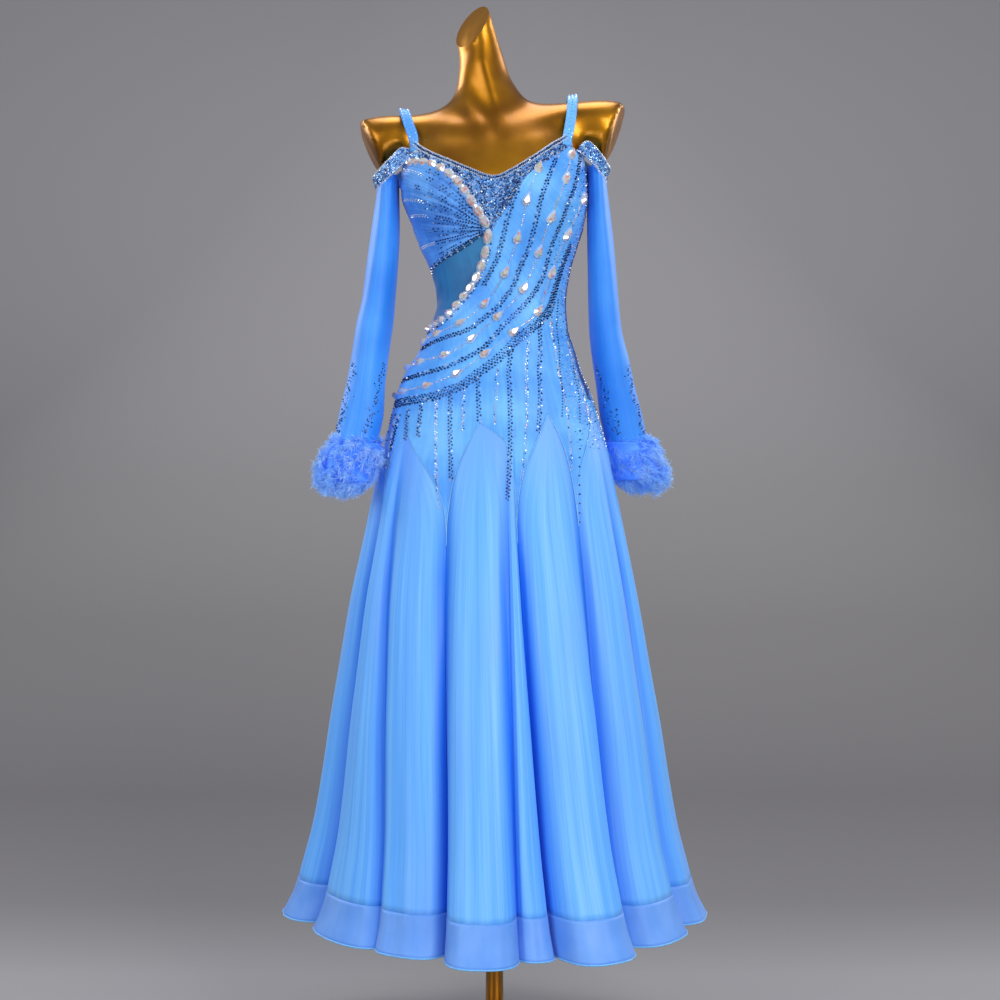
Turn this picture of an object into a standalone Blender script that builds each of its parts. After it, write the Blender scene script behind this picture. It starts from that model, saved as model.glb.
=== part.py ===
"""A ballroom gown worn by a limbless dress form on a rod and a round base.

Metres, +Z up, the gown's front faces -Y, the origin is the middle of the base's underside. Angles run round
the vertical axis: 0 is the centre front, +90 the wearer's left side (+X), -90 the wearer's right side.
Every cloth panel is a thin wall between two grids of points on one gown surface, which widens into the
fluted skirt below the hips, so that neighbouring panels meet along the same seams.
"""

import math

import bmesh
import bpy
import numpy as np

# ---- driving dimensions ---------------------------------------------------------------------------------

SEAM_GAP = 0.0003
BODICE_WALL = 0.0015
SKIRT_WALL = 0.0012
SLEEVE_WALL = 0.0012
FORM_CLEARANCE = 0.003
HIP_EASE = 0.04
FORM_TAPER = 0.25

HEM_HEIGHT = 0.226
HEM_BAND = 0.055
FLUTES_START = 1.0
WAIST_TO_HIP_TIP = 0.84
GODET_EDGE_POWER = 2.2

ROD_RADIUS = 0.014
BASE_RADIUS = 0.165
BASE_THICKNESS = 0.014
FORM_BOTTOM = 0.93

STRAP_WIDTH = 0.016
STRAP_WALL = 0.0015
BAND_WIDTH = 0.022
BAND_WALL = 0.002

STONE_HEIGHT = 0.0035
PLEATS = 8
PLEAT_HEIGHT = 0.0024

# Largest angle of a front panel, and the radii that turn distances along the cloth into angles.
SIDE_SEAM = 89.9
BODICE_RADIUS = 0.12
HIP_RADIUS = 0.18
HEM_RADIUS = 0.25

# Outside of the cloth on the form and down the skirt's crests: height, half-widths to the wearer's right
# and left, depths to the front and the back, and how square the section is (1 is an ellipse).
SECTIONS = np.array(
    [
        # height  right   left    front   back   square
        (0.225, 0.336, 0.336, 0.330, 0.332, 1.00),
        (0.262, 0.318, 0.318, 0.311, 0.313, 1.00),
        (0.314, 0.303, 0.303, 0.294, 0.296, 1.00),
        (0.368, 0.289, 0.289, 0.278, 0.281, 1.00),
        (0.434, 0.277, 0.277, 0.262, 0.266, 1.00),
        (0.534, 0.2616, 0.2616, 0.240, 0.245, 1.00),
        (0.608, 0.2488, 0.2488, 0.222, 0.228, 1.00),
        (0.722, 0.2295, 0.2295, 0.193, 0.200, 1.00),
        (0.827, 0.207, 0.2088, 0.163, 0.174, 1.00),
        (0.912, 0.1896, 0.191, 0.140, 0.154, 1.00),
        (0.966, 0.1768, 0.1784, 0.126, 0.142, 1.00),
        (1.000, 0.1688, 0.1688, 0.119, 0.135, 1.00),
        (1.050, 0.156, 0.1528, 0.111, 0.122, 1.00),
        (1.078, 0.1448, 0.140, 0.105, 0.113, 1.00),
        (1.114, 0.1224, 0.1285, 0.096, 0.099, 1.00),
        (1.154, 0.103, 0.116, 0.089, 0.090, 1.00),
        (1.195, 0.0917, 0.1128, 0.087, 0.087, 0.98),
        (1.242, 0.100, 0.119, 0.092, 0.092, 0.95),
        (1.280, 0.1175, 0.130, 0.100, 0.098, 0.92),
        (1.323, 0.133, 0.143, 0.108, 0.103, 0.86),
        (1.357, 0.1465, 0.148, 0.112, 0.106, 0.80),
        (1.379, 0.149, 0.147, 0.110, 0.106, 0.76),
        (1.416, 0.146, 0.144, 0.099, 0.102, 0.68),
        (1.440, 0.140, 0.138, 0.090, 0.096, 0.62),
        (1.470, 0.122, 0.120, 0.074, 0.086, 0.60),
    ]
)
BUST_HEIGHT = 1.360
BUST_SIDE = 0.072
BUST_SWELL = 0.014
BUST_SPREAD_X = 0.042
BUST_SPREAD_Z = 0.040
BUST_FADE = 2.5

# Skirt lobes, in order round the body: the angle of the valley at each lobe's start, at the hip and at the
# hem, how deep that valley is at the hem, how far the lobe's crest leans sideways, in lobe widths, and how
# much further out than the plain skirt the crest reaches at the hem.
LOBES = np.array(
    [
        # hip     hem    depth  lean   reach
        (-112.0, -104.0, 0.060, -0.04, 0.000),
        (-66.9, -73.0, 0.060, 0.02, -0.030),
        (-53.0, -37.5, 0.050, -0.03, -0.032),
        (-22.6, -15.0, 0.070, 0.02, 0.002),
        (5.5, 7.0, 0.045, 0.00, -0.030),
        (9.8, 18.0, 0.075, -0.03, 0.012),
        (40.8, 41.5, 0.055, 0.03, -0.008),
        (69.2, 70.0, 0.050, 0.00, 0.000),
        (90.0, 98.0, 0.060, 0.04, -0.010),
        (112.0, 118.0, 0.050, -0.02, 0.004),
        (131.0, 138.0, 0.060, 0.03, -0.012),
        (168.0, 169.0, 0.065, -0.03, 0.006),
        (187.0, 189.0, 0.055, 0.02, -0.020),
        (206.0, 209.0, 0.065, -0.02, 0.002),
        (226.0, 232.0, 0.055, 0.03, -0.016),
        (248.0, 256.0, 0.060, -0.04, 0.000),
    ]
)
LOBE_COUNT = len(LOBES) - 1
LOBE_FULLNESS = 0.15
LOBE_STEPS = np.array([0.0, 0.10, 0.22, 0.38, 0.5, 0.62, 0.78, 0.90])

# Godets: name, first lobe, lobes held, angle and height of the apex, height of the hip point at its start.
GODETS = [
    ("godet_side_right", 0, 1, -90.0, 0.992, 0.850),
    ("godet_front_right", 1, 2, -52.2, 0.986, 0.880),
    ("godet_front_middle", 3, 2, -7.8, 0.998, 0.811),
    ("godet_front_left", 5, 1, 29.9, 1.013, 0.814),
    ("godet_side_left", 6, 2, 69.2, 1.020, 0.840),
    ("godet_back_left_outer", 8, 2, 112.0, 1.000, 0.850),
    ("godet_back_left_inner", 10, 1, 150.0, 1.000, 0.825),
    ("godet_back_right_inner", 11, 2, 187.0, 1.000, 0.820),
    ("godet_back_right_outer", 13, 2, 226.0, 1.000, 0.825),
]
GODET_EDGE_STEPS = np.array([0.008, 0.07, 0.24, 0.52, 1.0])
EDGE_SLACK = 0.0010
TIP_SLACK = 0.0004
SKIRT_ROWS_BELOW_TIPS = 4

# Seams of the front, each a row of (angle, height) from the wearer's left or top to the right or bottom.
NECKLINE = [(-61, 1.440), (-29.5, 1.4045), (-14.2, 1.387), (-0.3, 1.3754), (11.1, 1.387), (23.3, 1.4068),
            (38.3, 1.431), (56, 1.450)]
CUP_TOP = [(-67, 1.413), (-52, 1.4046), (-42.3, 1.3995), (-34.1, 1.390), (-25.4, 1.3747), (-19.6, 1.355),
           (-14.8, 1.332), (-8.5, 1.3065)]
YOKE_EDGE = [(-5.5, 1.3015), (7, 1.3304), (14.4, 1.3566), (22.2, 1.381), (46.4, 1.4248), (58, 1.436)]
CUP_BOTTOM = [(-90, 1.242), (-70, 1.247), (-50, 1.255), (-32.5, 1.2668), (-20, 1.280), (-9.3, 1.291)]
CUP_SIDE = [(-72, 1.416), (-90, 1.405), (-90, 1.36), (-90, 1.32), (-90, 1.28), (-90, 1.2425)]

# Fan lines of the wrap, each from the wearer's left shoulder to the right hip: (angle, height) at equal
# steps along them. The first is its upper seam and the last its lower seam.
WRAP_LINES = [
    [
        (57, 1.433), (24, 1.384), (8, 1.333), (-5.5, 1.288),
        (-17.8, 1.228), (-36.8, 1.188), (-60, 1.158), (-90, 1.142),
    ],
    [
        (64, 1.425), (31, 1.382), (19.5, 1.337), (13.4, 1.283),
        (2, 1.222), (-19, 1.172), (-48, 1.143), (-90, 1.126),
    ],
    [
        (70, 1.427), (50, 1.384), (38, 1.320), (31, 1.262),
        (18, 1.203), (-8, 1.152), (-40, 1.104), (-90, 1.088),
    ],
    [
        (78, 1.425), (68, 1.372), (59, 1.312), (50, 1.252),
        (33, 1.178), (2, 1.118), (-37, 1.061), (-90, 1.046),
    ],
    [
        (89, 1.424), (90, 1.375), (90, 1.322), (73, 1.278),
        (59.5, 1.195), (15, 1.122), (-30, 1.042), (-90, 1.022),
    ],
]
# Rows of the wrap, as fan-line numbers, its columns, and how many large stones lie along each fan line. The
# top line's stones start where the seam leaves the V.
WRAP_ROWS = [0, 0.25, 0.6, 1, 1.35, 1.65, 2, 2.35, 2.65, 3, 3.45, 4]
WRAP_COLUMNS = 33
WRAP_TOP_LINE_START = 12
WRAP_STONE_LINES = {0: 22, 1: 9, 2: 9, 3: 9}

BACK_TOP = [(90, 1.424), (112, 1.428), (133, 1.440), (149, 1.400), (165, 1.360), (180, 1.345), (194, 1.360),
            (210, 1.398), (227, 1.436), (248, 1.420), (270, 1.405)]
BACK_HEIGHT = 1.2


# ---- curves and surfaces ---------------------------------------------------------------------------------


def smooth(xs, ys, x):
    """The values ys over rising xs, read at x along a smooth curve through them (cubic, no overshoot)."""
    xs = np.asarray(xs, float)
    ys = np.asarray(ys, float)
    x = np.clip(np.asarray(x, float), xs[0], xs[-1])
    steps = np.diff(xs)
    slopes = np.diff(ys) / steps
    product = slopes[:-1] * slopes[1:]
    harmonic = 2 * product / (slopes[:-1] + slopes[1:] + 1e-30)
    tangents = np.concatenate([[slopes[0]], np.where(product > 0, harmonic, 0), [slopes[-1]]])
    i = np.clip(np.searchsorted(xs, x, side="right") - 1, 0, len(xs) - 2)
    t = (x - xs[i]) / steps[i]
    h00 = 2 * t**3 - 3 * t**2 + 1
    h10 = t**3 - 2 * t**2 + t
    h01 = -2 * t**3 + 3 * t**2
    h11 = t**3 - t**2
    return h00 * ys[i] + h10 * steps[i] * tangents[i] + h01 * ys[i + 1] + h11 * steps[i] * tangents[i + 1]


def along(points, t):
    """A smooth curve through rows of coordinates, read at t from 0 to 1 in equal steps of length."""
    points = np.asarray(points, float)
    fine = np.linspace(0, len(points) - 1, 400)
    curve = np.stack([catmull(points[:, k], fine) for k in range(points.shape[1])], axis=1)
    scaled = curve.copy()
    if points.shape[1] == 2:
        scaled[:, 0] *= math.radians(1) * BODICE_RADIUS
    length = np.concatenate([[0], np.cumsum(np.linalg.norm(np.diff(scaled, axis=0), axis=1))])
    at = np.interp(np.asarray(t, float) * length[-1], length, fine)
    return np.stack([catmull(points[:, k], at) for k in range(points.shape[1])], axis=-1)


def catmull(values, x):
    """A Catmull-Rom curve through equally spaced values, read at x from 0 to len - 1."""
    values = np.asarray(values, float)
    padded = np.concatenate([[2 * values[0] - values[1]], values, [2 * values[-1] - values[-2]]])
    i = np.clip(np.floor(x).astype(int), 0, len(values) - 2)
    t = x - i
    a, b, c, d = (padded[i + k] for k in range(4))
    return 0.5 * (2 * b + (c - a) * t + (2 * a - 5 * b + 4 * c - d) * t**2 + (3 * b - a - 3 * c + d) * t**3)


def section(height):
    """Half-widths right and left, depths front and back, and squareness of the gown at a height."""
    return [smooth(SECTIONS[:, 0], SECTIONS[:, k], height) for k in range(1, 6)]


def body_point(angle, height):
    """The outside of the cloth without any flutes, at an angle in degrees and a height."""
    right, left, front, back, square = section(height)
    turn = np.radians(angle)
    x = (left - right) / 2 + (left + right) / 2 * np.sin(turn)
    cosine = np.cos(turn)
    depth = np.where(cosine >= 0, front, back)
    y = -depth * np.sign(cosine) * np.abs(cosine) ** square
    up = (height - BUST_HEIGHT) / BUST_SPREAD_Z
    swell = sum(np.exp(-(((x - side) / BUST_SPREAD_X) ** 2 + up**2) / 2) for side in (-BUST_SIDE, BUST_SIDE))
    y = y - BUST_SWELL * swell * np.clip(cosine * BUST_FADE, 0, 1)
    return np.stack([x, y, np.broadcast_to(height, np.shape(x)).astype(float)], axis=-1)


def offset_surface(point_of, u, v, step_u, step_v, distance):
    """Points of a surface moved along its outward normal, found from small steps in both directions."""
    du = point_of(u + step_u, v) - point_of(u - step_u, v)
    dv = point_of(u, v + step_v) - point_of(u, v - step_v)
    normal = np.cross(du, dv)
    normal /= np.linalg.norm(normal, axis=-1, keepdims=True) + 1e-12
    return point_of(u, v) + normal * np.asarray(distance)[..., None]


def body_surface(angle, height, distance=0.0):
    """The gown's surface on the form, moved outwards by a distance."""
    distance = np.broadcast_to(distance, np.shape(angle))
    return offset_surface(body_point, angle, height, 0.5, 0.002, distance)


def flute_growth(height):
    """How far the flutes have opened: 0 at the hips, 1 at the hem."""
    return np.clip((FLUTES_START - height) / (FLUTES_START - HEM_HEIGHT), 0, 1) ** 1.15


def lobe_angle(place, height):
    """Angle of a place counted in lobes round the skirt. Valleys drift from their hip to their hem angle."""
    down = np.clip((WAIST_TO_HIP_TIP - height) / (WAIST_TO_HIP_TIP - 0.40), 0, 1)
    down = down * down * (3 - 2 * down)
    places = np.arange(len(LOBES))
    hip = np.interp(place, places, LOBES[:, 0])
    hem = np.interp(place, places, LOBES[:, 1])
    return hip + (hem - hip) * down


def skirt_point(place, height):
    """The outside of the skirt. Each lobe is broad outside, pinched at its valleys, and leans sideways."""
    place = np.mod(place, LOBE_COUNT)
    lobe = np.floor(place).astype(int)
    across = place - lobe
    growth = flute_growth(height)
    depth = LOBES[lobe, 2] * (1 - across) + LOBES[lobe + 1, 2] * across
    valley = (0.5 + 0.5 * np.cos(2 * math.pi * across)) ** 1.5
    fuller = LOBE_FULLNESS * growth**0.5 * np.sin(2 * math.pi * (across - 0.5))
    lean = LOBES[lobe, 3] * growth**0.5 * (1 - valley)
    start = lobe_angle(lobe, height)
    end = lobe_angle(lobe + 1, height)
    angle = start + (end - start) * (across + fuller + lean)
    point = body_point(angle, height)
    radius = np.linalg.norm(point[..., :2], axis=-1, keepdims=True)
    push = LOBES[lobe, 4] * growth**1.5 * (1 - valley) - depth * growth * valley
    point[..., :2] *= 1 + push[..., None] / radius
    return point


def skirt_surface(place, height, distance=0.0):
    """The skirt's surface at a place counted in lobes, moved outwards by a distance."""
    distance = np.broadcast_to(distance, np.shape(place))
    return offset_surface(skirt_point, place, height, 0.004, 0.002, distance)


# ---- bodies from grids -----------------------------------------------------------------------------------


def material_of(name, colour, roughness, metallic):
    """A Principled material."""
    material = bpy.data.materials.new(name)
    material.use_nodes = True
    shader = material.node_tree.nodes["Principled BSDF"]
    shader.inputs["Base Color"].default_value = (*colour, 1)
    shader.inputs["Roughness"].default_value = roughness
    shader.inputs["Metallic"].default_value = metallic
    material.diffuse_color = (*colour, 1)
    return material


def add_object(name, points, faces, material, smooth_angle=40):
    """One named object from points and faces, with its normals turned outwards."""
    mesh = bpy.data.meshes.new(name)
    corners = np.asarray(points).reshape(-1, 3).tolist()
    mesh.from_pydata(corners, [], [tuple(map(int, face)) for face in faces])
    work = bmesh.new()
    work.from_mesh(mesh)
    bmesh.ops.recalc_face_normals(work, faces=work.faces)
    if work.calc_volume(signed=True) < 0:
        bmesh.ops.reverse_faces(work, faces=work.faces)
    work.to_mesh(mesh)
    work.free()
    mesh.materials.append(material)
    mesh.shade_smooth()
    mesh.set_sharp_from_angle(angle=math.radians(smooth_angle))
    obj = bpy.data.objects.new(name, mesh)
    bpy.context.scene.collection.objects.link(obj)
    return obj


def grid_faces(rows, columns, around=False, first=0, flip=False):
    """Quads between neighbouring points of a grid of rows x columns, joined round its columns if around."""
    index = first + np.arange(rows * columns).reshape(rows, columns)
    if around:
        index = np.concatenate([index, index[:, :1]], axis=1)
    quads = np.stack([index[:-1, :-1], index[:-1, 1:], index[1:, 1:], index[1:, :-1]], axis=-1)
    quads = quads.reshape(-1, 4)
    return quads[:, ::-1] if flip else quads


def rim_faces(loop_a, loop_b, closed=False):
    """Quads between two rows of point numbers."""
    if closed:
        loop_a = np.append(loop_a, loop_a[0])
        loop_b = np.append(loop_b, loop_b[0])
    return np.stack([loop_a[:-1], loop_a[1:], loop_b[1:], loop_b[:-1]], axis=-1)


def halves(quads):
    """Two triangles for each quad, cut between its second and fourth corners."""
    return np.concatenate([quads[:, [0, 1, 3]], quads[:, [1, 2, 3]]])


def add_wall(name, outer, inner, material, around=False):
    """A cloth wall: two grids of the same size, cut the same way, closed along every free edge."""
    rows, columns = outer.shape[:2]
    count = rows * columns
    index = np.arange(count).reshape(rows, columns)
    outside = halves(grid_faces(rows, columns, around))
    faces = [outside, count + outside[:, ::-1]]
    for line in (index[0], index[-1]):
        faces.append(halves(rim_faces(line, line + count, closed=around)))
    if not around:
        for line in (index[:, 0], index[:, -1]):
            faces.append(halves(rim_faces(line, line + count)))
    points = np.concatenate([outer.reshape(-1, 3), inner.reshape(-1, 3)])
    return add_object(name, points, np.concatenate(faces), material)


def add_loft(name, rings, material, smooth_angle=40):
    """A closed body through rings of equal point counts, with a flat face at each end."""
    rings = np.asarray(rings)
    rows, columns = rings.shape[:2]
    faces = [tuple(face) for face in grid_faces(rows, columns, around=True)]
    faces.append(tuple(range(columns)))
    faces.append(tuple((rows - 1) * columns + k for k in range(columns)))
    return add_object(name, rings, faces, material, smooth_angle)


def lathe_rings(profile, sides):
    """Rings of a turned shape from a profile of (radius, height)."""
    turn = np.linspace(0, 2 * math.pi, sides, endpoint=False)
    profile = np.asarray(profile)
    x = profile[:, :1] * np.cos(turn)
    y = profile[:, :1] * np.sin(turn)
    z = np.broadcast_to(profile[:, 1:], x.shape)
    return np.stack([x, y, z], axis=-1)


# ---- the dress form --------------------------------------------------------------------------------------

# Shoulders, across the body: place of the section, its top and bottom height, its half-depth, and how far
# its plane leans sideways over its height, which slopes the two cut arm stubs.
SHOULDERS = [
    # x       top    bottom  depth  centre_y  lean
    (-0.2015, 1.4785, 1.4035, 0.036, 0.002, -0.42),
    (-0.1960, 1.4870, 1.4030, 0.043, 0.002, -0.42),
    (-0.1780, 1.4925, 1.4090, 0.0465, 0.002, -0.30),
    (-0.1500, 1.4950, 1.4260, 0.048, 0.003, -0.15),
    (-0.1200, 1.4985, 1.4200, 0.050, 0.004, 0.0),
    (-0.0800, 1.5060, 1.4000, 0.056, 0.006, 0.0),
    (-0.0400, 1.5120, 1.3800, 0.060, 0.008, 0.0),
    (0.0000, 1.5150, 1.3800, 0.060, 0.008, 0.0),
    (0.0400, 1.5160, 1.3800, 0.060, 0.008, 0.0),
    (0.0800, 1.5160, 1.4000, 0.056, 0.006, 0.0),
    (0.1150, 1.5175, 1.4250, 0.050, 0.004, 0.0),
    (0.1450, 1.5185, 1.4350, 0.048, 0.003, 0.12),
    (0.1720, 1.5190, 1.4250, 0.0465, 0.002, 0.25),
    (0.1890, 1.5140, 1.4190, 0.043, 0.002, 0.37),
    (0.1950, 1.5060, 1.4210, 0.036, 0.002, 0.37),
]

# Neck: centre, half-widths, and how far the ring has turned towards the slanted cut at the top.
NECK = [
    # x       y       z      wide   deep   turned
    (-0.010, 0.006, 1.470, 0.105, 0.064, 0.00),
    (-0.013, 0.005, 1.498, 0.084, 0.058, 0.00),
    (-0.0115, 0.003, 1.520, 0.0595, 0.051, 0.05),
    (-0.017, 0.001, 1.545, 0.044, 0.045, 0.15),
    (-0.021, -0.002, 1.570, 0.0385, 0.041, 0.30),
    (-0.026, -0.005, 1.597, 0.0360, 0.038, 0.60),
    (-0.032, -0.008, 1.626, 0.0365, 0.036, 0.90),
    (-0.0345, -0.010, 1.637, 0.0380, 0.036, 1.00),
]
NECK_CUT_TURN = math.radians(64)
NECK_CUT_TWIST = math.radians(40)

# Heights of the torso's rings, and the rings of its rounded top: share of the last ring, and rise above it.
TORSO_HEIGHTS = [
    FORM_BOTTOM, 0.965, 1.0, 1.035, 1.07, 1.105, 1.135, 1.16, 1.18, 1.197,
    1.215, 1.24, 1.275, 1.31, 1.345, 1.375, 1.405, 1.435, 1.468,
]
TORSO_TOP = [(0.8, 0.010), (0.5, 0.016)]
HIP_EASE_START = 1.17

# Stand: profiles of (radius, height) below the form's underside and above the base's top.
FLANGE = [(0.034, 0.0), (0.034, -0.008), (0.020, -0.030)]
FOOT_COLLAR = [(0.036, 0.0), (0.036, 0.006), (0.024, 0.014), (0.0205, 0.040)]
BASE_EDGE = 0.003
SIDES_FORM = 28
SIDES_NECK = 18
SIDES_STAND = 16
SIDES_BASE = 40


def form_torso_rings():
    """Rings inside the gown's surface, slimmer below the hips where the skirt hangs free."""
    angle = np.linspace(-180, 180, SIDES_FORM, endpoint=False)
    rings = []
    for height in TORSO_HEIGHTS:
        inset = BODICE_WALL + FORM_CLEARANCE + HIP_EASE * max(0, HIP_EASE_START - height)
        inset += FORM_TAPER * max(0, FLUTES_START - height)
        ring = body_surface(angle, np.full(len(angle), height), -inset)
        ring[:, 2] = height
        rings.append(ring)
    top = rings[-1]
    middle = top.mean(axis=0)
    for shrink, lift in TORSO_TOP:
        rings.append(middle + (top - middle) * (shrink, shrink, 1) + (0, 0, lift))
    return rings


def form_shoulder_rings():
    turn = np.linspace(0, 2 * math.pi, SIDES_NECK, endpoint=False)
    rings = []
    for x, top, bottom, depth, centre_y, lean in SHOULDERS:
        rise = (top - bottom) / 2 * np.cos(turn)
        rings.append(
            np.stack([x + lean * rise, centre_y + depth * np.sin(turn), (top + bottom) / 2 + rise], axis=-1)
        )
    return rings


def form_neck_rings():
    turn = np.linspace(0, 2 * math.pi, SIDES_NECK, endpoint=False)
    rings = []
    for x, y, z, wide, deep, turned in NECK:
        tilt = NECK_CUT_TURN * turned
        twist = NECK_CUT_TWIST * turned
        level = math.cos(tilt)
        across = np.array([level * math.cos(twist), level * math.sin(twist), math.sin(tilt)])
        deepwards = np.array([-math.sin(twist), math.cos(twist), 0.0])
        ring = np.outer(np.cos(turn) * wide, across) + np.outer(np.sin(turn) * deep, deepwards)
        rings.append(ring + (x, y, z))
    return rings


def join(target, cutters):
    """Unites the cutters with the target into one body."""
    for cutter in cutters:
        cutter.hide_render = True
        cutter.display_type = "WIRE"
        union = target.modifiers.new("union_" + cutter.name, "BOOLEAN")
        union.operation = "UNION"
        union.object = cutter


def build_form(gold):
    """The torso with its shoulders and neck: no arms, legs or head."""
    torso = add_loft("form_torso", form_torso_rings(), gold, 60)
    shoulders = add_loft("form_shoulders_helper", form_shoulder_rings(), gold, 60)
    neck = add_loft("form_neck_helper", form_neck_rings(), gold, 60)
    join(torso, [shoulders, neck])


def add_turned_collar(name, profile, at, gold):
    """A turned collar round the rod, from a profile of (radius, height) placed at a height."""
    outer = [(radius, at + rise) for radius, rise in profile]
    bore = [(ROD_RADIUS + SEAM_GAP, at + rise) for _, rise in profile]
    add_wall(name, lathe_rings(outer, SIDES_STAND), lathe_rings(bore, SIDES_STAND), gold, around=True)


def build_stand(gold):
    """The rod from the base to the form's underside, with a collar at each end, and the round base."""
    rod_top = FORM_BOTTOM - SEAM_GAP
    rod_start = BASE_THICKNESS + SEAM_GAP
    rod = [(ROD_RADIUS, rod_start), (ROD_RADIUS, rod_top)]
    base = [
        (BASE_RADIUS - BASE_EDGE, 0.0),
        (BASE_RADIUS, BASE_EDGE),
        (BASE_RADIUS, BASE_THICKNESS - 2 * BASE_EDGE),
        (BASE_RADIUS - 2 * BASE_EDGE, BASE_THICKNESS),
    ]
    add_loft("stand_rod", lathe_rings(rod, SIDES_STAND), gold)
    add_turned_collar("stand_top_flange", FLANGE, rod_top, gold)
    add_turned_collar("stand_foot_collar", FOOT_COLLAR, rod_start, gold)
    add_loft("stand_base", lathe_rings(base, SIDES_BASE), gold)


# ---- the bodice ------------------------------------------------------------------------------------------


def stretch_columns(top, bottom, count):
    """Rows of (angle, height) from one curve to the other, for curves already read at the same columns."""
    mix = np.linspace(0, 1, count)[:, None, None]
    return top[None] * (1 - mix) + bottom[None] * mix


def shift_seam(line, sideways, upwards):
    """A seam line of (angle, height) moved by distances on the body, in metres."""
    moved = np.array(line, float)
    moved[..., 0] += math.degrees(sideways / BODICE_RADIUS)
    moved[..., 1] += upwards
    return moved


def seam_heights(line, angles):
    """Height of a seam at each angle, and how much its slope lengthens a gap measured upwards."""
    curve = along(line, np.linspace(0, 1, 300))[::-1]
    curve[:, 0] = np.minimum(curve[:, 0], 90)
    rising = np.concatenate([[True], np.diff(np.maximum.accumulate(curve[:, 0])) > 1e-9])
    curve = curve[rising]
    slope = np.gradient(curve[:, 1], np.radians(curve[:, 0]) * BODICE_RADIUS)
    heights = np.interp(angles, curve[:, 0], curve[:, 1])
    slopes = np.interp(angles, curve[:, 0], slope)
    return heights, np.sqrt(1 + slopes**2)


def add_body_panel(name, places, material, wall=BODICE_WALL, raised=None):
    """A panel on the form from a grid of (angle, height); raised lifts points of its outside only."""
    angle = np.clip(places[..., 0], -SIDE_SEAM, SIDE_SEAM)
    height = places[..., 1]
    lift = 0.0 if raised is None else raised
    outer = body_surface(angle, height, lift)
    inner = body_surface(angle, height, -wall)
    return add_wall(name, outer, inner, material)


def build_yoke(fabric):
    """The stone-covered V under the neckline, from the right strap to the left."""
    t = np.linspace(0, 1, 21)
    top = along(NECKLINE, t)
    lower = along(CUP_TOP + YOKE_EDGE, t)
    wrap_seam, stretch = seam_heights(WRAP_LINES[0], lower[:, 0])
    beside_wrap = lower[:, 0] > YOKE_EDGE[0][0]
    lower[:, 1] = np.where(beside_wrap, wrap_seam + 2 * SEAM_GAP * stretch, lower[:, 1] + 2 * SEAM_GAP)
    places = stretch_columns(top, lower, 4)
    return add_body_panel("neckline_yoke", places, fabric)


def build_cup(fabric):
    """The pleated right cup: pleats fan from the end of the V to the side, raised on the outside only."""
    rows = PLEATS * 2 + 1
    t = np.linspace(0, 1, 11)
    top = shift_seam(along(CUP_TOP, t), 0, -SEAM_GAP)
    side = along(CUP_SIDE, np.linspace(0, 1, rows))
    bottom = shift_seam(along(CUP_BOTTOM, t), 0, SEAM_GAP)
    down = np.arange(rows)
    places = coons(top, bottom, side, np.linspace(top[-1], bottom[-1], rows))
    fold = (down % 2)[:, None]
    fade = np.sin(math.pi * np.clip(t * 0.86 + 0.07, 0, 1))[None] ** 0.6
    return add_body_panel("bust_cup_pleated", places, fabric, raised=PLEAT_HEIGHT * fold * fade)


def coons(top, bottom, left, right):
    """A grid of (angle, height) filled in between its four edges."""
    u = np.linspace(0, 1, len(top))[None, :, None]
    v = np.linspace(0, 1, len(left))[:, None, None]
    ruled = (1 - v) * top[None] + v * bottom[None] + (1 - u) * left[:, None] + u * right[:, None]
    upper_corners = (1 - u) * top[0] + u * top[-1]
    lower_corners = (1 - u) * bottom[0] + u * bottom[-1]
    return ruled - (1 - v) * upper_corners - v * lower_corners


def build_inset(fabric):
    """The plain darker inset between the cup and the wrap, at the right of the waist."""
    t = np.linspace(0, 1, 12)
    top = shift_seam(along(CUP_BOTTOM, t), 0, -SEAM_GAP)
    heights, stretch = seam_heights(WRAP_LINES[0], top[:, 0])
    bottom = np.stack([top[:, 0], heights + 2 * SEAM_GAP * stretch], axis=-1)
    places = stretch_columns(top, bottom, 5)
    return add_body_panel("waist_inset", places, fabric)


def wrap_places(lines, t):
    """The wrap's (angle, height) at line numbers from 0 to 4 and at t along each line."""
    curves = np.stack([along(line, t) for line in WRAP_LINES])
    flat = curves.reshape(len(WRAP_LINES), -1)
    rows = np.stack([catmull(flat[:, k], lines) for k in range(flat.shape[1])], axis=-1)
    return rows.reshape(len(lines), len(t), 2)


def wrap_stones():
    """Which columns of a fan line carry a raised stone, as line: columns."""
    stones = {}
    for line, count in WRAP_STONE_LINES.items():
        first = WRAP_TOP_LINE_START if line == 0 else 2
        last = WRAP_COLUMNS - 4
        columns = np.linspace(first, last, min(count, (WRAP_COLUMNS - first) // 2))
        stones[line] = np.unique(np.round(columns).astype(int))
    return stones


def build_wrap(fabric):
    """The wrap from the left shoulder to the right hip, its large stones raised along the fan lines."""
    lines = np.array(WRAP_ROWS)
    places = wrap_places(lines, np.linspace(0, 1, WRAP_COLUMNS))
    places[0] = shift_seam(places[0], SEAM_GAP, -SEAM_GAP)
    places[-1] = shift_seam(places[-1], 0, SEAM_GAP)
    places[:, -1] = shift_seam(places[:, -1], SEAM_GAP, 0)
    raised = np.zeros(places.shape[:2])
    for line, columns in wrap_stones().items():
        row = int(np.argmin(np.abs(lines - max(line, WRAP_ROWS[1]))))
        raised[row, columns] = STONE_HEIGHT
    return add_body_panel("front_wrap", places, fabric, raised=raised)


# ---- hips and skirt --------------------------------------------------------------------------------------


def edge_spread(step):
    """How far a godet's edge has opened, from its apex (0) to the hip point (1), at a share of the way."""
    return 1 - (1 - step) ** GODET_EDGE_POWER


def place_of_angle(angle):
    """Counted in lobes, the place at the hip that lies at an angle."""
    return np.interp(angle, LOBES[:, 0], np.arange(len(LOBES)))


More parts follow.
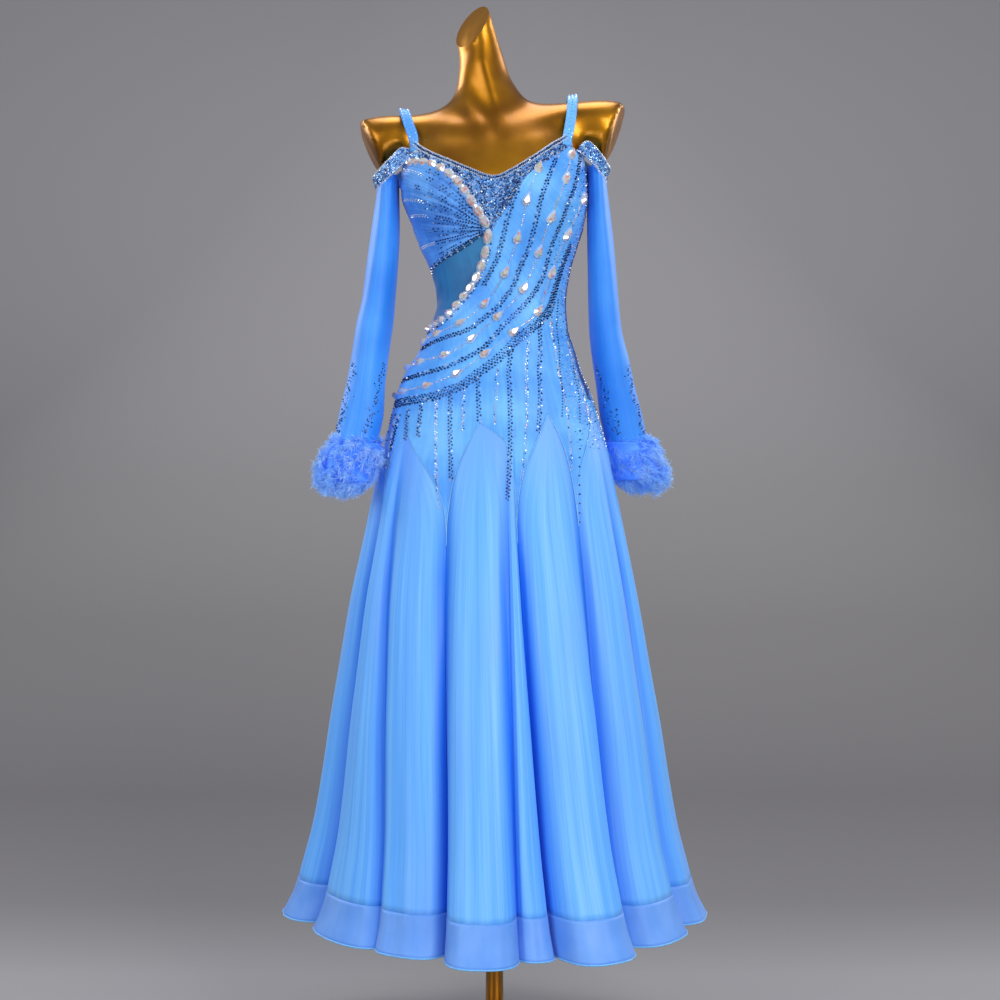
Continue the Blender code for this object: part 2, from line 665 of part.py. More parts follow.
def place_shift(lobe, distance, radius, hem):
    """A distance along the cloth as a share of a lobe, from the lobe's width at the hip or the hem."""
    column = 1 if hem else 0
    width = LOBES[lobe + 1, column] - LOBES[lobe, column]
    return np.degrees(distance / radius) / width


def tip_height(index):
    return GODETS[index % len(GODETS)][5]


def hip_edge(first_angle, last_angle):
    """The hip panels' lower edge: places and heights, down to each hip point and up to each godet apex."""
    edge = []
    spread = edge_spread(GODET_EDGE_STEPS)
    for k, (_, lobe, count, apex_angle, apex_height, start_tip) in enumerate(GODETS):
        apex = place_of_angle(apex_angle)
        end_tip = tip_height(k + 1)
        for step, out in zip(GODET_EDGE_STEPS[::-1], spread[::-1]):
            edge.append((apex + (lobe - apex) * out, apex_height - step * (apex_height - start_tip)))
        edge.append((apex, apex_height))
        for step, out in zip(GODET_EDGE_STEPS[:-1], spread[:-1]):
            edge.append((apex + (lobe + count - apex) * out, apex_height - step * (apex_height - end_tip)))
    edge = np.array(edge)
    first, last = place_of_angle(first_angle), place_of_angle(last_angle)
    inside = edge[(edge[:, 0] > first + 1e-6) & (edge[:, 0] < last - 1e-6)]
    ends = [(p, np.interp(p, edge[:, 0], edge[:, 1])) for p in (first, last)]
    return np.concatenate([[ends[0]], inside, [ends[1]]])


def add_hip_panel(name, edge, top_heights, rows, fabric):
    """A panel from a top line down to the edge with the hip points, in columns of constant place."""
    place = edge[:, 0].copy()
    place[0] += place_shift(int(place[0]) % LOBE_COUNT, SEAM_GAP / 2, HIP_RADIUS, hem=False)
    place[-1] -= place_shift(int(place[-1]) % LOBE_COUNT, SEAM_GAP / 2, HIP_RADIUS, hem=False)
    mix = np.linspace(0, 1, rows)[:, None] ** 1.25
    heights = top_heights[None] * (1 - mix) + edge[None, :, 1] * mix
    places = np.broadcast_to(place, heights.shape)
    outer = skirt_surface(places, heights, 0.0)
    inner = skirt_surface(places, heights, -BODICE_WALL)
    return add_wall(name, outer, inner, fabric)


def build_hips(fabric):
    """The front hip panel under the wrap, with its hip points."""
    edge = hip_edge(-90, 90)
    angles = lobe_angle(edge[:, 0], 1.1)
    heights, stretch = seam_heights(WRAP_LINES[-1], angles)
    return add_hip_panel("front_hip", edge, heights - 2 * SEAM_GAP * stretch**2, 7, fabric)


def build_back(fabric):
    """Two plain back panels, from their curved top edge to their hip points, meeting at the centre back."""
    for name, start, end in (("back_left", 90, 180), ("back_right", 180, 270)):
        if end <= LOBES[-1, 0]:
            edge = hip_edge(start, end)
        else:
            first = hip_edge(start, LOBES[-1, 0])
            second = hip_edge(LOBES[0, 0], end - 360)
            second[:, 0] += LOBE_COUNT
            edge = np.concatenate([first[:-1], second])
        once_round = edge[:, 0] > LOBE_COUNT
        angle = lobe_angle(np.where(once_round, edge[:, 0] - LOBE_COUNT, edge[:, 0]), BACK_HEIGHT)
        line = along(BACK_TOP, np.linspace(0, 1, 300))
        top = np.interp(np.where(once_round, angle + 360, angle), line[:, 0], line[:, 1])
        add_hip_panel(name, edge, top, 11, fabric)


def godet_grid(index):
    """Places and heights of a godet's columns, from its narrow top to the hem band, and its side gaps."""
    _, lobe, count, apex_angle, apex_height, start_tip = GODETS[index]
    end_tip = tip_height(index + 1)
    apex = float(place_of_angle(apex_angle))
    columns = np.concatenate([lobe + k + LOBE_STEPS for k in range(count)] + [[lobe + count]])
    share = (columns - lobe) / count
    tip = start_tip + (end_tip - start_tip) * share
    last = lobe + count - 1
    spread = edge_spread(GODET_EDGE_STEPS)[:, None]
    upper_places = apex + (columns - apex) * spread
    slack = np.where(GODET_EDGE_STEPS < 0.99, EDGE_SLACK, TIP_SLACK)
    upper_places[:, 0] += place_shift(lobe, slack, HIP_RADIUS, hem=False)
    upper_places[:, -1] -= place_shift(last, slack, HIP_RADIUS, hem=False)
    columns[0] += place_shift(lobe, SEAM_GAP / 2, HEM_RADIUS, hem=True)
    columns[-1] -= place_shift(last, SEAM_GAP / 2, HEM_RADIUS, hem=True)
    upper_heights = apex_height - GODET_EDGE_STEPS[:, None] * (apex_height - tip)[None]
    down = np.linspace(0, 1, SKIRT_ROWS_BELOW_TIPS + 1)[1:, None]
    lower_heights = tip * (1 - down) + (HEM_HEIGHT + HEM_BAND) * down
    lower_places = np.broadcast_to(columns, lower_heights.shape)
    places = np.concatenate([upper_places, lower_places])
    heights = np.concatenate([upper_heights, lower_heights])
    return places, heights, columns


def build_skirt(organza, crin):
    """The godets, and under each its stiffened hem band."""
    for index, godet in enumerate(GODETS):
        places, heights, columns = godet_grid(index)
        outer = skirt_surface(places, heights, 0.0)
        inner = skirt_surface(places, heights, -SKIRT_WALL)
        add_wall(godet[0], outer, inner, organza)
        band_heights = np.array([HEM_HEIGHT + HEM_BAND - SEAM_GAP, HEM_HEIGHT])
        band_places = np.broadcast_to(columns, (len(band_heights), len(columns)))
        band_heights = np.broadcast_to(band_heights[:, None], band_places.shape)
        outer = skirt_surface(band_places, band_heights, 0.0)
        inner = skirt_surface(band_places, band_heights, -SKIRT_WALL)
        add_wall(godet[0].replace("godet", "hem_band"), outer, inner, crin)


# ---- straps, bands, sleeves and cuffs --------------------------------------------------------------------

# Straps: middle line over each shoulder, from the neckline to the back's top edge, and the lean of the
# strap's face.
STRAPS = {
    "strap_right": [
        # x       y        z
        (-0.1270, -0.0585, 1.4470),
        (-0.1350, -0.0555, 1.4700),
        (-0.1420, -0.0380, 1.4930),
        (-0.1440, 0.0020, 1.5010),
        (-0.1420, 0.0400, 1.4930),
        (-0.1320, 0.0640, 1.4700),
        (-0.1060, 0.0785, 1.4400),
    ],
    "strap_left": [
        (0.1155, -0.0600, 1.4535),
        (0.1200, -0.0585, 1.4800),
        (0.1230, -0.0400, 1.5125),
        (0.1240, 0.0020, 1.5235),
        (0.1220, 0.0420, 1.5125),
        (0.1150, 0.0640, 1.4800),
        (0.1000, 0.0790, 1.4440),
    ],
}
STRAP_LEAN = 0.12

# Where the straps are sewn on the bodice, as middles of rows at (angle, height), in front and behind.
STRAP_ENDS = {
    "strap_right": ([(-59.5, 1.426), (-60.5, 1.436)], [(227.0, 1.428), (227.0, 1.418)]),
    "strap_left": ([(52.0, 1.434), (53.0, 1.442)], [(133.0, 1.432), (133.0, 1.421)]),
}

# Arm bands: middle line from the back of the armhole, round below the cut arm, to the front, and how the
# band's width tips away from the body.
ARM_BANDS = {
    "arm_band_right": [
        # x       y        z
        (-0.1370, 0.0680, 1.4180),
        (-0.1580, 0.0620, 1.4030),
        (-0.1780, 0.0420, 1.3880),
        (-0.1895, 0.0, 1.3840),
        (-0.1780, -0.0420, 1.3880),
        (-0.1580, -0.0600, 1.4040),
        (-0.1390, -0.0635, 1.4210),
    ],
    "arm_band_left": [
        (0.1380, 0.0670, 1.4300),
        (0.1560, 0.0600, 1.4160),
        (0.1700, 0.0420, 1.4030),
        (0.1795, 0.0, 1.3990),
        (0.1700, -0.0420, 1.4030),
        (0.1560, -0.0570, 1.4180),
        (0.1390, -0.0570, 1.4330),
    ],
}
BAND_TIP = 0.35
BAND_FLARE = 0.5

# Where the bands are sewn on at the armholes' edges: (angle, height) of a band's lower edge, middle and
# upper edge, behind and in front.
BAND_ENDS = {
    "arm_band_right": (
        [(236.0, 1.4268), (240.0, 1.4298), (244.0, 1.4332)],
        [(-63.4, 1.4138), (-64.9, 1.4210), (-66.2, 1.4282)],
    ),
    "arm_band_left": (
        [(124.0, 1.4330), (120.0, 1.4360), (116.0, 1.4390)],
        [(62.0, 1.4260), (66.0, 1.4290), (70.0, 1.4335)],
    ),
}

# Sleeve sections from the cuff up: height, centre, half-width and half-depth.
SLEEVES = {
    "sleeve_right": [
        # z      x        y       wide    deep
        (0.930, -0.2290, -0.0480, 0.0330, 0.0350),
        (0.970, -0.2185, -0.0430, 0.0345, 0.0380),
        (1.008, -0.2100, -0.0370, 0.0356, 0.0410),
        (1.072, -0.2016, -0.0270, 0.0312, 0.0440),
        (1.104, -0.1980, -0.0220, 0.0307, 0.0460),
        (1.152, -0.1924, -0.0160, 0.0308, 0.0490),
        (1.200, -0.1852, -0.0100, 0.0276, 0.0510),
        (1.250, -0.1795, -0.0060, 0.0258, 0.0530),
        (1.312, -0.1736, -0.0020, 0.0224, 0.0545),
        (1.3699, -0.1700, 0.0000, 0.0170, 0.0520),
    ],
    "sleeve_left": [
        (0.930, 0.2300, 0.0470, 0.0330, 0.0350),
        (0.970, 0.2160, 0.0420, 0.0345, 0.0380),
        (1.008, 0.2060, 0.0360, 0.0348, 0.0410),
        (1.072, 0.1930, 0.0260, 0.0315, 0.0440),
        (1.104, 0.1876, 0.0210, 0.0308, 0.0460),
        (1.152, 0.1796, 0.0150, 0.0276, 0.0490),
        (1.232, 0.1736, 0.0070, 0.0240, 0.0520),
        (1.312, 0.1680, 0.0020, 0.0200, 0.0545),
        (1.3845, 0.1630, 0.0000, 0.0150, 0.0510),
    ],
}
SLEEVE_SIDES = 18
SLEEVE_ROWS = 9
SLEEVE_TOP_RISE = 0.010
SLEEVE_TOP_START = 1.30

# Feather cuffs: the sleeve each ends, its centre, reach sideways and half-height. The bore's rows are
# shares of the half-height, the skin's rows are latitudes, and tufts are (how many, share, drift a row).
CUFF_CLEARANCE = 0.0018
CUFF_WALL = 0.004
CUFFS = {
    "feather_cuff_right": ("sleeve_right", (-0.2350, -0.0540, 0.9390), 0.0560, 0.054),
    "feather_cuff_left": ("sleeve_left", (0.2385, 0.0490, 0.9430), 0.0545, 0.054),
}
CUFF_BORE_ROWS = np.linspace(-0.62, 0.86, 4)
CUFF_SKIN_ROWS = np.radians(np.linspace(72, -80, 8))
CUFF_ROUNDNESS = 0.7
CUFF_TUFTS = [(6, 0.060, 2.1), (13, 0.035, -1.3)]


def ribbon(path, width, wall, across):
    """Outer and inner grids of a flat ribbon along an arched path; across is the direction of its width."""
    tangent = np.gradient(path, axis=0)
    tangent /= np.linalg.norm(tangent, axis=1, keepdims=True)
    across = across - tangent * (across * tangent).sum(axis=1, keepdims=True)
    across /= np.linalg.norm(across, axis=1, keepdims=True)
    face = np.cross(tangent, across)
    face *= np.sign((face * (path - path.mean(axis=0))).sum())
    steps = np.array([-0.5, 0.0, 0.5])[None, :, None] * width
    inner = path[:, None] + steps * across[:, None]
    return inner + face[:, None] * wall, inner


def add_sewn_ribbon(name, grids, wall, ends, fabric):
    """A ribbon whose two ends lie on the bodice, at rows of (angle, height)."""
    start, stop = (np.array(end, float) for end in ends)
    walls = []
    for grid, distance in zip(grids, (SEAM_GAP + wall, SEAM_GAP)):
        first = body_surface(start[..., 0], start[..., 1], distance)
        last = body_surface(stop[..., 0], stop[..., 1], distance)
        walls.append(np.concatenate([first, grid, last]))
    add_wall(name, *walls, fabric)


def strap_end_rows(middles, half_angle):
    """Rows of three (angle, height) across a strap, from its right edge to its left."""
    return [[(angle + step * half_angle, height) for step in (-1, 0, 1)] for angle, height in middles]


def build_straps(fabric):
    """A strap over each shoulder, sewn on the bodice in front and behind."""
    half = math.degrees(STRAP_WIDTH / 2 / BODICE_RADIUS)
    for name, points in STRAPS.items():
        path = along(points, np.linspace(0, 1, 13))
        side = math.copysign(1, path[0, 0])
        across = np.tile((1.0, 0.0, STRAP_LEAN * side), (len(path), 1))
        front, behind = STRAP_ENDS[name]
        ends = strap_end_rows(front, half), strap_end_rows(behind, -half)
        add_sewn_ribbon(name, ribbon(path, STRAP_WIDTH, STRAP_WALL, across), STRAP_WALL, ends, fabric)


def build_arm_bands(fabric):
    """A band off each shoulder, sewn to the armhole's edge, whose lower edge lies closer to the sleeve."""
    for name, points in ARM_BANDS.items():
        path = along(points, np.linspace(0, 1, 13))
        side = math.copysign(1, path[0, 0])
        from_middle = path - (path[0] + path[-1]) / 2
        across = np.tile((BAND_TIP * side, 0.0, 1.0), (len(path), 1)) - from_middle * BAND_FLARE
        ends = [[row] for row in BAND_ENDS[name]]
        add_sewn_ribbon(name, ribbon(path, BAND_WIDTH, BAND_WALL, across), BAND_WALL, ends, fabric)


def sleeve_ring(rows, height, turn, outwards=0.0):
    """Points round a sleeve at heights and turns, moved outwards. Turn 0 is the sleeve's outer side."""
    table = np.array(rows)
    side = math.copysign(1, table[0, 1])
    x, y, wide, deep = (smooth(table[:, 0], table[:, k], height) for k in range(1, 5))
    x = x + side * (wide + outwards) * np.cos(turn)
    return np.stack([x, y + (deep + outwards) * np.sin(turn), np.broadcast_to(height, x.shape)], axis=-1)


def build_sleeves(satin):
    """Each sleeve is an open tube whose top rises towards the body, below the arm band."""
    turn = np.linspace(0, 2 * math.pi, SLEEVE_SIDES, endpoint=False)[None]
    for name, rows in SLEEVES.items():
        bottom, top = rows[0][0], rows[-1][0]
        heights = np.linspace(bottom, top, SLEEVE_ROWS)[:, None]
        heights, turns = np.broadcast_arrays(heights, turn)
        outer = sleeve_ring(rows, heights, turns)
        inner = sleeve_ring(rows, heights, turns, -SLEEVE_WALL)
        near_top = np.clip((heights - SLEEVE_TOP_START) / (top - SLEEVE_TOP_START), 0, 1) ** 2
        rise = SLEEVE_TOP_RISE * near_top * (1 - np.cos(turns))
        outer[..., 2] += rise
        inner[..., 2] += rise
        add_wall(name, outer, inner, satin, around=True)


def cuff_skin_ring(rows, centre, reach, half, latitude, turn, row):
    """One ring of a feather cuff's tufted outside, kept outside the sleeve that it goes round."""
    height = centre[2] + half * math.sin(latitude)
    tuft = 1 + sum(share * np.cos(turn * many + row * drift) for many, share, drift in CUFF_TUFTS)
    sleeve = sleeve_ring(rows, np.full(len(turn), max(height, rows[0][0])), turn)
    least = np.linalg.norm((sleeve - centre)[:, :2], axis=1) + CUFF_WALL
    radius = np.maximum(reach * math.cos(latitude) ** CUFF_ROUNDNESS * tuft, least)
    side = math.copysign(1, centre[0])
    x = centre[0] + side * radius * np.cos(turn)
    y = centre[1] + radius * np.sin(turn)
    return np.stack([x, y, np.full(len(turn), height)], axis=-1)


def build_cuffs(feathers):
    """Rings of feathers round the sleeve ends, open in the middle, with a tufted outside."""
    turn = np.linspace(0, 2 * math.pi, SLEEVE_SIDES, endpoint=False)
    for name, (sleeve, centre, reach, half) in CUFFS.items():
        rows = SLEEVES[sleeve]
        bore = [
            sleeve_ring(rows, np.full(len(turn), centre[2] + half * share), turn, CUFF_CLEARANCE)
            for share in CUFF_BORE_ROWS
        ]
        skin = [
            cuff_skin_ring(rows, centre, reach, half, latitude, turn, row)
            for row, latitude in enumerate(CUFF_SKIN_ROWS)
        ]
        grid = np.array(bore + skin)
        last = (len(grid) - 1) * len(turn)
        faces = [
            grid_faces(len(grid), len(turn), around=True),
            rim_faces(np.arange(len(turn)) + last, np.arange(len(turn)), closed=True),
        ]
        add_object(name, grid, np.concatenate(faces), feathers)


# ---- the whole part --------------------------------------------------------------------------------------

# Materials: name, colour, roughness, metallic.
FINISHES = [
    ("gold_lacquer", (0.50, 0.24, 0.03), 0.28, 1.0),
    ("stretch_satin", (0.12, 0.38, 0.86), 0.45, 0.0),
    ("inset_satin", (0.05, 0.20, 0.42), 0.45, 0.0),
    ("stoned_band", (0.10, 0.18, 0.38), 0.30, 0.0),
    ("sleeve_satin", (0.09, 0.30, 0.88), 0.35, 0.0),
    ("organza", (0.13, 0.36, 0.92), 0.55, 0.0),
    ("hem_crin", (0.20, 0.36, 0.80), 0.60, 0.0),
    ("marabou", (0.18, 0.30, 0.90), 0.90, 0.0),
]


def main():
    for obj in list(bpy.data.objects):
        bpy.data.objects.remove(obj, do_unlink=True)
    finish = {name: material_of(name, *values) for name, *values in FINISHES}
    build_form(finish["gold_lacquer"])
    build_stand(finish["gold_lacquer"])
    build_yoke(finish["stoned_band"])
    build_cup(finish["stretch_satin"])
    build_inset(finish["inset_satin"])
    build_wrap(finish["stretch_satin"])
    build_hips(finish["stretch_satin"])
    build_back(finish["stretch_satin"])
    build_skirt(finish["organza"], finish["hem_crin"])
    build_straps(finish["stretch_satin"])
    build_arm_bands(finish["stoned_band"])
    build_sleeves(finish["sleeve_satin"])
    build_cuffs(finish["marabou"])


main()
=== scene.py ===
"""Looks of a ballroom gown on a limbless dress form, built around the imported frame.

Metres, +Z up, the gown's front faces -Y. Angles run round the vertical axis: 0 is the centre front, +90 the
wearer's left side (+X), -90 the wearer's right side. Every panel is a grid of points on one gown surface,
which widens into the fluted skirt below the hips. Places on the skirt are counted in lobes round it.
"""

from __future__ import annotations

import logging
import math
from dataclasses import dataclass, field
from enum import Enum
from typing import Callable, Iterable, Sequence

import bmesh
import bpy
import numpy as np
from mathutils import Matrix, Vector

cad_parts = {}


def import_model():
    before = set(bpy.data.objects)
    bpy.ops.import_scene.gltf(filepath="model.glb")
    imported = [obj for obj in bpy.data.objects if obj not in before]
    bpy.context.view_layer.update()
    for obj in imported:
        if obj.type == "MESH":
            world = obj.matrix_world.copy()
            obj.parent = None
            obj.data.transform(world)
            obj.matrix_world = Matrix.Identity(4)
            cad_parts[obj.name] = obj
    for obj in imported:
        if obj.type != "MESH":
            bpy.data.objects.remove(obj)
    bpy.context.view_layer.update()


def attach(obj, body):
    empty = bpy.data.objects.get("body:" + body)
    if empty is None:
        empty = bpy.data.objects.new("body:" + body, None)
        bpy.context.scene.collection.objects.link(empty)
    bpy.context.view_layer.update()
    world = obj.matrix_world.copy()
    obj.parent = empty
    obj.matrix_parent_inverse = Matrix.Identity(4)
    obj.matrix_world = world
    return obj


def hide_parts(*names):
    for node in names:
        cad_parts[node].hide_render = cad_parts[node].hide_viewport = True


LOG = logging.getLogger("gown")
BODY = "root"
UPRIGHT = (0.0, 0.0, 1.0)
# A direction that no cord runs along.
NEARLY_UP = (0.05, 0.09, 1.0)
# The smallest area of a sheet that is taken as cut, as a share of its width times its length.
LEAST_AREA_SHARE = 0.301
Array = np.ndarray
Row = tuple[float, ...]
Table = tuple[Row, ...]
Colour = tuple[float, float, float]
Material = bpy.types.Material
Mesh = bpy.types.Mesh
Object = bpy.types.Object
Socket = bpy.types.NodeSocket


# ---- curves ----------------------------------------------------------------------------------------------


def smooth_curve(xs: Array, ys: Array, x: Array) -> Array:
    """Reads values over rising xs along a cubic curve through them that never overshoots.

    Args:
        xs: rising places of the known values.
        ys: the known values.
        x: the places to read, held inside the range of xs.

    Returns:
        The values at x.
    """
    x = np.clip(np.asarray(x, float), xs[0], xs[-1])
    steps = np.diff(xs)
    slopes = np.diff(ys) / steps
    product = slopes[:-1] * slopes[1:]
    harmonic = 2 * product / (slopes[:-1] + slopes[1:] + 1e-30)
    tangents = np.concatenate([[slopes[0]], np.where(product > 0, harmonic, 0), [slopes[-1]]])
    i = np.clip(np.searchsorted(xs, x, side="right") - 1, 0, len(xs) - 2)
    t = (x - xs[i]) / steps[i]
    start = (2 * t**3 - 3 * t**2 + 1) * ys[i] + (t**3 - 2 * t**2 + t) * steps[i] * tangents[i]
    end = (3 * t**2 - 2 * t**3) * ys[i + 1] + (t**3 - t**2) * steps[i] * tangents[i + 1]
    return start + end


def catmull(rows: Array, x: Array) -> Array:
    """A Catmull-Rom curve through equally spaced rows, along their first axis.

    Args:
        rows: values or rows of values.
        x: places from 0 to len(rows) - 1.

    Returns:
        One row for each x.
    """
    rows = np.asarray(rows, float)
    padded = np.concatenate([2 * rows[:1] - rows[1:2], rows, 2 * rows[-1:] - rows[-2:-1]])
    i = np.clip(np.floor(x).astype(int), 0, len(rows) - 2)
    t = (x - i).reshape((-1,) + (1,) * (rows.ndim - 1))
    a, b, c, d = (padded[i + k] for k in range(4))
    return 0.5 * (2 * b + (c - a) * t + (2 * a - 5 * b + 4 * c - d) * t**2 + (3 * b - a - 3 * c + d) * t**3)


def along(points: Sequence[Row], t: Array, turn_radius: float = 0.12) -> Array:
    """A smooth curve through rows of coordinates, read at equal shares of its length.

    Args:
        points: rows of (angle, height) or (x, y, z).
        t: shares of the length from 0 to 1.
        turn_radius: radius in metres that turns an angle into a distance.

    Returns:
        One row of coordinates for each t.
    """
    rows = np.asarray(points, float)
    fine = np.linspace(0, len(rows) - 1, 400)
    curve = catmull(rows, fine)
    scaled = curve.copy()
    if rows.shape[1] == 2:
        scaled[:, 0] *= math.radians(1) * turn_radius
    length = np.concatenate([[0], np.cumsum(np.linalg.norm(np.diff(scaled, axis=0), axis=1))])
    return catmull(rows, np.interp(np.asarray(t, float) * length[-1], length, fine))


def line_length(points: Array) -> float:
    """Length of a polyline."""
    return float(np.linalg.norm(np.diff(points, axis=0), axis=-1).sum())


def unit(rows: Array) -> Array:
    """Rows scaled to length 1."""
    return rows / (np.linalg.norm(rows, axis=-1, keepdims=True) + 1e-12)


def square_to(rows: Array, out: Array) -> Array:
    """Directions laid flat against a surface that faces out, at length 1."""
    return unit(rows - out * (rows * out).sum(axis=-1, keepdims=True))


def ease(x: Array, low: float, high: float) -> Array:
    """Rises smoothly from 0 at low to 1 at high."""
    t = np.clip((np.asarray(x, float) - low) / (high - low), 0, 1)
    return t * t * (3 - 2 * t)


# ---- the gown's surface ----------------------------------------------------------------------------------


@dataclass(frozen=True)
class GownShape:
    """The outside of the cloth: an ellipse-like section at each height, and the skirt's flutes below it."""

    # Height, half-widths right and left, depths front and back, squareness of the section.
    sections: Table = (
        (0.225, 0.336, 0.336, 0.330, 0.332, 1.00),
        (0.262, 0.318, 0.318, 0.311, 0.313, 1.00),
        (0.314, 0.303, 0.303, 0.294, 0.296, 1.00),
        (0.368, 0.289, 0.289, 0.278, 0.281, 1.00),
        (0.434, 0.277, 0.277, 0.262, 0.266, 1.00),
        (0.534, 0.2616, 0.2616, 0.240, 0.245, 1.00),
        (0.608, 0.2488, 0.2488, 0.222, 0.228, 1.00),
        (0.722, 0.2295, 0.2295, 0.193, 0.200, 1.00),
        (0.827, 0.207, 0.2088, 0.163, 0.174, 1.00),
        (0.912, 0.1896, 0.191, 0.140, 0.154, 1.00),
        (0.966, 0.1768, 0.1784, 0.126, 0.142, 1.00),
        (1.000, 0.1688, 0.1688, 0.119, 0.135, 1.00),
        (1.050, 0.156, 0.1528, 0.111, 0.122, 1.00),
        (1.078, 0.1448, 0.140, 0.105, 0.113, 1.00),
        (1.114, 0.1224, 0.1285, 0.096, 0.099, 1.00),
        (1.154, 0.103, 0.116, 0.089, 0.090, 1.00),
        (1.195, 0.0917, 0.1128, 0.087, 0.087, 0.98),
        (1.242, 0.100, 0.119, 0.092, 0.092, 0.95),
        (1.280, 0.1175, 0.130, 0.100, 0.098, 0.92),
        (1.323, 0.133, 0.143, 0.108, 0.103, 0.86),
        (1.357, 0.1465, 0.148, 0.112, 0.106, 0.80),
        (1.379, 0.149, 0.147, 0.110, 0.106, 0.76),
        (1.416, 0.146, 0.144, 0.099, 0.102, 0.68),
        (1.440, 0.140, 0.138, 0.090, 0.096, 0.62),
        (1.470, 0.122, 0.120, 0.074, 0.086, 0.60),
    )
    bust_height: float = 1.360
    bust_side: float = 0.072
    bust_swell: float = 0.014
    bust_spread_x: float = 0.042
    bust_spread_z: float = 0.040
    bust_fade: float = 2.5
    # Valley angle at the hip and at the hem, valley depth, lean of the crest, reach of the crest.
    lobes: Table = (
        (-112.0, -104.0, 0.060, -0.04, 0.000),
        (-66.9, -73.0, 0.060, 0.02, -0.030),
        (-53.0, -37.5, 0.050, -0.03, -0.032),
        (-22.6, -15.0, 0.070, 0.02, 0.002),
        (5.5, 7.0, 0.045, 0.00, -0.030),
        (9.8, 18.0, 0.075, -0.03, 0.012),
        (40.8, 41.5, 0.055, 0.03, -0.008),
        (69.2, 70.0, 0.050, 0.00, 0.000),
        (90.0, 98.0, 0.060, 0.04, -0.010),
        (112.0, 118.0, 0.050, -0.02, 0.004),
        (131.0, 138.0, 0.060, 0.03, -0.012),
        (168.0, 169.0, 0.065, -0.03, 0.006),
        (187.0, 189.0, 0.055, 0.02, -0.020),
        (206.0, 209.0, 0.065, -0.02, 0.002),
        (226.0, 232.0, 0.055, 0.03, -0.016),
        (248.0, 256.0, 0.060, -0.04, 0.000),
    )
    lobe_fullness: float = 0.15
    hem_height: float = 0.226
    flutes_start: float = 1.0
    drift_top: float = 0.84
    # Powers that shape the flutes: their growth down the skirt, their valleys and their crests.
    growth_power: float = 1.15
    valley_power: float = 1.5
    crest_power: float = 1.5
    # Small steps that give the surface's normal: degrees, lobes and metres up.
    angle_step: float = 0.5
    lobe_step: float = 0.004
    height_step: float = 0.002
    # How the place at an angle is searched for.
    search_turns: int = 12
    search_share: float = 0.6

    @property
    def lobe_count(self) -> int:
        """How many lobes go round the skirt."""
        return len(self.lobes) - 1

    def body_point(self, angle: Array, height: Array) -> Array:
        """The outside without flutes: x by the sine, y by the cosine to a power, plus two bust swells.

        Args:
            angle: degrees round the body.
            height: metres above the floor.

        Returns:
            Points, one more axis than the angle.
        """
        table = np.array(self.sections)
        columns = (smooth_curve(table[:, 0], table[:, k], height) for k in range(1, 6))
        right, left, front, back, square = columns
        turn = np.radians(angle)
        x = (left - right) / 2 + (left + right) / 2 * np.sin(turn)
        cosine = np.cos(turn)
        y = -np.where(cosine >= 0, front, back) * np.sign(cosine) * np.abs(cosine) ** square
        up = (height - self.bust_height) / self.bust_spread_z
        sides = (-self.bust_side, self.bust_side)
        swell = sum(np.exp(-(((x - side) / self.bust_spread_x) ** 2 + up**2) / 2) for side in sides)
        y = y - self.bust_swell * swell * np.clip(cosine * self.bust_fade, 0, 1)
        return np.stack([x, y, np.broadcast_to(height, np.shape(x)).astype(float)], axis=-1)

    def growth(self, height: Array) -> Array:
        """How far the flutes have opened: 0 at the hips, 1 at the hem."""
        share = np.clip((self.flutes_start - height) / (self.flutes_start - self.hem_height), 0, 1)
        return share**self.growth_power

    def lobe_angle(self, place: Array, height: Array) -> Array:
        """Angle of a place counted in lobes: valleys drift from their hip angle to their hem angle.

        Args:
            place: places counted in lobes.
            height: metres above the floor.

        Returns:
            Degrees round the body.
        """
        below = self.drift_top - np.asarray(height, float)
        down = np.clip(below / (self.drift_top - self.hem_height), 0, 1)
        table = np.array(self.lobes)
        hip, hem = (np.interp(place, np.arange(len(table)), table[:, k]) for k in (0, 1))
        return hip + (hem - hip) * down

    def turned(self, place: Array, height: Array) -> Array:
        """Angle of a place with the lobe's fullness, a sine across it, and its lean added.

        Args:
            place: places counted in lobes.
            height: metres above the floor.

        Returns:
            Degrees round the body.
        """
        lobe = np.floor(place).astype(int)
        across = place - lobe
        growth = self.growth(height) ** 0.5
        fuller = self.lobe_fullness * growth * np.sin(2 * math.pi * (across - 0.5))
        lean = np.array(self.lobes)[lobe, 3] * growth * (1 - self.valley(place))
        start = self.lobe_angle(lobe, height)
        return start + (self.lobe_angle(lobe + 1, height) - start) * (across + fuller + lean)

    def valley(self, place: Array) -> Array:
        """1 at the bottom of a valley between lobes, 0 on a crest: a raised cosine to a power."""
        return (0.5 + 0.5 * np.cos(2 * math.pi * place)) ** self.valley_power

    def skirt_point(self, place: Array, height: Array) -> Array:
        """The skirt's outside: the plain section at the lobe's angle, pulled in at valleys and out on crests.

        Args:
            place: places counted in lobes.
            height: metres above the floor.

        Returns:
            Points, one more axis than the place.
        """
        place = np.mod(place, self.lobe_count)
        lobe = np.floor(place).astype(int)
        across = place - lobe
        growth = self.growth(height)
        table = np.array(self.lobes)
        depth = table[lobe, 2] * (1 - across) + table[lobe + 1, 2] * across
        valley = self.valley(place)
        point = self.body_point(self.turned(place, height), height)
        radius = np.linalg.norm(point[..., :2], axis=-1, keepdims=True)
        push = table[lobe, 4] * growth**self.crest_power * (1 - valley) - depth * growth * valley
        point[..., :2] *= 1 + push[..., None] / radius
        return point

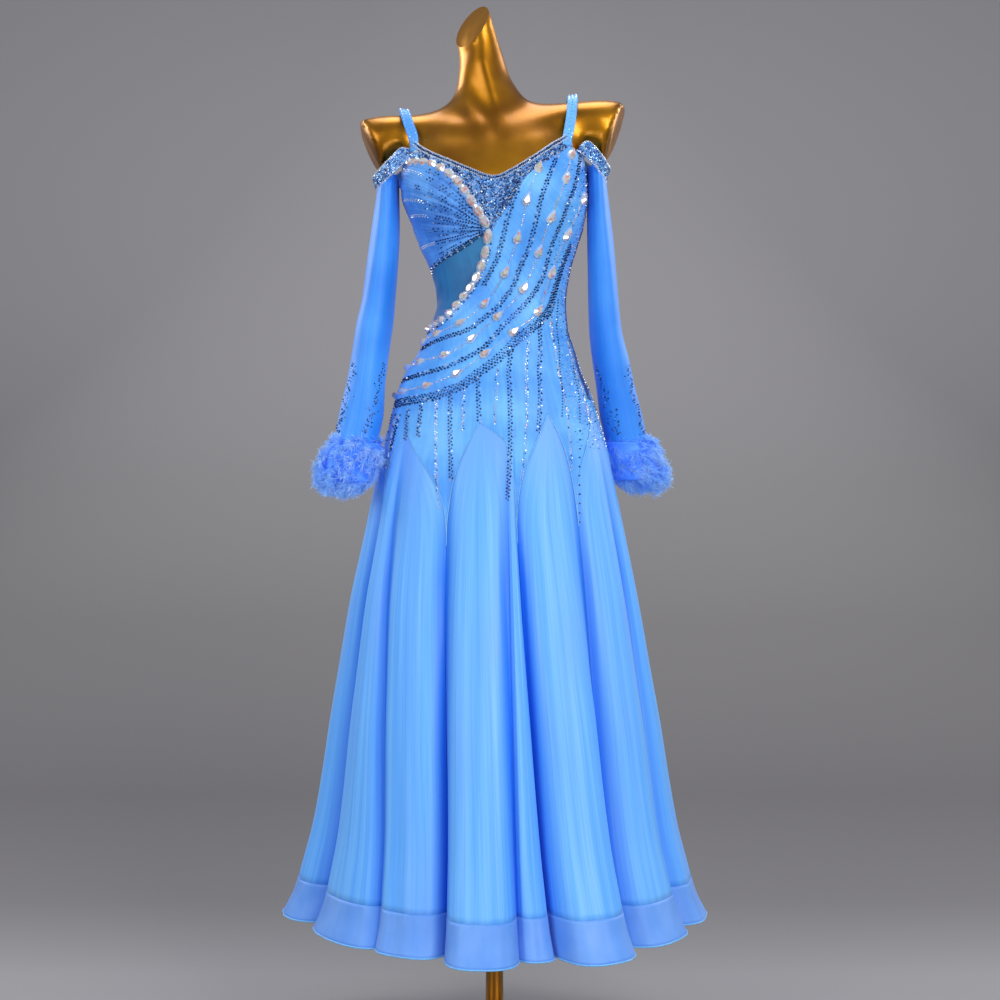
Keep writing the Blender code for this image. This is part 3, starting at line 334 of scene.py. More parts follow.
    def offset(
        self, point_of: Callable[[Array, Array], Array], u: Array, v: Array, step: float, distance: Array
    ) -> Array:
        """Points of a surface moved along the outward normal, which small steps both ways give.

        Args:
            point_of: the surface as a function of u and height.
            u: first coordinate.
            v: height.
            step: small step of u.
            distance: how far outwards.

        Returns:
            The moved points.
        """
        across = point_of(u + step, v) - point_of(u - step, v)
        upwards = point_of(u, v + self.height_step) - point_of(u, v - self.height_step)
        normal = unit(np.cross(across, upwards))
        return point_of(u, v) + normal * np.broadcast_to(distance, np.shape(u))[..., None]

    def body(self, angle: Array, height: Array, distance: Array | float = 0.0) -> Array:
        """Points on the form's part of the gown, moved outwards by a distance."""
        return self.offset(self.body_point, angle, height, self.angle_step, distance)

    def skirt(self, place: Array, height: Array, distance: Array | float = 0.0) -> Array:
        """Points on the skirt, moved outwards by a distance."""
        return self.offset(self.skirt_point, place, height, self.lobe_step, distance)

    def place_at(self, angle: Array, height: Array) -> Array:
        """The place in lobes at an angle and a height, found by stepping towards the angle.

        Args:
            angle: degrees round the body.
            height: metres above the floor.

        Returns:
            Places counted in lobes.
        """
        first, last = self.lobes[0][0], self.lobe_count - 1e-6
        angle = np.mod(np.asarray(angle, float) - first, 360) + first
        table = np.array(self.lobes)
        place = np.interp(angle, table[:, 0], np.arange(len(table)))
        for _ in range(self.search_turns):
            place = np.clip(place, 0, last)
            lobe = np.floor(place)
            width = self.lobe_angle(lobe + 1, height) - self.lobe_angle(lobe, height)
            place = place - self.search_share * (self.turned(place, height) - angle) / width
        return np.clip(place, 0, last)

    def at(self, spots: Array, distance: Array | float = 0.0) -> Array:
        """Points of the whole gown at rows of (angle, height), moved outwards by a distance."""
        angle, height = spots[..., 0], spots[..., 1]
        return self.skirt(self.place_at(angle, height), height, distance)


GOWN = GownShape()


@dataclass(frozen=True)
class Patch:
    """A smooth surface through a coarse grid of points, read at shares across and down it."""

    grid: Array

    def at(self, down: Array, across: Array) -> Array:
        """Points at equal-length lists of shares down the rows and across the columns."""
        rows, columns = self.grid.shape[:2]
        lines = catmull(self.grid, np.asarray(down, float) * (rows - 1))
        turned = np.swapaxes(lines, 0, 1)
        wide = catmull(turned, np.asarray(across, float) * (columns - 1))
        return wide[np.arange(len(down)), np.arange(len(down))]

    def fine(self, rows: int, columns: int) -> Array:
        """The surface on a finer grid."""
        lines = catmull(self.grid, np.linspace(0, self.grid.shape[0] - 1, rows))
        turned = np.swapaxes(lines, 0, 1)
        return np.swapaxes(catmull(turned, np.linspace(0, self.grid.shape[1] - 1, columns)), 0, 1)


# ---- meshes ----------------------------------------------------------------------------------------------


def grid_quads(rows: int, columns: int, around: bool = False) -> Array:
    """Point numbers of the quads of a grid, joined round its columns if around."""
    index = np.arange(rows * columns).reshape(rows, columns)
    if around:
        index = np.concatenate([index, index[:, :1]], axis=1)
    quads = np.stack([index[:-1, :-1], index[:-1, 1:], index[1:, 1:], index[1:, :-1]], axis=-1)
    return quads.reshape(-1, 4)


def closing_quads(rows: int, columns: int) -> Array:
    """Point numbers of the quads that join a tube's last ring to its first."""
    first = np.arange(columns)
    last = first + (rows - 1) * columns
    return np.stack([last, np.roll(last, -1), np.roll(first, -1), first], axis=-1)


def end_caps(rows: int, columns: int) -> list[Array]:
    """A face over each end of a tube: its first ring turned over, and its last ring."""
    ring = np.arange(columns)[None]
    return [ring[:, ::-1], ring + (rows - 1) * columns]


def put_in_scene(obj: Object) -> Object:
    """Links an object to the scene and gives it back."""
    bpy.context.scene.collection.objects.link(obj)
    return obj


def mesh_points(mesh: Mesh) -> Array:
    """The points of a mesh, as rows of (x, y, z)."""
    points = np.empty(len(mesh.vertices) * 3, np.float32)
    mesh.vertices.foreach_get("co", points)
    return points.reshape(-1, 3).astype(float)


def move_points(mesh: Mesh, points: Array) -> None:
    """Moves the points of a mesh to rows of (x, y, z)."""
    mesh.vertices.foreach_set("co", points.astype(np.float32).ravel())


def turn_faces_out(mesh: Mesh) -> None:
    """Turns the faces of a closed mesh outwards."""
    work = bmesh.new()
    work.from_mesh(mesh)
    bmesh.ops.recalc_face_normals(work, faces=work.faces)
    work.to_mesh(mesh)
    work.free()


def add_mesh(
    name: str,
    points: Array,
    faces: Sequence[Array],
    material: Material,
    corner_uv: Array | None = None,
    shades: dict[str, Array] | None = None,
    rounded: bool = True,
) -> Object:
    """Puts points and faces into a new mesh object at the origin.

    Args:
        name: the piece's name.
        points: rows of (x, y, z).
        faces: arrays of faces, each array with its own number of corners.
        material: the finish.
        corner_uv: rows of (u, v), one for each corner of the faces in order.
        shades: named values, one for each point.
        rounded: whether its faces are shaded smooth.

    Returns:
        The object, which rides on the body.
    """
    mesh = bpy.data.meshes.new(name)
    points = np.ascontiguousarray(points, np.float32).reshape(-1, 3)
    corners = np.concatenate([block.reshape(-1) for block in faces]).astype(np.int32)
    sizes = np.concatenate([np.full(len(block), block.shape[1]) for block in faces])
    mesh.vertices.add(len(points))
    mesh.vertices.foreach_set("co", points.ravel())
    mesh.loops.add(len(corners))
    mesh.loops.foreach_set("vertex_index", corners)
    mesh.polygons.add(len(sizes))
    starts = np.concatenate([[0], np.cumsum(sizes)[:-1]]).astype(np.int32)
    mesh.polygons.foreach_set("loop_start", starts)
    mesh.update(calc_edges=True)
    mesh.polygons.foreach_set("use_smooth", np.full(len(sizes), rounded))
    if corner_uv is not None:
        layer = mesh.uv_layers.new(name="UVMap")
        layer.data.foreach_set("uv", np.ascontiguousarray(corner_uv, np.float32).ravel())
    for shade, values in (shades or {}).items():
        attribute = mesh.attributes.new(shade, "FLOAT", "POINT")
        attribute.data.foreach_set("value", np.ascontiguousarray(values, np.float32).ravel())
    mesh.materials.append(material)
    mesh.validate()
    obj = put_in_scene(bpy.data.objects.new(name, mesh))
    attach(obj, BODY)
    return obj


def facing_out(points: Array, quads: Array, core: Array) -> Array:
    """The quads, turned over if they face the core line rather than away from it.

    Args:
        points: rows of (x, y, z).
        quads: point numbers.
        core: (x, y) of the line that the piece goes round, or rows of it, one for each point.

    Returns:
        The quads with their outsides outwards.
    """
    a, b, c, d = (points[quads[:, k]] for k in range(4))
    normal = np.cross(c - a, d - b)
    core = np.broadcast_to(core, (len(points), 2))[quads[:, 0]]
    away = (a + c)[:, :2] / 2 - core
    return quads[:, ::-1] if (normal[:, :2] * away).sum() < 0 else quads


@dataclass
class Cloth:
    """A cloth piece: its outside as a grid of points, given a wall inwards, with a UV map in metres."""

    name: str
    grid: Array
    material: Material
    wall: float = 0.0009
    around: bool = False
    core: Array = field(default_factory=lambda: np.zeros(2))
    shades: dict[str, Array] = field(default_factory=dict)
    width_row: int | None = None

    @property
    def ring(self) -> Array:
        """The grid, with its first column again at the end if it goes round."""
        return np.concatenate([self.grid, self.grid[:, :1]], axis=1) if self.around else self.grid

    def spread(self) -> tuple[Array, Array]:
        """Distances across its widest or named row and down the longest column, in metres.

        Returns:
            The running distances at each column and at each row.
        """
        across = np.linalg.norm(np.diff(self.ring, axis=1), axis=-1)
        down = np.linalg.norm(np.diff(self.grid, axis=0), axis=-1)
        widest = across[np.argmax(across.sum(axis=1)) if self.width_row is None else self.width_row]
        longest = down[:, np.argmax(down.sum(axis=0))]
        return np.concatenate([[0], np.cumsum(widest)]), np.concatenate([[0], np.cumsum(longest)])

    def corner_uv(self, flipped: bool) -> Array:
        """Corner coordinates: u is the distance across the widest row, v down the longest column.

        Args:
            flipped: whether the quads are turned over from the grid's order.

        Returns:
            Rows of (u, v), one for each corner.
        """
        u, v = self.spread()
        uv = np.stack(np.meshgrid(u, v), axis=-1)
        cells = grid_quads(len(v), len(u))
        return uv.reshape(-1, 2)[cells[:, ::-1] if flipped else cells]

    def build(self) -> Object:
        """Makes the mesh and gives it its wall.

        Returns:
            The cloth's object.
        """
        rows, columns = self.grid.shape[:2]
        quads = grid_quads(rows, columns, self.around)
        points = self.grid.reshape(-1, 3)
        core = self.core
        if core.ndim == 2:
            core = np.repeat(core, columns, axis=0)
        turned = facing_out(points, quads, core)
        uv = self.corner_uv(flipped=bool((turned[0] != quads[0]).any()))
        obj = add_mesh(self.name, points, [turned], self.material, uv, self.shades)
        solid = obj.modifiers.new("wall", "SOLIDIFY")
        solid.thickness = self.wall
        solid.offset = -1
        solid.use_rim = True
        return obj

    def declare(self, obj: Object) -> None:
        """States the flat cut: its largest width and length, and the area of its quads by their diagonals.

        Args:
            obj: the piece.
        """
        u, v = self.spread()
        width, length = float(u[-1]), float(v[-1])
        ring = self.ring
        a, b = ring[1:, 1:] - ring[:-1, :-1], ring[1:, :-1] - ring[:-1, 1:]
        area = float(np.linalg.norm(np.cross(a, b), axis=-1).sum() / 2)
        area = min(max(area, LEAST_AREA_SHARE * width * length), width * length)
        LOG.info("%s is cut %.0f x %.0f mm, %.4f m2", obj.name, width * 1000, length * 1000, area)


def add_tubes(
    name: str, paths: Sequence[Array], radius: float, material: Material, sides: int = 6
) -> Object:
    """Round cords joined into one mesh: a ring across each path point, closed at both ends.

    Args:
        name: the piece's name.
        paths: point rows of each cord's middle line.
        radius: the cords' radius.
        material: the finish.
        sides: corners of a ring.

    Returns:
        The object.
    """
    points, quads, caps, first = [], [], [], 0
    turn = np.linspace(0, 2 * math.pi, sides, endpoint=False)
    for path in paths:
        tangent = unit(np.gradient(path, axis=0))
        side = unit(np.cross(tangent, NEARLY_UP))
        up = np.cross(side, tangent)
        ring = np.cos(turn)[None, :, None] * side[:, None] + np.sin(turn)[None, :, None] * up[:, None]
        points.append((path[:, None] + radius * ring).reshape(-1, 3))
        quads.append(grid_quads(len(path), sides, around=True)[:, ::-1] + first)
        caps += [cap[:, ::-1] + first for cap in end_caps(len(path), sides)]
        first += len(path) * sides
    return add_mesh(name, np.concatenate(points), [np.concatenate(quads), np.concatenate(caps)], material)


# ---- shader nodes ----------------------------------------------------------------------------------------


class Num:
    """A socket that holds a number. Python's operators on it add Math nodes."""

    def __init__(self, graph: "Graph", socket: Socket) -> None:
        """Wraps a socket of a graph."""
        self.graph = graph
        self.socket = socket

    def math(self, operation: str, *values: "Num | float") -> "Num":
        """The result of a Math node on this number and others."""
        node = self.graph.add("ShaderNodeMath", {"operation": operation}, dict(enumerate((self, *values))))
        return Num(self.graph, node.outputs[0])

    def __add__(self, other: "Num | float") -> "Num":
        """Sum."""
        return self.math("ADD", other)

    def __mul__(self, other: "Num | float") -> "Num":
        """Product."""
        return self.math("MULTIPLY", other)

    def __sub__(self, other: "Num | float") -> "Num":
        """Difference."""
        return self.math("SUBTRACT", other)

    def __rsub__(self, other: float) -> "Num":
        """Difference from a plain number."""
        return self.math("MULTIPLY", -1.0).math("ADD", other)

    def __truediv__(self, other: "Num | float") -> "Num":
        """Quotient."""
        return self.math("DIVIDE", other)

    def inside(self, low: float, high: float) -> "Num":
        """Rises smoothly from 0 at low to 1 at high."""
        values = {"Value": self, "From Min": low, "From Max": high}
        return self.graph.number("ShaderNodeMapRange", {"interpolation_type": "SMOOTHSTEP"}, values)


def screen_colour(red: int, green: int, blue: int) -> Colour:
    """A colour named by its screen values from 0 to 255, as the light it stands for."""
    shares = [value / 255 for value in (red, green, blue)]
    lit = [share / 12.92 if share <= 0.04045 else ((share + 0.055) / 1.055) ** 2.4 for share in shares]
    return (lit[0], lit[1], lit[2])


class Graph:
    """The node tree of one material."""

    def __init__(self, name: str) -> None:
        """Starts a material with an empty tree."""
        self.material = bpy.data.materials.new(name)
        self.material.use_nodes = True
        self.tree = self.material.node_tree
        self.tree.nodes.clear()

    def add(self, kind: str, settings: dict, values: dict) -> bpy.types.Node:
        """Adds a node, sets its settings, then its sockets.

        Args:
            kind: the node's type.
            settings: its own settings; "stops" gives a ramp's places and colours.
            values: socket names or numbers, with what goes in.

        Returns:
            The node.
        """
        node = self.tree.nodes.new(kind)
        for key, value in settings.items():
            if key != "stops":
                setattr(node, key, value)
                continue
            while len(node.color_ramp.elements) < len(value):
                node.color_ramp.elements.new(0.5)
            for element, (place, colour) in zip(node.color_ramp.elements, value):
                element.position = place
                element.color = (*colour, 1)
        for key, value in values.items():
            socket = node.inputs[key]
            if isinstance(value, Num):
                value = value.socket
            if isinstance(value, Socket):
                self.tree.links.new(value, socket)
            elif socket.type == "RGBA":
                socket.default_value = (*value, 1)
            else:
                socket.default_value = value
        return node

    def number(self, kind: str, settings: dict, values: dict, output: int | str = 0) -> Num:
        """Adds a node and wraps one of its outputs as a number."""
        return Num(self, self.add(kind, settings, values).outputs[output])

    def place(self, scale: Row = (1, 1, 1), on_cloth: bool = False) -> Socket:
        """Coordinates in the object's space, or along the cloth, stretched by a scale."""
        source = self.add("ShaderNodeTexCoord", {}, {}).outputs["UV" if on_cloth else "Object"]
        return self.add("ShaderNodeMapping", {}, {"Vector": source, "Scale": scale}).outputs[0]

    def noise(self, place: Socket, scale: float, detail: float = 2.0) -> Num:
        """Soft noise about 0.5 at a place."""
        return self.number("ShaderNodeTexNoise", {}, {"Vector": place, "Scale": scale, "Detail": detail})

    def shade(self, name: str) -> Num:
        """A value kept with the piece's points."""
        return self.number("ShaderNodeAttribute", {"attribute_name": name}, {}, "Fac")

    def mix(self, factor: Num | float, low: Colour | Socket, high: Colour | Socket) -> Socket:
        """A colour between two, low at factor 0 and high at factor 1."""
        node = self.add("ShaderNodeMix", {"data_type": "RGBA"}, {0: factor, 6: low, 7: high})
        return node.outputs[2]

    def relief(self, height: Num, strength: float, distance: float) -> Socket:
        """A normal bent by a height."""
        values = {"Height": height, "Strength": strength, "Distance": distance}
        return self.add("ShaderNodeBump", {}, values).outputs[0]

    def finish(self, **sockets: object) -> Material:
        """Ends the tree in a Principled shader, with socket names written with underscores."""
        values = {key.replace("_", " "): value for key, value in sockets.items()}
        shader = self.add("ShaderNodeBsdfPrincipled", {}, values)
        output = self.add("ShaderNodeOutputMaterial", {}, {})
        self.tree.links.new(shader.outputs[0], output.inputs[0])
        return self.material


# ---- finishes --------------------------------------------------------------------------------------------


@dataclass(frozen=True)
class GoldLacquer:
    """Satin gold lacquer over a smooth moulded form, a little uneven as sprayed paint is."""

    name: str = "gold_lacquer_satin"
    deep: Colour = screen_colour(150, 94, 10)
    bright: Colour = screen_colour(196, 134, 24)
    roughness: float = 0.32
    coat: float = 0.25

    def material(self) -> Material:
        """Builds the material."""
        graph = Graph(self.name)
        cloud = graph.noise(graph.place(), 9.0, 3.0)
        grain = graph.noise(graph.place(), 900.0, 1.0)
        colour = graph.mix(cloud.inside(0.3, 0.7), self.deep, self.bright)
        return graph.finish(
            Base_Color=colour,
            Metallic=1.0,
            Roughness=cloud * 0.08 + self.roughness,
            Coat_Weight=self.coat,
            Coat_Roughness=0.16,
            Normal=graph.relief(grain, 0.05, 0.0004),
        )


@dataclass(frozen=True)
class StretchCloth:
    """A stretch satin or crepe: fine knit ribs, a soft sheen and slow changes of depth."""

    name: str
    deep: Colour
    light: Colour
    roughness: float = 0.45
    sheen: float = 0.25
    rib_pitch: float = 0.0011
    cloud_scale: float = 14.0

    def material(self) -> Material:
        """Builds the material: ribs across and along the cloth, colour by slow noise."""
        graph = Graph(self.name)
        cloth = graph.place(on_cloth=True)
        # A wave texture repeats every 0.314 / scale metres.
        wave = {"Vector": cloth, "Scale": 0.314 / self.rib_pitch, "Distortion": 0.6, "Detail": 1.0}
        ribs, cross = (
            graph.number("ShaderNodeTexWave", {"wave_type": "BANDS", "bands_direction": axis}, wave, "Fac")
            for axis in "XY"
        )
        cloud = graph.noise(graph.place(), self.cloud_scale, 3.0)
        streak = graph.noise(graph.place((160, 5, 1), on_cloth=True), 1.0, 2.0)
        tone = (cloud * 0.75 + streak * 0.25).inside(0.32, 0.68)
        return graph.finish(
            Base_Color=graph.mix(tone, self.deep, self.light),
            Roughness=streak * 0.12 + self.roughness,
            Sheen_Weight=self.sheen,
            Sheen_Roughness=0.4,
            Sheen_Tint=(0.7, 0.85, 1.0),
            Normal=graph.relief(ribs * 0.5 + cross * 0.5, 0.16, 0.0004),
        )


@dataclass(frozen=True)
class Organza:
    """Crisp sheer organza in several layers, with painted light: pale streaks of painted highlight, and painted
    shade that deepens the colour down into each fold.
    """

    name: str = "organza_layers"
    # Colour of the painted shade deep in the folds.
    fold_shade_colour: Colour = screen_colour(26, 116, 236)
    middle: Colour = screen_colour(74, 158, 250)
    # Colour of the painted highlight streaks.
    streak_highlight: Colour = screen_colour(124, 192, 255)
    lilac: Colour = screen_colour(112, 162, 250)

    def material(self) -> Material:
        """Builds the material: painted shade by fold depth, and long streaks and threads down the cloth that
        paint highlights and shadow.
        """
        graph = Graph(self.name)
        fold, fan = graph.shade("fold"), graph.shade("fan")
        long_streak = graph.noise(graph.place((60, 1.0, 1), on_cloth=True), 1.0, 3.0)
        thread = graph.noise(graph.place((420, 5, 1), on_cloth=True), 1.0, 2.0)
        cloud = graph.noise(graph.place((7, 2.2, 1), on_cloth=True), 1.0, 2.0)
        # Long streaks and threads, weaker near the apex: painted highlight streaks.
        streak = (long_streak * 0.6 + thread * 0.4 - 0.51) * (fan * 0.75 + 0.25) + 0.51
        light = streak.inside(0.24, 0.80)
        pale = graph.mix(light, self.middle, self.streak_highlight)
        pale = graph.mix((cloud.inside(0.45, 0.75) * 0.5) + (1.0 - fan) * 0.4, pale, self.lilac)
        # Painted shade: darker down into each fold and along the low long streaks.
        depth = fold * 0.95 + (0.5 - long_streak) * fan * 0.16
        colour = graph.mix(depth.inside(0.10, 1.0), pale, self.fold_shade_colour)
        weave = graph.noise(graph.place((1500, 1500, 1), on_cloth=True), 1.0, 1.0)
        return graph.finish(
            Base_Color=colour,
            Roughness=0.5 - light * 0.14,
            Sheen_Weight=0.18,
            Sheen_Roughness=0.35,
            Sheen_Tint=(0.75, 0.88, 1.0),
            Specular_IOR_Level=0.35,
            Normal=graph.relief(long_streak * 0.5 + thread * 0.35 + weave * 0.15, 0.20, 0.0010),
        )


@dataclass(frozen=True)
class Crin:
    """Stiffened hem: organza doubled over open horsehair braid, more sheer than the skirt."""

    name: str = "hem_crin_sheer"
    # Colour of the painted shade in the band's folds.
    band_fold_shade_colour: Colour = screen_colour(66, 142, 246)
    deep: Colour = screen_colour(84, 150, 240)
    light: Colour = screen_colour(116, 172, 251)
    cover: float = 0.86

    def material(self) -> Material:
        """Builds the material: a fine diagonal net lets a little through, and painted shade deepens the colour
        into the band's folds.
        """
        graph = Graph(self.name)
        net = graph.noise(graph.place((900, 900, 1), on_cloth=True), 1.0, 1.0)
        cloud = graph.noise(graph.place((16, 10, 1), on_cloth=True), 1.0, 3.0)
        fold = graph.shade("fold")
        tone = (cloud * 0.7 + net * 0.3).inside(0.34, 0.66)
        # Painted shade: the colour deepens down into each fold of the band.
        colour = graph.mix(fold.inside(0.2, 1.0) * 0.7, graph.mix(tone, self.deep, self.light), self.band_fold_shade_colour)
        return graph.finish(
            Base_Color=colour,
            Roughness=0.5,
            Sheen_Weight=0.2,
            Alpha=net * 0.10 + (self.cover - 0.05),
            Normal=graph.relief(net, 0.12, 0.0003),
        )


@dataclass(frozen=True)
class PlainThread:
    """A cord, piping or rolled edge."""

    name: str
    colour: Colour
    roughness: float = 0.4

    def material(self) -> Material:
        """Builds the material: fine twist in the colour and relief."""
        graph = Graph(self.name)
        twist = graph.noise(graph.place(), 700.0, 1.0)
        dark = tuple(value * 0.72 for value in self.colour)
        return graph.finish(
            Base_Color=graph.mix(twist.inside(0.3, 0.7), dark, self.colour),
            Roughness=self.roughness,
            Sheen_Weight=0.2,
            Normal=graph.relief(twist, 0.2, 0.0003),
        )


class Tone(Enum):
    """Colours of the stones, as places on the stones' colour ramp."""

    NAVY = 0.08
    STEEL = 0.30
    SKY = 0.50
    SILVER = 0.70
    AURORA = 0.90


@dataclass(frozen=True)
class CutGlass:
    """Foiled cut-glass stones: every stone keeps its tone, and aurora ones shift from pink to green."""

    name: str = "cut_glass_stones"
    navy: Colour = (0.012, 0.030, 0.15)
    steel: Colour = (0.07, 0.18, 0.46)
    sky: Colour = (0.26, 0.54, 0.92)
    silver: Colour = (0.76, 0.80, 0.88)
    pink: Colour = (0.95, 0.40, 0.30)
    green: Colour = (0.62, 0.68, 0.36)
    roughness: float = 0.07
    metallic: float = 0.50

    def material(self) -> Material:
        """Builds the material: a ramp of tones, and for aurora stones a shift by their place."""
        graph = Graph(self.name)
        tone = graph.shade("tone")
        stops = [
            (0.0, self.navy), (0.18, self.navy), (0.30, self.steel), (0.50, self.sky), (0.68, self.silver),
        ]
        ramp = graph.add("ShaderNodeValToRGB", {"stops": stops}, {"Fac": tone}).outputs[0]
        shift = graph.noise(graph.place(), 210.0, 1.0)
        aurora = graph.mix(shift.inside(0.34, 0.46), self.green, self.silver)
        aurora = graph.mix(shift.inside(0.50, 0.64), aurora, self.pink)
        colour = graph.mix(tone.inside(0.78, 0.82), ramp, aurora)
        return graph.finish(
            Base_Color=colour,
            Metallic=self.metallic,
            Roughness=self.roughness,
            Coat_Weight=0.6,
            Coat_Roughness=0.04,
        )


@dataclass(frozen=True)
class Marabou:
    """Soft down, deep near the quill and pale, a little violet, at the tips: the deep roots are painted shade
    inside the down, and a faint painted glow lightens it all.
    """

    name: str = "marabou_down"
    # Root colour: the painted shade deep inside the down.
    root: Colour = screen_colour(66, 134, 252)
    middle: Colour = screen_colour(128, 188, 255)
    tip: Colour = screen_colour(190, 218, 255)
    # Strength of the painted glow, which gives the down light of its own colour.
    painted_glow: float = 0.13

    def material(self) -> Material:
        """Builds the material: painted shade by how far out along the barb, and a painted glow."""
        graph = Graph(self.name)
        out = graph.shade("out")
        patch = graph.noise(graph.place(), 45.0, 2.0)
        reach = out + (patch - 0.5) * 0.7
        colour = graph.mix(reach.inside(0.05, 0.50), self.root, self.middle)
        colour = graph.mix(reach.inside(0.50, 1.05), colour, self.tip)
        return graph.finish(
            Base_Color=colour,
            Roughness=0.8,
            Sheen_Weight=0.15,
            Sheen_Roughness=0.5,
            Sheen_Tint=(0.6, 0.75, 1.0),
            # Painted glow: the down gives off light of its own colour.
            Emission_Color=colour,
            Emission_Strength=self.painted_glow,
        )


class Finishes:
    """Every finish of the part, made once."""

    def __init__(self) -> None:
        """Builds the materials in order."""
        self.gold = GoldLacquer().material()
        self.brass = GoldLacquer(
            "stand_brass_lacquer", screen_colour(152, 112, 46), screen_colour(192, 150, 70), 0.30, 0.3
        ).material()
        self.wrap = StretchCloth(
            "stretch_satin_sky", screen_colour(62, 146, 238), screen_colour(106, 184, 252)
        ).material()
        self.cup = StretchCloth(
            "stretch_satin_cup", screen_colour(52, 118, 210), screen_colour(92, 166, 246)
        ).material()
        self.inset = StretchCloth(
            "inset_teal_satin",
            screen_colour(24, 94, 150),
            screen_colour(42, 122, 176),
            roughness=0.5,
            sheen=0.12,
        ).material()
        self.yoke = StretchCloth(
            "stoned_band_ground", screen_colour(62, 122, 196), screen_colour(98, 158, 224), roughness=0.5
        ).material()
        self.sleeve = StretchCloth(
            "sleeve_satin_glossy",
            screen_colour(30, 128, 238),
            screen_colour(64, 156, 251),
            roughness=0.46,
            cloud_scale=7.0,
        ).material()
        self.organza = Organza().material()
        self.crin = Crin().material()
        self.rolled_edge = PlainThread("rolled_edge_pale", screen_colour(112, 190, 252)).material()
        self.piping = PlainThread("seam_piping_sky", screen_colour(120, 194, 252)).material()
        self.dark_piping = PlainThread("seam_piping_navy", screen_colour(30, 62, 140)).material()
        self.stones = CutGlass().material()
        self.down = Marabou().material()


def stands_for(obj: Object, slot: str, *nodes: str) -> None:
    """Hides the plain nodes that a piece replaces and logs them."""
    if nodes:
        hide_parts(*nodes)
    LOG.info("%s stands for %s", obj.name, ", ".join(nodes) or "trim")


# ---- the dress form --------------------------------------------------------------------------------------


@dataclass(frozen=True)
class Swell:
    """A soft rise, or a dip if negative, on the front of the form's chest."""

    x: float
    z: float
    wide: float
    tall: float
    rise: float
    tilt: float = 0.0

    def lift(self, points: Array) -> Array:
        """How far each point moves: a bell over its distance from the middle, along a tilted axis."""
        across, up = points[:, 0] - self.x, points[:, 2] - self.z
        along_axis = across * math.cos(self.tilt) + up * math.sin(self.tilt)
        over_axis = up * math.cos(self.tilt) - across * math.sin(self.tilt)
        return self.rise * np.exp(-((along_axis / self.wide) ** 2) - (over_axis / self.tall) ** 2)


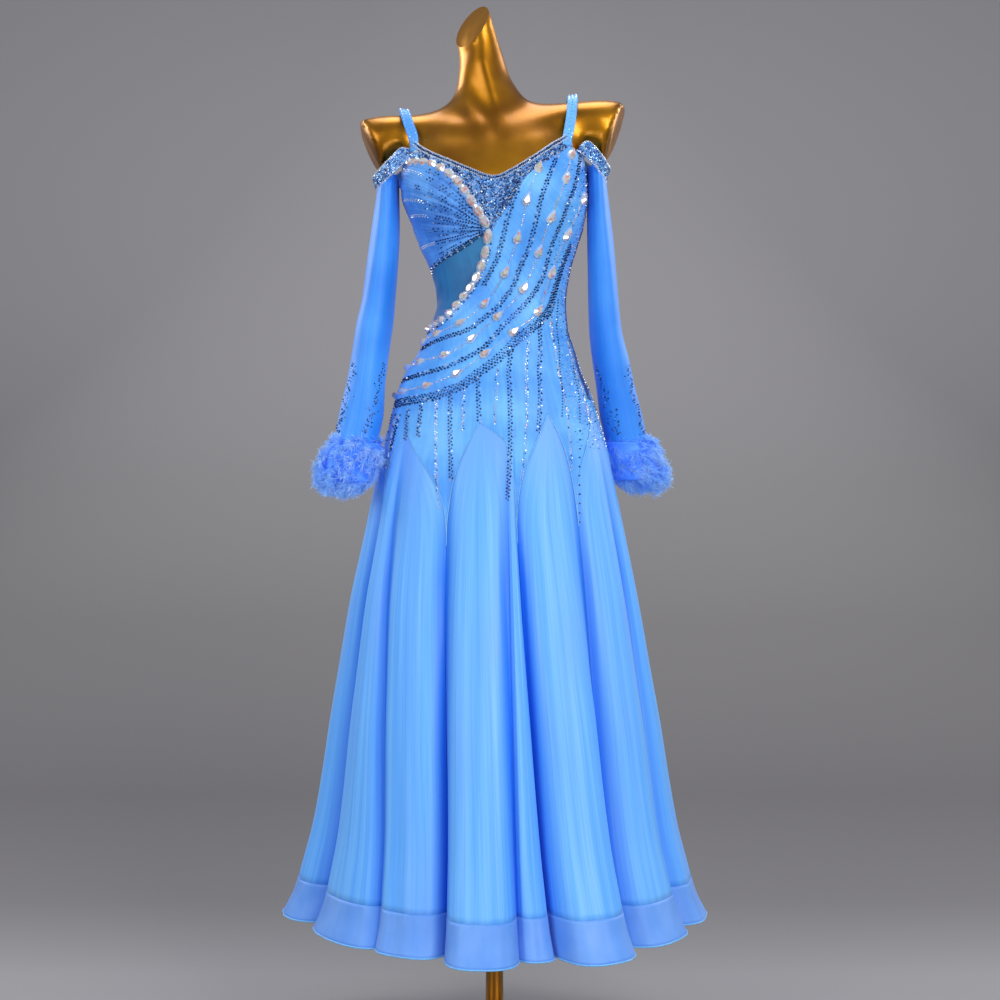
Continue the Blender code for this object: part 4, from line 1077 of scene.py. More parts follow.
@dataclass
class DressForm:
    """A limbless torso with cut arm stubs and a slanted neck cut, blended into one smooth body."""

    gold: Material
    bottom: float = 0.93
    top: float = 1.468
    cloth_room: float = 0.0045
    hip_ease: float = 0.04
    hip_ease_start: float = 1.12
    taper: float = 0.25
    voxel: float = 0.0048
    # Rings of the rounded top: share of its width, rise.
    dome: Table = ((0.8, 0.010), (0.5, 0.016))
    # Columns and rows of the torso, rows across the shoulders and up the neck, points of an oval ring.
    torso_columns: int = 96
    torso_rows: int = 80
    shoulder_rows: int = 90
    neck_rows: int = 50
    ring_points: int = 48
    # Smoothing: all passes, the even ones among them, and their share of the way to the neighbours' mean.
    passes: int = 110
    even_passes: int = 14
    even_share: float = 0.5
    joint_share: float = 0.55
    # Where chest, shoulders and neck meet: height, reach up and down, and the sides it fades between.
    joint: Row = (1.482, 0.040, -0.17, -0.12)
    # Parts of the body that a cut works on: above these heights, and beyond the side for an arm.
    arm_least_z: float = 1.36
    arm_least_x: float = 0.15
    neck_least_z: float = 1.575
    # How far past a cut its skin is drawn in, and the depth over which the chest's swells begin.
    rim_reach: float = 0.03
    front_fade: float = 0.03
    sharp_from: float = math.radians(38)
    # Shoulders across the body: x, top, bottom, half-depth, centre y, lean of the section.
    shoulders: Table = (
        (-0.1985, 1.4862, 1.4032, 0.0415, 0.002, -0.42),
        (-0.1960, 1.4870, 1.4030, 0.0430, 0.002, -0.42),
        (-0.1780, 1.4925, 1.4090, 0.0465, 0.002, -0.30),
        (-0.1500, 1.4950, 1.4260, 0.0480, 0.003, -0.15),
        (-0.1200, 1.4985, 1.4200, 0.0500, 0.004, 0.0),
        (-0.0800, 1.5060, 1.4000, 0.0560, 0.006, 0.0),
        (-0.0400, 1.5120, 1.3800, 0.0600, 0.008, 0.0),
        (0.0000, 1.5150, 1.3800, 0.0600, 0.008, 0.0),
        (0.0400, 1.5160, 1.3800, 0.0600, 0.008, 0.0),
        (0.0800, 1.5160, 1.4000, 0.0560, 0.006, 0.0),
        (0.1150, 1.5175, 1.4250, 0.0500, 0.004, 0.0),
        (0.1450, 1.5185, 1.4350, 0.0480, 0.003, 0.12),
        (0.1720, 1.5190, 1.4250, 0.0465, 0.002, 0.25),
        (0.1890, 1.5140, 1.4190, 0.0430, 0.002, 0.37),
        (0.1915, 1.5125, 1.4195, 0.0420, 0.002, 0.37),
    )
    # Neck from the chest up: x, y, z, half-width, half-depth, share of the turn towards the slanted cut.
    neck: Table = (
        (-0.010, 0.006, 1.470, 0.105, 0.064, 0.00),
        (-0.013, 0.005, 1.498, 0.084, 0.058, 0.00),
        (-0.0115, 0.003, 1.520, 0.0605, 0.052, 0.05),
        (-0.017, 0.001, 1.545, 0.0450, 0.046, 0.15),
        (-0.021, -0.002, 1.570, 0.0395, 0.042, 0.30),
        (-0.026, -0.005, 1.597, 0.0370, 0.039, 0.60),
        (-0.032, -0.008, 1.626, 0.0375, 0.037, 0.90),
        (-0.0345, -0.010, 1.637, 0.0390, 0.037, 1.00),
    )
    cut_turn: float = math.radians(64)
    cut_twist: float = math.radians(40)
    arm_cuts: Table = ((-0.1970, 0.0, 1.441, -1.0, -0.20, -0.42), (0.1905, 0.0, 1.4635, 1.0, -0.20, -0.37))
    arm_rim: float = 0.006
    neck_rim: float = 0.0012
    overhang: float = 0.022
    # The neck's long and short ridges, the notch between them, and faint collar-bones with hollows below.
    swells: tuple[Swell, ...] = (
        Swell(-0.0030, 1.521, 0.068, 0.0160, 0.0056, -1.277),
        Swell(-0.0330, 1.480, 0.030, 0.0120, 0.0044, -1.02),
        Swell(-0.0240, 1.505, 0.050, 0.0100, -0.0016, -1.30),
        Swell(-0.0060, 1.455, 0.011, 0.018, -0.0040),
        Swell(-0.075, 1.470, 0.050, 0.014, 0.0024, -0.12),
        Swell(0.075, 1.484, 0.050, 0.014, 0.0024, 0.22),
        Swell(-0.065, 1.444, 0.045, 0.015, -0.0018, -0.10),
        Swell(0.065, 1.454, 0.045, 0.015, -0.0018, 0.20),
    )

    def torso(self) -> Array:
        """Rings inside the gown: its surface moved in, further below the hips, and a rounded top."""
        angle = np.linspace(-180, 180, self.torso_columns, endpoint=False)
        heights = np.linspace(self.bottom, self.top, self.torso_rows)
        inset = self.cloth_room + self.hip_ease * np.clip(self.hip_ease_start - heights, 0, None)
        inset += self.taper * np.clip(GOWN.flutes_start - heights, 0, None)
        angles, levels = np.meshgrid(angle, heights)
        rings = GOWN.body(angles, levels, -np.repeat(inset[:, None], len(angle), axis=1))
        rings[..., 2] = levels
        last, middle = rings[-1], rings[-1].mean(axis=0)
        domed = [middle + (last - middle) * (share, share, 1) + (0, 0, rise) for share, rise in self.dome]
        return np.concatenate([rings, domed])

    def shoulder_rings(self) -> Array:
        """Oval rings across the shoulders, run past the arm cuts."""
        table = np.array(self.shoulders)
        ends = (table[0, 0] - self.overhang, table[-1, 0] + self.overhang)
        x = np.linspace(*ends, self.shoulder_rows)[:, None]
        top, bottom, depth, middle, lean = (smooth_curve(table[:, 0], table[:, k], x) for k in range(1, 6))
        turn = np.linspace(0, 2 * math.pi, self.ring_points, endpoint=False)[None]
        rise = (top - bottom) / 2 * np.cos(turn)
        return np.stack([x + lean * rise, middle + depth * np.sin(turn), (top + bottom) / 2 + rise], axis=-1)

    def neck_axes(self, turned: Array) -> tuple[Array, Array]:
        """Directions of a neck ring's width and depth, from its share of the turn."""
        tilt, twist = self.cut_turn * turned, self.cut_twist * turned
        across = np.stack([np.cos(tilt) * np.cos(twist), np.cos(tilt) * np.sin(twist), np.sin(tilt)], axis=-1)
        deep = np.stack([-np.sin(twist), np.cos(twist), np.zeros_like(twist)], axis=-1)
        return across, deep

    def neck_cut(self) -> tuple[Array, Array]:
        """A point of the neck's slanted cut and the direction it faces."""
        across, deep = self.neck_axes(np.ones(1))
        return np.array(self.neck[-1][:3]), np.cross(across, deep)[0]

    def neck_rings(self) -> Array:
        """Oval rings up the neck that turn towards the slanted cut and run past it."""
        rows = catmull(np.array(self.neck), np.linspace(0, len(self.neck) - 1, self.neck_rows))
        across, deep = self.neck_axes(rows[:, 5])
        turn = np.linspace(0, 2 * math.pi, self.ring_points, endpoint=False)[None, :, None]
        wide = rows[:, 3, None, None] * np.cos(turn) * across[:, None]
        rings = rows[:, None, :3] + wide + rows[:, 4, None, None] * np.sin(turn) * deep[:, None]
        _, facing = self.neck_cut()
        steps = np.linspace(0, self.overhang, 6)[1:, None, None]
        return np.concatenate([rings, rings[-1:] + steps * facing])

    def relax(self, mesh: Mesh) -> None:
        """Moves each point towards its neighbours' mean, most where chest, shoulders and neck meet.

        Args:
            mesh: the united body.
        """
        points = mesh_points(mesh)
        edges = np.empty(len(mesh.edges) * 2, np.int32)
        mesh.edges.foreach_get("vertices", edges)
        a, b = edges.reshape(-1, 2).T
        degree = np.bincount(np.concatenate([a, b]), minlength=len(points))[:, None]
        height, reach, *sides = self.joint
        joint = np.exp(-(((points[:, 2] - height) / reach) ** 2)) * ease(-np.abs(points[:, 0]), *sides)
        for turn in range(self.passes):
            sums = [
                np.bincount(a, values[b], len(values)) + np.bincount(b, values[a], len(values))
                for values in points.T
            ]
            share = self.even_share if turn < self.even_passes else joint[:, None] * self.joint_share
            points += share * (np.stack(sums, axis=1) / degree - points)
        front = ease(-points[:, 1], 0.0, self.front_fade)
        for swell in self.swells:
            points[:, 1] -= swell.lift(points) * front
        move_points(mesh, points)

    def round_rims(self, mesh: Mesh) -> None:
        """Draws the skin in towards each cut's middle just before the cut, by a quarter circle at its rim.

        Args:
            mesh: the united body.
        """
        points = mesh_points(mesh)
        place, facing = self.neck_cut()
        least = (self.arm_least_x, self.arm_least_z)
        cuts = [(np.array(row[:3]), unit(np.array(row[3:])), *least, self.arm_rim) for row in self.arm_cuts]
        cuts.append((place, facing, 0.0, self.neck_least_z, self.neck_rim))
        for middle, normal, least_x, least_z, rim in cuts:
            depth = (middle - points) @ normal
            near = (depth < rim) & (depth > -self.rim_reach)
            near &= (points[:, 0] * np.sign(middle[0]) > least_x) & (points[:, 2] > least_z)
            centre = points[near].mean(axis=0)
            inwards = square_to(centre - points[near], normal[None])
            inside = np.clip(rim - depth[near], 0, rim)
            drawn = rim - np.sqrt(rim**2 - inside**2)
            points[near] += inwards * drawn[:, None]
        move_points(mesh, points)

    def cut(self, mesh: Mesh) -> None:
        """Cuts the arm stubs and the neck by planes and closes the cuts with flat faces.

        Args:
            mesh: the united body.
        """
        self.round_rims(mesh)
        work = bmesh.new()
        work.from_mesh(mesh)
        place, facing = self.neck_cut()
        least = (self.arm_least_x, self.arm_least_z)
        cuts = [(row[:3], row[3:], math.copysign(1, row[0]), *least) for row in self.arm_cuts]
        cuts.append((tuple(place), tuple(facing), 0.0, -1.0, self.neck_least_z))
        for point, normal, side, least_x, least_z in cuts:
            middles = [(face, face.calc_center_median()) for face in work.faces]
            faces = [face for face, middle in middles if middle.z > least_z and middle.x * side > least_x]
            edges = {edge for face in faces for edge in face.edges}
            corners = {corner for face in faces for corner in face.verts}
            result = bmesh.ops.bisect_plane(
                work, geom=[*faces, *edges, *corners], plane_co=point, plane_no=normal, clear_outer=True
            )
            rim = [item for item in result["geom_cut"] if isinstance(item, bmesh.types.BMEdge)]
            bmesh.ops.holes_fill(work, edges=rim, sides=0)
        bmesh.ops.recalc_face_normals(work, faces=work.faces)
        work.to_mesh(mesh)
        work.free()

    def build(self) -> None:
        """Unites the three bodies, blends them and cuts the stubs."""
        points, quads, ends, first = [], [], [], 0
        for rings in (self.torso(), self.shoulder_rings(), self.neck_rings()):
            rows, columns = rings.shape[:2]
            points.append(rings.reshape(-1, 3))
            quads.append(grid_quads(rows, columns, around=True) + first)
            ends += [cap + first for cap in end_caps(rows, columns)]
            first += rows * columns
        rough = add_mesh("form_rough", np.concatenate(points), [np.concatenate(quads), *ends], self.gold)
        turn_faces_out(rough.data)
        remesh = rough.modifiers.new("unite", "REMESH")
        remesh.mode = "VOXEL"
        remesh.voxel_size = self.voxel
        united = rough.evaluated_get(bpy.context.evaluated_depsgraph_get())
        mesh = bpy.data.meshes.new_from_object(united)
        bpy.data.objects.remove(rough)
        self.relax(mesh)
        self.cut(mesh)
        mesh.shade_smooth()
        mesh.set_sharp_from_angle(angle=self.sharp_from)
        mesh.materials.clear()
        mesh.materials.append(self.gold)
        form = put_in_scene(bpy.data.objects.new("form_torso_lacquered", mesh))
        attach(form, BODY)
        stands_for(form, "gold_lacquer", "form_torso")


@dataclass
class Stand:
    """The rod with a turned collar at each end, and the round base."""

    gold: Material
    rod_radius: float = 0.014
    rod_bevel: float = 0.0005
    form_bottom: float = 0.93
    base_radius: float = 0.165
    base_thickness: float = 0.014
    gap: float = 0.0003
    sides: int = 72
    sharp_from: float = math.radians(35)
    collar_height: float = 0.040
    base_round: float = 0.006
    # Radius of the base's flat top, and of the small faces that close the base by its axis.
    base_flat: float = 0.060
    axis_radius: float = 0.0004

    def turned(self, name: str, profile: Sequence[Row], closed: bool, *nodes: str) -> None:
        """A turned piece from a profile of (radius, height), a ring for each row.

        Args:
            name: the piece's name.
            profile: rows from the outside's lower end upwards; a closed one returns through its bore.
            closed: whether the profile is a loop rather than ending on the axis.
            nodes: the plain nodes it replaces.
        """
        rows = np.array(profile)
        turn = np.linspace(0, 2 * math.pi, self.sides, endpoint=False)
        x, y = rows[:, :1] * np.cos(turn), rows[:, :1] * np.sin(turn)
        rings = np.stack([x, y, np.repeat(rows[:, 1:], self.sides, axis=1)], axis=-1)
        size = (len(rows), self.sides)
        ends = [closing_quads(*size)] if closed else end_caps(*size)
        obj = add_mesh(name, rings.reshape(-1, 3), [grid_quads(*size, around=True), *ends], self.gold)
        turn_faces_out(obj.data)
        obj.data.set_sharp_from_angle(angle=self.sharp_from)
        stands_for(obj, "gold_lacquer", *nodes)

    def build(self) -> None:
        """Turns the rod, its collars and the base."""
        top = self.form_bottom - self.gap
        foot = self.base_thickness + self.gap
        narrow, bevel = self.rod_radius - self.rod_bevel, 2 * self.rod_bevel
        rod = [(narrow, foot), (self.rod_radius, foot + bevel), (self.rod_radius, top - bevel), (narrow, top)]
        self.turned("stand_rod_lacquered", rod, False, "stand_rod")
        bore = self.rod_radius + self.gap
        flange = [
            (bore, top - 0.030), (0.0185, top - 0.030), (0.0205, top - 0.0285), (0.0235, top - 0.022),
            (0.0290, top - 0.0125), (0.0330, top - 0.0085), (0.0342, top - 0.0065), (0.0342, top - 0.0012),
            (0.0332, top), (bore, top),
        ]
        self.turned("stand_top_flange_lacquered", flange, True, "stand_top_flange")
        collar = [
            (bore, foot), (0.0350, foot), (0.0360, foot + 0.001), (0.0360, foot + 0.0048),
            (0.0340, foot + 0.0072), (0.0275, foot + 0.0115), (0.0240, foot + 0.016), (0.0215, foot + 0.026),
            (0.0207, foot + 0.038),
            (0.0195, foot + self.collar_height), (bore, foot + self.collar_height),
        ]
        self.turned("stand_foot_collar_lacquered", collar, True, "stand_foot_collar")
        half, edge = self.base_thickness / 2, np.radians(np.linspace(-90, 90, 11))
        rim = [(self.base_radius - self.base_round * (1 - math.cos(a)), half * (1 + math.sin(a))) for a in edge]
        flat = [(radius, self.base_thickness) for radius in (self.base_flat, self.axis_radius)]
        base = [(self.axis_radius, 0.0), *rim, *flat]
        self.turned("stand_base_lacquered", base, False, "stand_base")


# ---- the bodice ------------------------------------------------------------------------------------------


class Seams:
    """Seam lines of the front and the back, as rows of (angle, height)."""

    neckline: Table = (
        (-61, 1.440), (-29.5, 1.4045), (-14.2, 1.387), (-0.3, 1.3754), (11.1, 1.387), (23.3, 1.4068),
        (38.3, 1.431), (56, 1.450),
    )
    cup_top: Table = (
        (-67, 1.413), (-52, 1.4046), (-42.3, 1.3995), (-34.1, 1.390), (-25.4, 1.3747), (-19.6, 1.355),
        (-14.8, 1.332), (-8.5, 1.3065),
    )
    yoke_edge: Table = (
        (-5.5, 1.3015), (7, 1.3304), (14.4, 1.3566), (22.2, 1.381), (46.4, 1.4248), (58, 1.436),
    )
    cup_bottom: Table = (
        (-90, 1.242), (-70, 1.247), (-50, 1.255), (-32.5, 1.2668), (-20, 1.280), (-9.3, 1.291),
    )
    inset_tip: Table = ((-8.6, 1.3045), (-5.6, 1.3010))
    cup_side: Table = ((-72, 1.416), (-90, 1.405), (-90, 1.36), (-90, 1.32), (-90, 1.28), (-90, 1.2425))
    wrap_lines: tuple[Table, ...] = (
        (
            (57, 1.433), (24, 1.384), (8, 1.333), (-5.5, 1.288),
            (-17.8, 1.228), (-36.8, 1.188), (-60, 1.158), (-90, 1.142),
        ),
        (
            (64, 1.425), (31, 1.382), (19.5, 1.337), (13.4, 1.283),
            (2, 1.222), (-19, 1.172), (-48, 1.143), (-90, 1.126),
        ),
        (
            (70, 1.427), (50, 1.384), (38, 1.320), (31, 1.262),
            (18, 1.203), (-8, 1.152), (-40, 1.104), (-90, 1.088),
        ),
        (
            (78, 1.425), (68, 1.372), (59, 1.312), (50, 1.252),
            (33, 1.178), (2, 1.118), (-37, 1.061), (-90, 1.046),
        ),
        (
            (89, 1.424), (90, 1.375), (90, 1.322), (73, 1.278),
            (59.5, 1.195), (15, 1.122), (-30, 1.042), (-90, 1.022),
        ),
    )
    back_top: Table = (
        (90, 1.424), (112, 1.428), (133, 1.440), (149, 1.400), (165, 1.360), (180, 1.345), (194, 1.360),
        (210, 1.398), (227, 1.436), (248, 1.420), (270, 1.405),
    )

    @staticmethod
    def yoke(t: Array) -> tuple[Array, Array]:
        """The yoke's two lines; beside the cup the lower one takes its height from the wrap's first line.

        Args:
            t: shares of each line's length.

        Returns:
            Rows of (angle, height) of the upper line and of the lower one.
        """
        lower = along(Seams.cup_top + Seams.yoke_edge, t)
        beside = lower[:, 0] > Seams.yoke_edge[0][0]
        lower[:, 1] = np.where(beside, Seams.heights(Seams.wrap_lines[0], lower[:, 0]), lower[:, 1])
        return along(Seams.neckline, t), lower

    @staticmethod
    def heights(line: Table, angles: Array) -> Array:
        """Height of a falling seam at each angle."""
        curve = along(line, np.linspace(0, 1, 300))[::-1]
        rising = np.concatenate([[True], np.diff(np.maximum.accumulate(curve[:, 0])) > 1e-9])
        curve = curve[rising]
        return np.interp(angles, curve[:, 0], curve[:, 1])


def between(top: Array, bottom: Array, rows: int) -> Array:
    """Rows of (angle, height) from one line to another."""
    mix = np.linspace(0, 1, rows)[:, None, None]
    return top[None] * (1 - mix) + bottom[None] * mix


def coons(top: Array, bottom: Array, left: Array, right: Array) -> Array:
    """A grid of (angle, height) filled in between four edges: both rulings less the corners' blend."""
    u = np.linspace(0, 1, len(top))[None, :, None]
    v = np.linspace(0, 1, len(left))[:, None, None]
    ruled = (1 - v) * top[None] + v * bottom[None] + (1 - u) * left[:, None] + u * right[:, None]
    return ruled - (1 - v) * ((1 - u) * top[0] + u * top[-1]) - v * ((1 - u) * bottom[0] + u * bottom[-1])


@dataclass
class Bodice:
    """The panels on the form: yoke, pleated cup, waist inset, wrap, hips and back."""

    finishes: Finishes
    side_seam: float = 89.9
    pleats: int = 8
    pleat_height: float = 0.0022
    gather_height: float = 0.0007
    crease_height: float = 0.0009
    edge_height: float = 0.0007
    pull_height: float = 0.0006
    # Heights whose lobe angles the front hip's and the back's columns take.
    hip_height: float = 1.1
    back_height: float = 1.2
    # Rows and columns of the panels' grids; rows of the hip and back grids close up by the power.
    yoke_size: tuple[int, int] = (14, 140)
    cup_size: tuple[int, int] = (113, 64)
    inset_size: tuple[int, int] = (36, 70)
    wrap_size: tuple[int, int] = (80, 140)
    hip_rows: int = 38
    back_rows: int = 50
    row_power: float = 1.25
    # The back's row at the widest place of its flat cut.
    back_width_row: int = 22

    def panel(
        self, name: str, places: Array, material: Material, node: str, slot: str, relief: Array | float
    ) -> None:
        """A panel from a grid of (angle, height), its outside moved by a relief.

        Args:
            name: the piece's name.
            places: the grid.
            material: the finish.
            node: the plain node that it replaces.
            slot: the record's material slot; not used.
            relief: metres moved outwards.
        """
        angle = np.clip(places[..., 0], -self.side_seam, self.side_seam)
        grid = GOWN.body(angle, places[..., 1], relief)
        self.finish(Cloth(name, grid, material), node, slot)

    def finish(self, cloth: Cloth, node: str, slot: str) -> None:
        """Builds a panel's cloth, which replaces its node, and states its cut."""
        obj = cloth.build()
        stands_for(obj, slot, node)
        cloth.declare(obj)

    def yoke(self) -> None:
        """The ground of the stoned V: rows from the neckline to the cup's and the wrap's edges."""
        rows, columns = self.yoke_size
        places = between(*Seams.yoke(np.linspace(0, 1, columns)), rows)
        self.panel("neckline_yoke_ground", places, self.finishes.yoke, "neckline_yoke", "stoned_band", 0.0)

    def cup_places(self, rows: int, columns: int) -> Array:
        """The cup's (angle, height): from its side edge at column 0 to the end of the V at the last.

        Args:
            rows: how many rows.
            columns: how many columns.

        Returns:
            The grid.
        """
        t = np.linspace(0, 1, columns)
        top, bottom = along(Seams.cup_top, t), along(Seams.cup_bottom, t)
        side = along(Seams.cup_side, np.linspace(0, 1, rows))
        return coons(top, bottom, side, np.linspace(top[-1], bottom[-1], rows))

    def cup_relief(self, down: Array, t: Array) -> Array:
        """Fanned pleats, high in the middle of their length, and finer gathers by the side.

        A pleat is a raised cosine of the share down the cup, sharpened on its lower side.

        Args:
            down: shares down the cup.
            t: shares from its side to the V.

        Returns:
            How far the cloth stands out.
        """
        wave = down * self.pleats + 0.10 * np.sin(5.1 * down + 2.0 * t)
        pleat = (0.5 - 0.5 * np.cos(2 * math.pi * (wave + 0.12 * np.sin(2 * math.pi * wave)))) ** 0.8
        fade = np.sin(math.pi * np.clip(t * 0.86 + 0.07, 0, 1)) ** 0.6
        uneven = 0.75 + 0.25 * np.sin(7.3 * down * self.pleats / 3 + 1.1)
        gather = np.sin(2 * math.pi * (down * 31 + 0.5 * np.sin(9 * t))) * (1 - t) ** 1.5
        return self.pleat_height * pleat * fade * uneven + self.gather_height * gather * fade

    def cup(self) -> None:
        """The right cup, pleated."""
        rows, columns = self.cup_size
        places = self.cup_places(rows, columns)
        relief = self.cup_relief(np.linspace(0, 1, rows)[:, None], np.linspace(0, 1, columns)[None])
        self.panel("bust_cup_pleats", places, self.finishes.cup, "bust_cup_pleated", "stretch_satin", relief)

    def inset(self) -> None:
        """The plain waist inset, with a few faint pulls towards the waist."""
        rows, columns = self.inset_size
        down, t = np.linspace(0, 1, rows)[:, None], np.linspace(0, 1, columns)
        top = along(Seams.cup_bottom + Seams.inset_tip, t)
        bottom = np.stack([top[:, 0], Seams.heights(Seams.wrap_lines[0], top[:, 0])], axis=-1)
        places = between(top, bottom, rows)
        pull = np.sin(2 * math.pi * (down * 3.1 + t[None] * 1.3)) * np.exp(-((t[None] - 0.05) / 0.25) ** 2)
        relief = self.pull_height * pull
        self.panel("waist_inset_satin", places, self.finishes.inset, "waist_inset", "inset_satin", relief)

    @staticmethod
    def wrap_places(lines: Array, t: Array) -> Array:
        """The wrap's (angle, height) at fan-line numbers from 0 to 4 and at shares along each line."""
        return catmull(np.stack([along(line, t) for line in Seams.wrap_lines]), lines)

    def wrap(self) -> None:
        """The wrap, with long tension creases between its fan lines.

        A crease is a sine across the fan lines that swells in the middle of their length and comes and goes
        along it. The wrap's upper edge stands out a little.
        """
        rows, columns = self.wrap_size
        lines, t = np.linspace(0, len(Seams.wrap_lines) - 1, rows), np.linspace(0, 1, columns)
        places = self.wrap_places(lines, t)
        line, share = lines[:, None], t[None]
        crease = np.sin(2 * math.pi * (line * 1.9 + 0.25 * np.sin(4 * share + line)))
        swell = 0.35 + 0.65 * np.sin(math.pi * share) ** 2
        crease = crease * swell * (0.6 + 0.4 * np.sin(9 * share + 3 * line))
        edge = self.edge_height * np.exp(-line / 0.06)
        relief = self.crease_height * crease * ease(line, 0.0, 0.3) + edge
        self.panel("front_wrap_satin", places, self.finishes.wrap, "front_wrap", "stretch_satin", relief)

    def hips(self) -> None:
        """The front hip panel, from the wrap's lower seam down to its points between the godets."""
        edge = HipLine().edge(-90, 90)
        angles = GOWN.lobe_angle(edge[:, 0], self.hip_height)
        grid = self.hip_grid(edge, Seams.heights(Seams.wrap_lines[-1], angles), self.hip_rows)
        cloth = Cloth("front_hip_satin", grid, self.finishes.wrap, width_row=0)
        self.finish(cloth, "front_hip", "stretch_satin")

    def hip_grid(self, edge: Array, top: Array, rows: int) -> Array:
        """Points of a panel whose columns keep their place, from a top line down to the hip line.

        Args:
            edge: the hip line's (place, height).
            top: the top line's height at each place.
            rows: how many rows.

        Returns:
            The grid.
        """
        mix = np.linspace(0, 1, rows)[:, None] ** self.row_power
        heights = top[None] * (1 - mix) + edge[None, :, 1] * mix
        places = np.broadcast_to(edge[:, 0], heights.shape)
        return GOWN.skirt(places, heights, 0.0)

    def back(self) -> None:
        """The two plain back panels, which meet at the centre back."""
        line, count = HipLine(), GOWN.lobe_count
        curve = along(Seams.back_top, np.linspace(0, 1, 300))
        for node, start, end in (("back_left", 90, 180), ("back_right", 180, 270)):
            if end <= GOWN.lobes[-1][0]:
                edge = line.edge(start, end)
            else:
                first, second = line.edge(start, GOWN.lobes[-1][0]), line.edge(GOWN.lobes[0][0], end - 360)
                second[:, 0] += count
                edge = np.concatenate([first[:-1], second])
            over = edge[:, 0] > count
            angle = GOWN.lobe_angle(np.where(over, edge[:, 0] - count, edge[:, 0]), self.back_height)
            top = np.interp(np.where(over, angle + 360, angle), curve[:, 0], curve[:, 1])
            grid = self.hip_grid(edge, top, self.back_rows)
            cloth = Cloth(f"{node}_satin", grid, self.finishes.wrap, width_row=self.back_width_row)
            self.finish(cloth, node, "stretch_satin")

    def build(self) -> None:
        """Makes every panel."""
        self.yoke()
        self.cup()
        self.inset()
        self.wrap()
        self.hips()
        self.back()


# ---- the skirt -------------------------------------------------------------------------------------------


@dataclass(frozen=True)
class Godet:
    """One flared inset: its lobes, its apex, and the height of the hip point at its start."""

    name: str
    lobe: int
    count: int
    apex_angle: float
    apex_height: float
    tip: float

    @property
    def apex(self) -> float:
        """The apex as a place in lobes."""
        table = np.array(GOWN.lobes)
        return float(np.interp(self.apex_angle, table[:, 0], np.arange(len(table))))


GODETS = (
    Godet("side_right", 0, 1, -90.0, 0.992, 0.850),
    Godet("front_right", 1, 2, -52.2, 0.986, 0.880),
    Godet("front_middle", 3, 2, -7.8, 0.998, 0.811),
    Godet("front_left", 5, 1, 29.9, 1.013, 0.814),
    Godet("side_left", 6, 2, 69.2, 1.020, 0.840),
    Godet("back_left_outer", 8, 2, 112.0, 1.000, 0.850),
    Godet("back_left_inner", 10, 1, 150.0, 1.000, 0.825),
    Godet("back_right_inner", 11, 2, 187.0, 1.000, 0.820),
    Godet("back_right_outer", 13, 2, 226.0, 1.000, 0.825),
)


@dataclass(frozen=True)
class HipLine:
    """The line where the hips end: down to each hip point and up to each godet's apex."""

    power: float = 2.2
    steps: int = 22

    def spread(self, share: Array) -> Array:
        """How far a godet's edge has opened at a share of the way from its apex to the hip point."""
        return 1 - (1 - np.asarray(share)) ** self.power

    def godet_edges(self, index: int) -> tuple[Array, Array]:
        """Both edges of a godet as (place, height), each from its apex to its hip point.

        Args:
            index: the godet's number.

        Returns:
            The right edge and the left one, in order of place.
        """
        godet, after = GODETS[index], GODETS[(index + 1) % len(GODETS)]
        share = np.linspace(0, 1, self.steps)
        out = self.spread(share)
        sides = []
        for end, tip in ((godet.lobe, godet.tip), (godet.lobe + godet.count, after.tip)):
            places = godet.apex + (end - godet.apex) * out
            sides.append(np.stack([places, godet.apex_height - share * (godet.apex_height - tip)], axis=-1))
        return sides[0], sides[1]

    def edge(self, first_angle: float, last_angle: float) -> Array:
        """The hip line's (place, height) between two angles, in order of place.

        Args:
            first_angle: degrees at its start.
            last_angle: degrees at its end.

        Returns:
            Rows of (place, height).
        """
        sides = [self.godet_edges(index) for index in range(len(GODETS))]
        line = np.concatenate([row for first, second in sides for row in (first[::-1], second[1:-1])])
        table = np.array(GOWN.lobes)
        first, last = np.interp((first_angle, last_angle), table[:, 0], np.arange(len(table)))
        inside = line[(line[:, 0] > first + 1e-6) & (line[:, 0] < last - 1e-6)]
        ends = [(place, float(np.interp(place, line[:, 0], line[:, 1]))) for place in (first, last)]
        return np.concatenate([[ends[0]], inside, [ends[1]]])


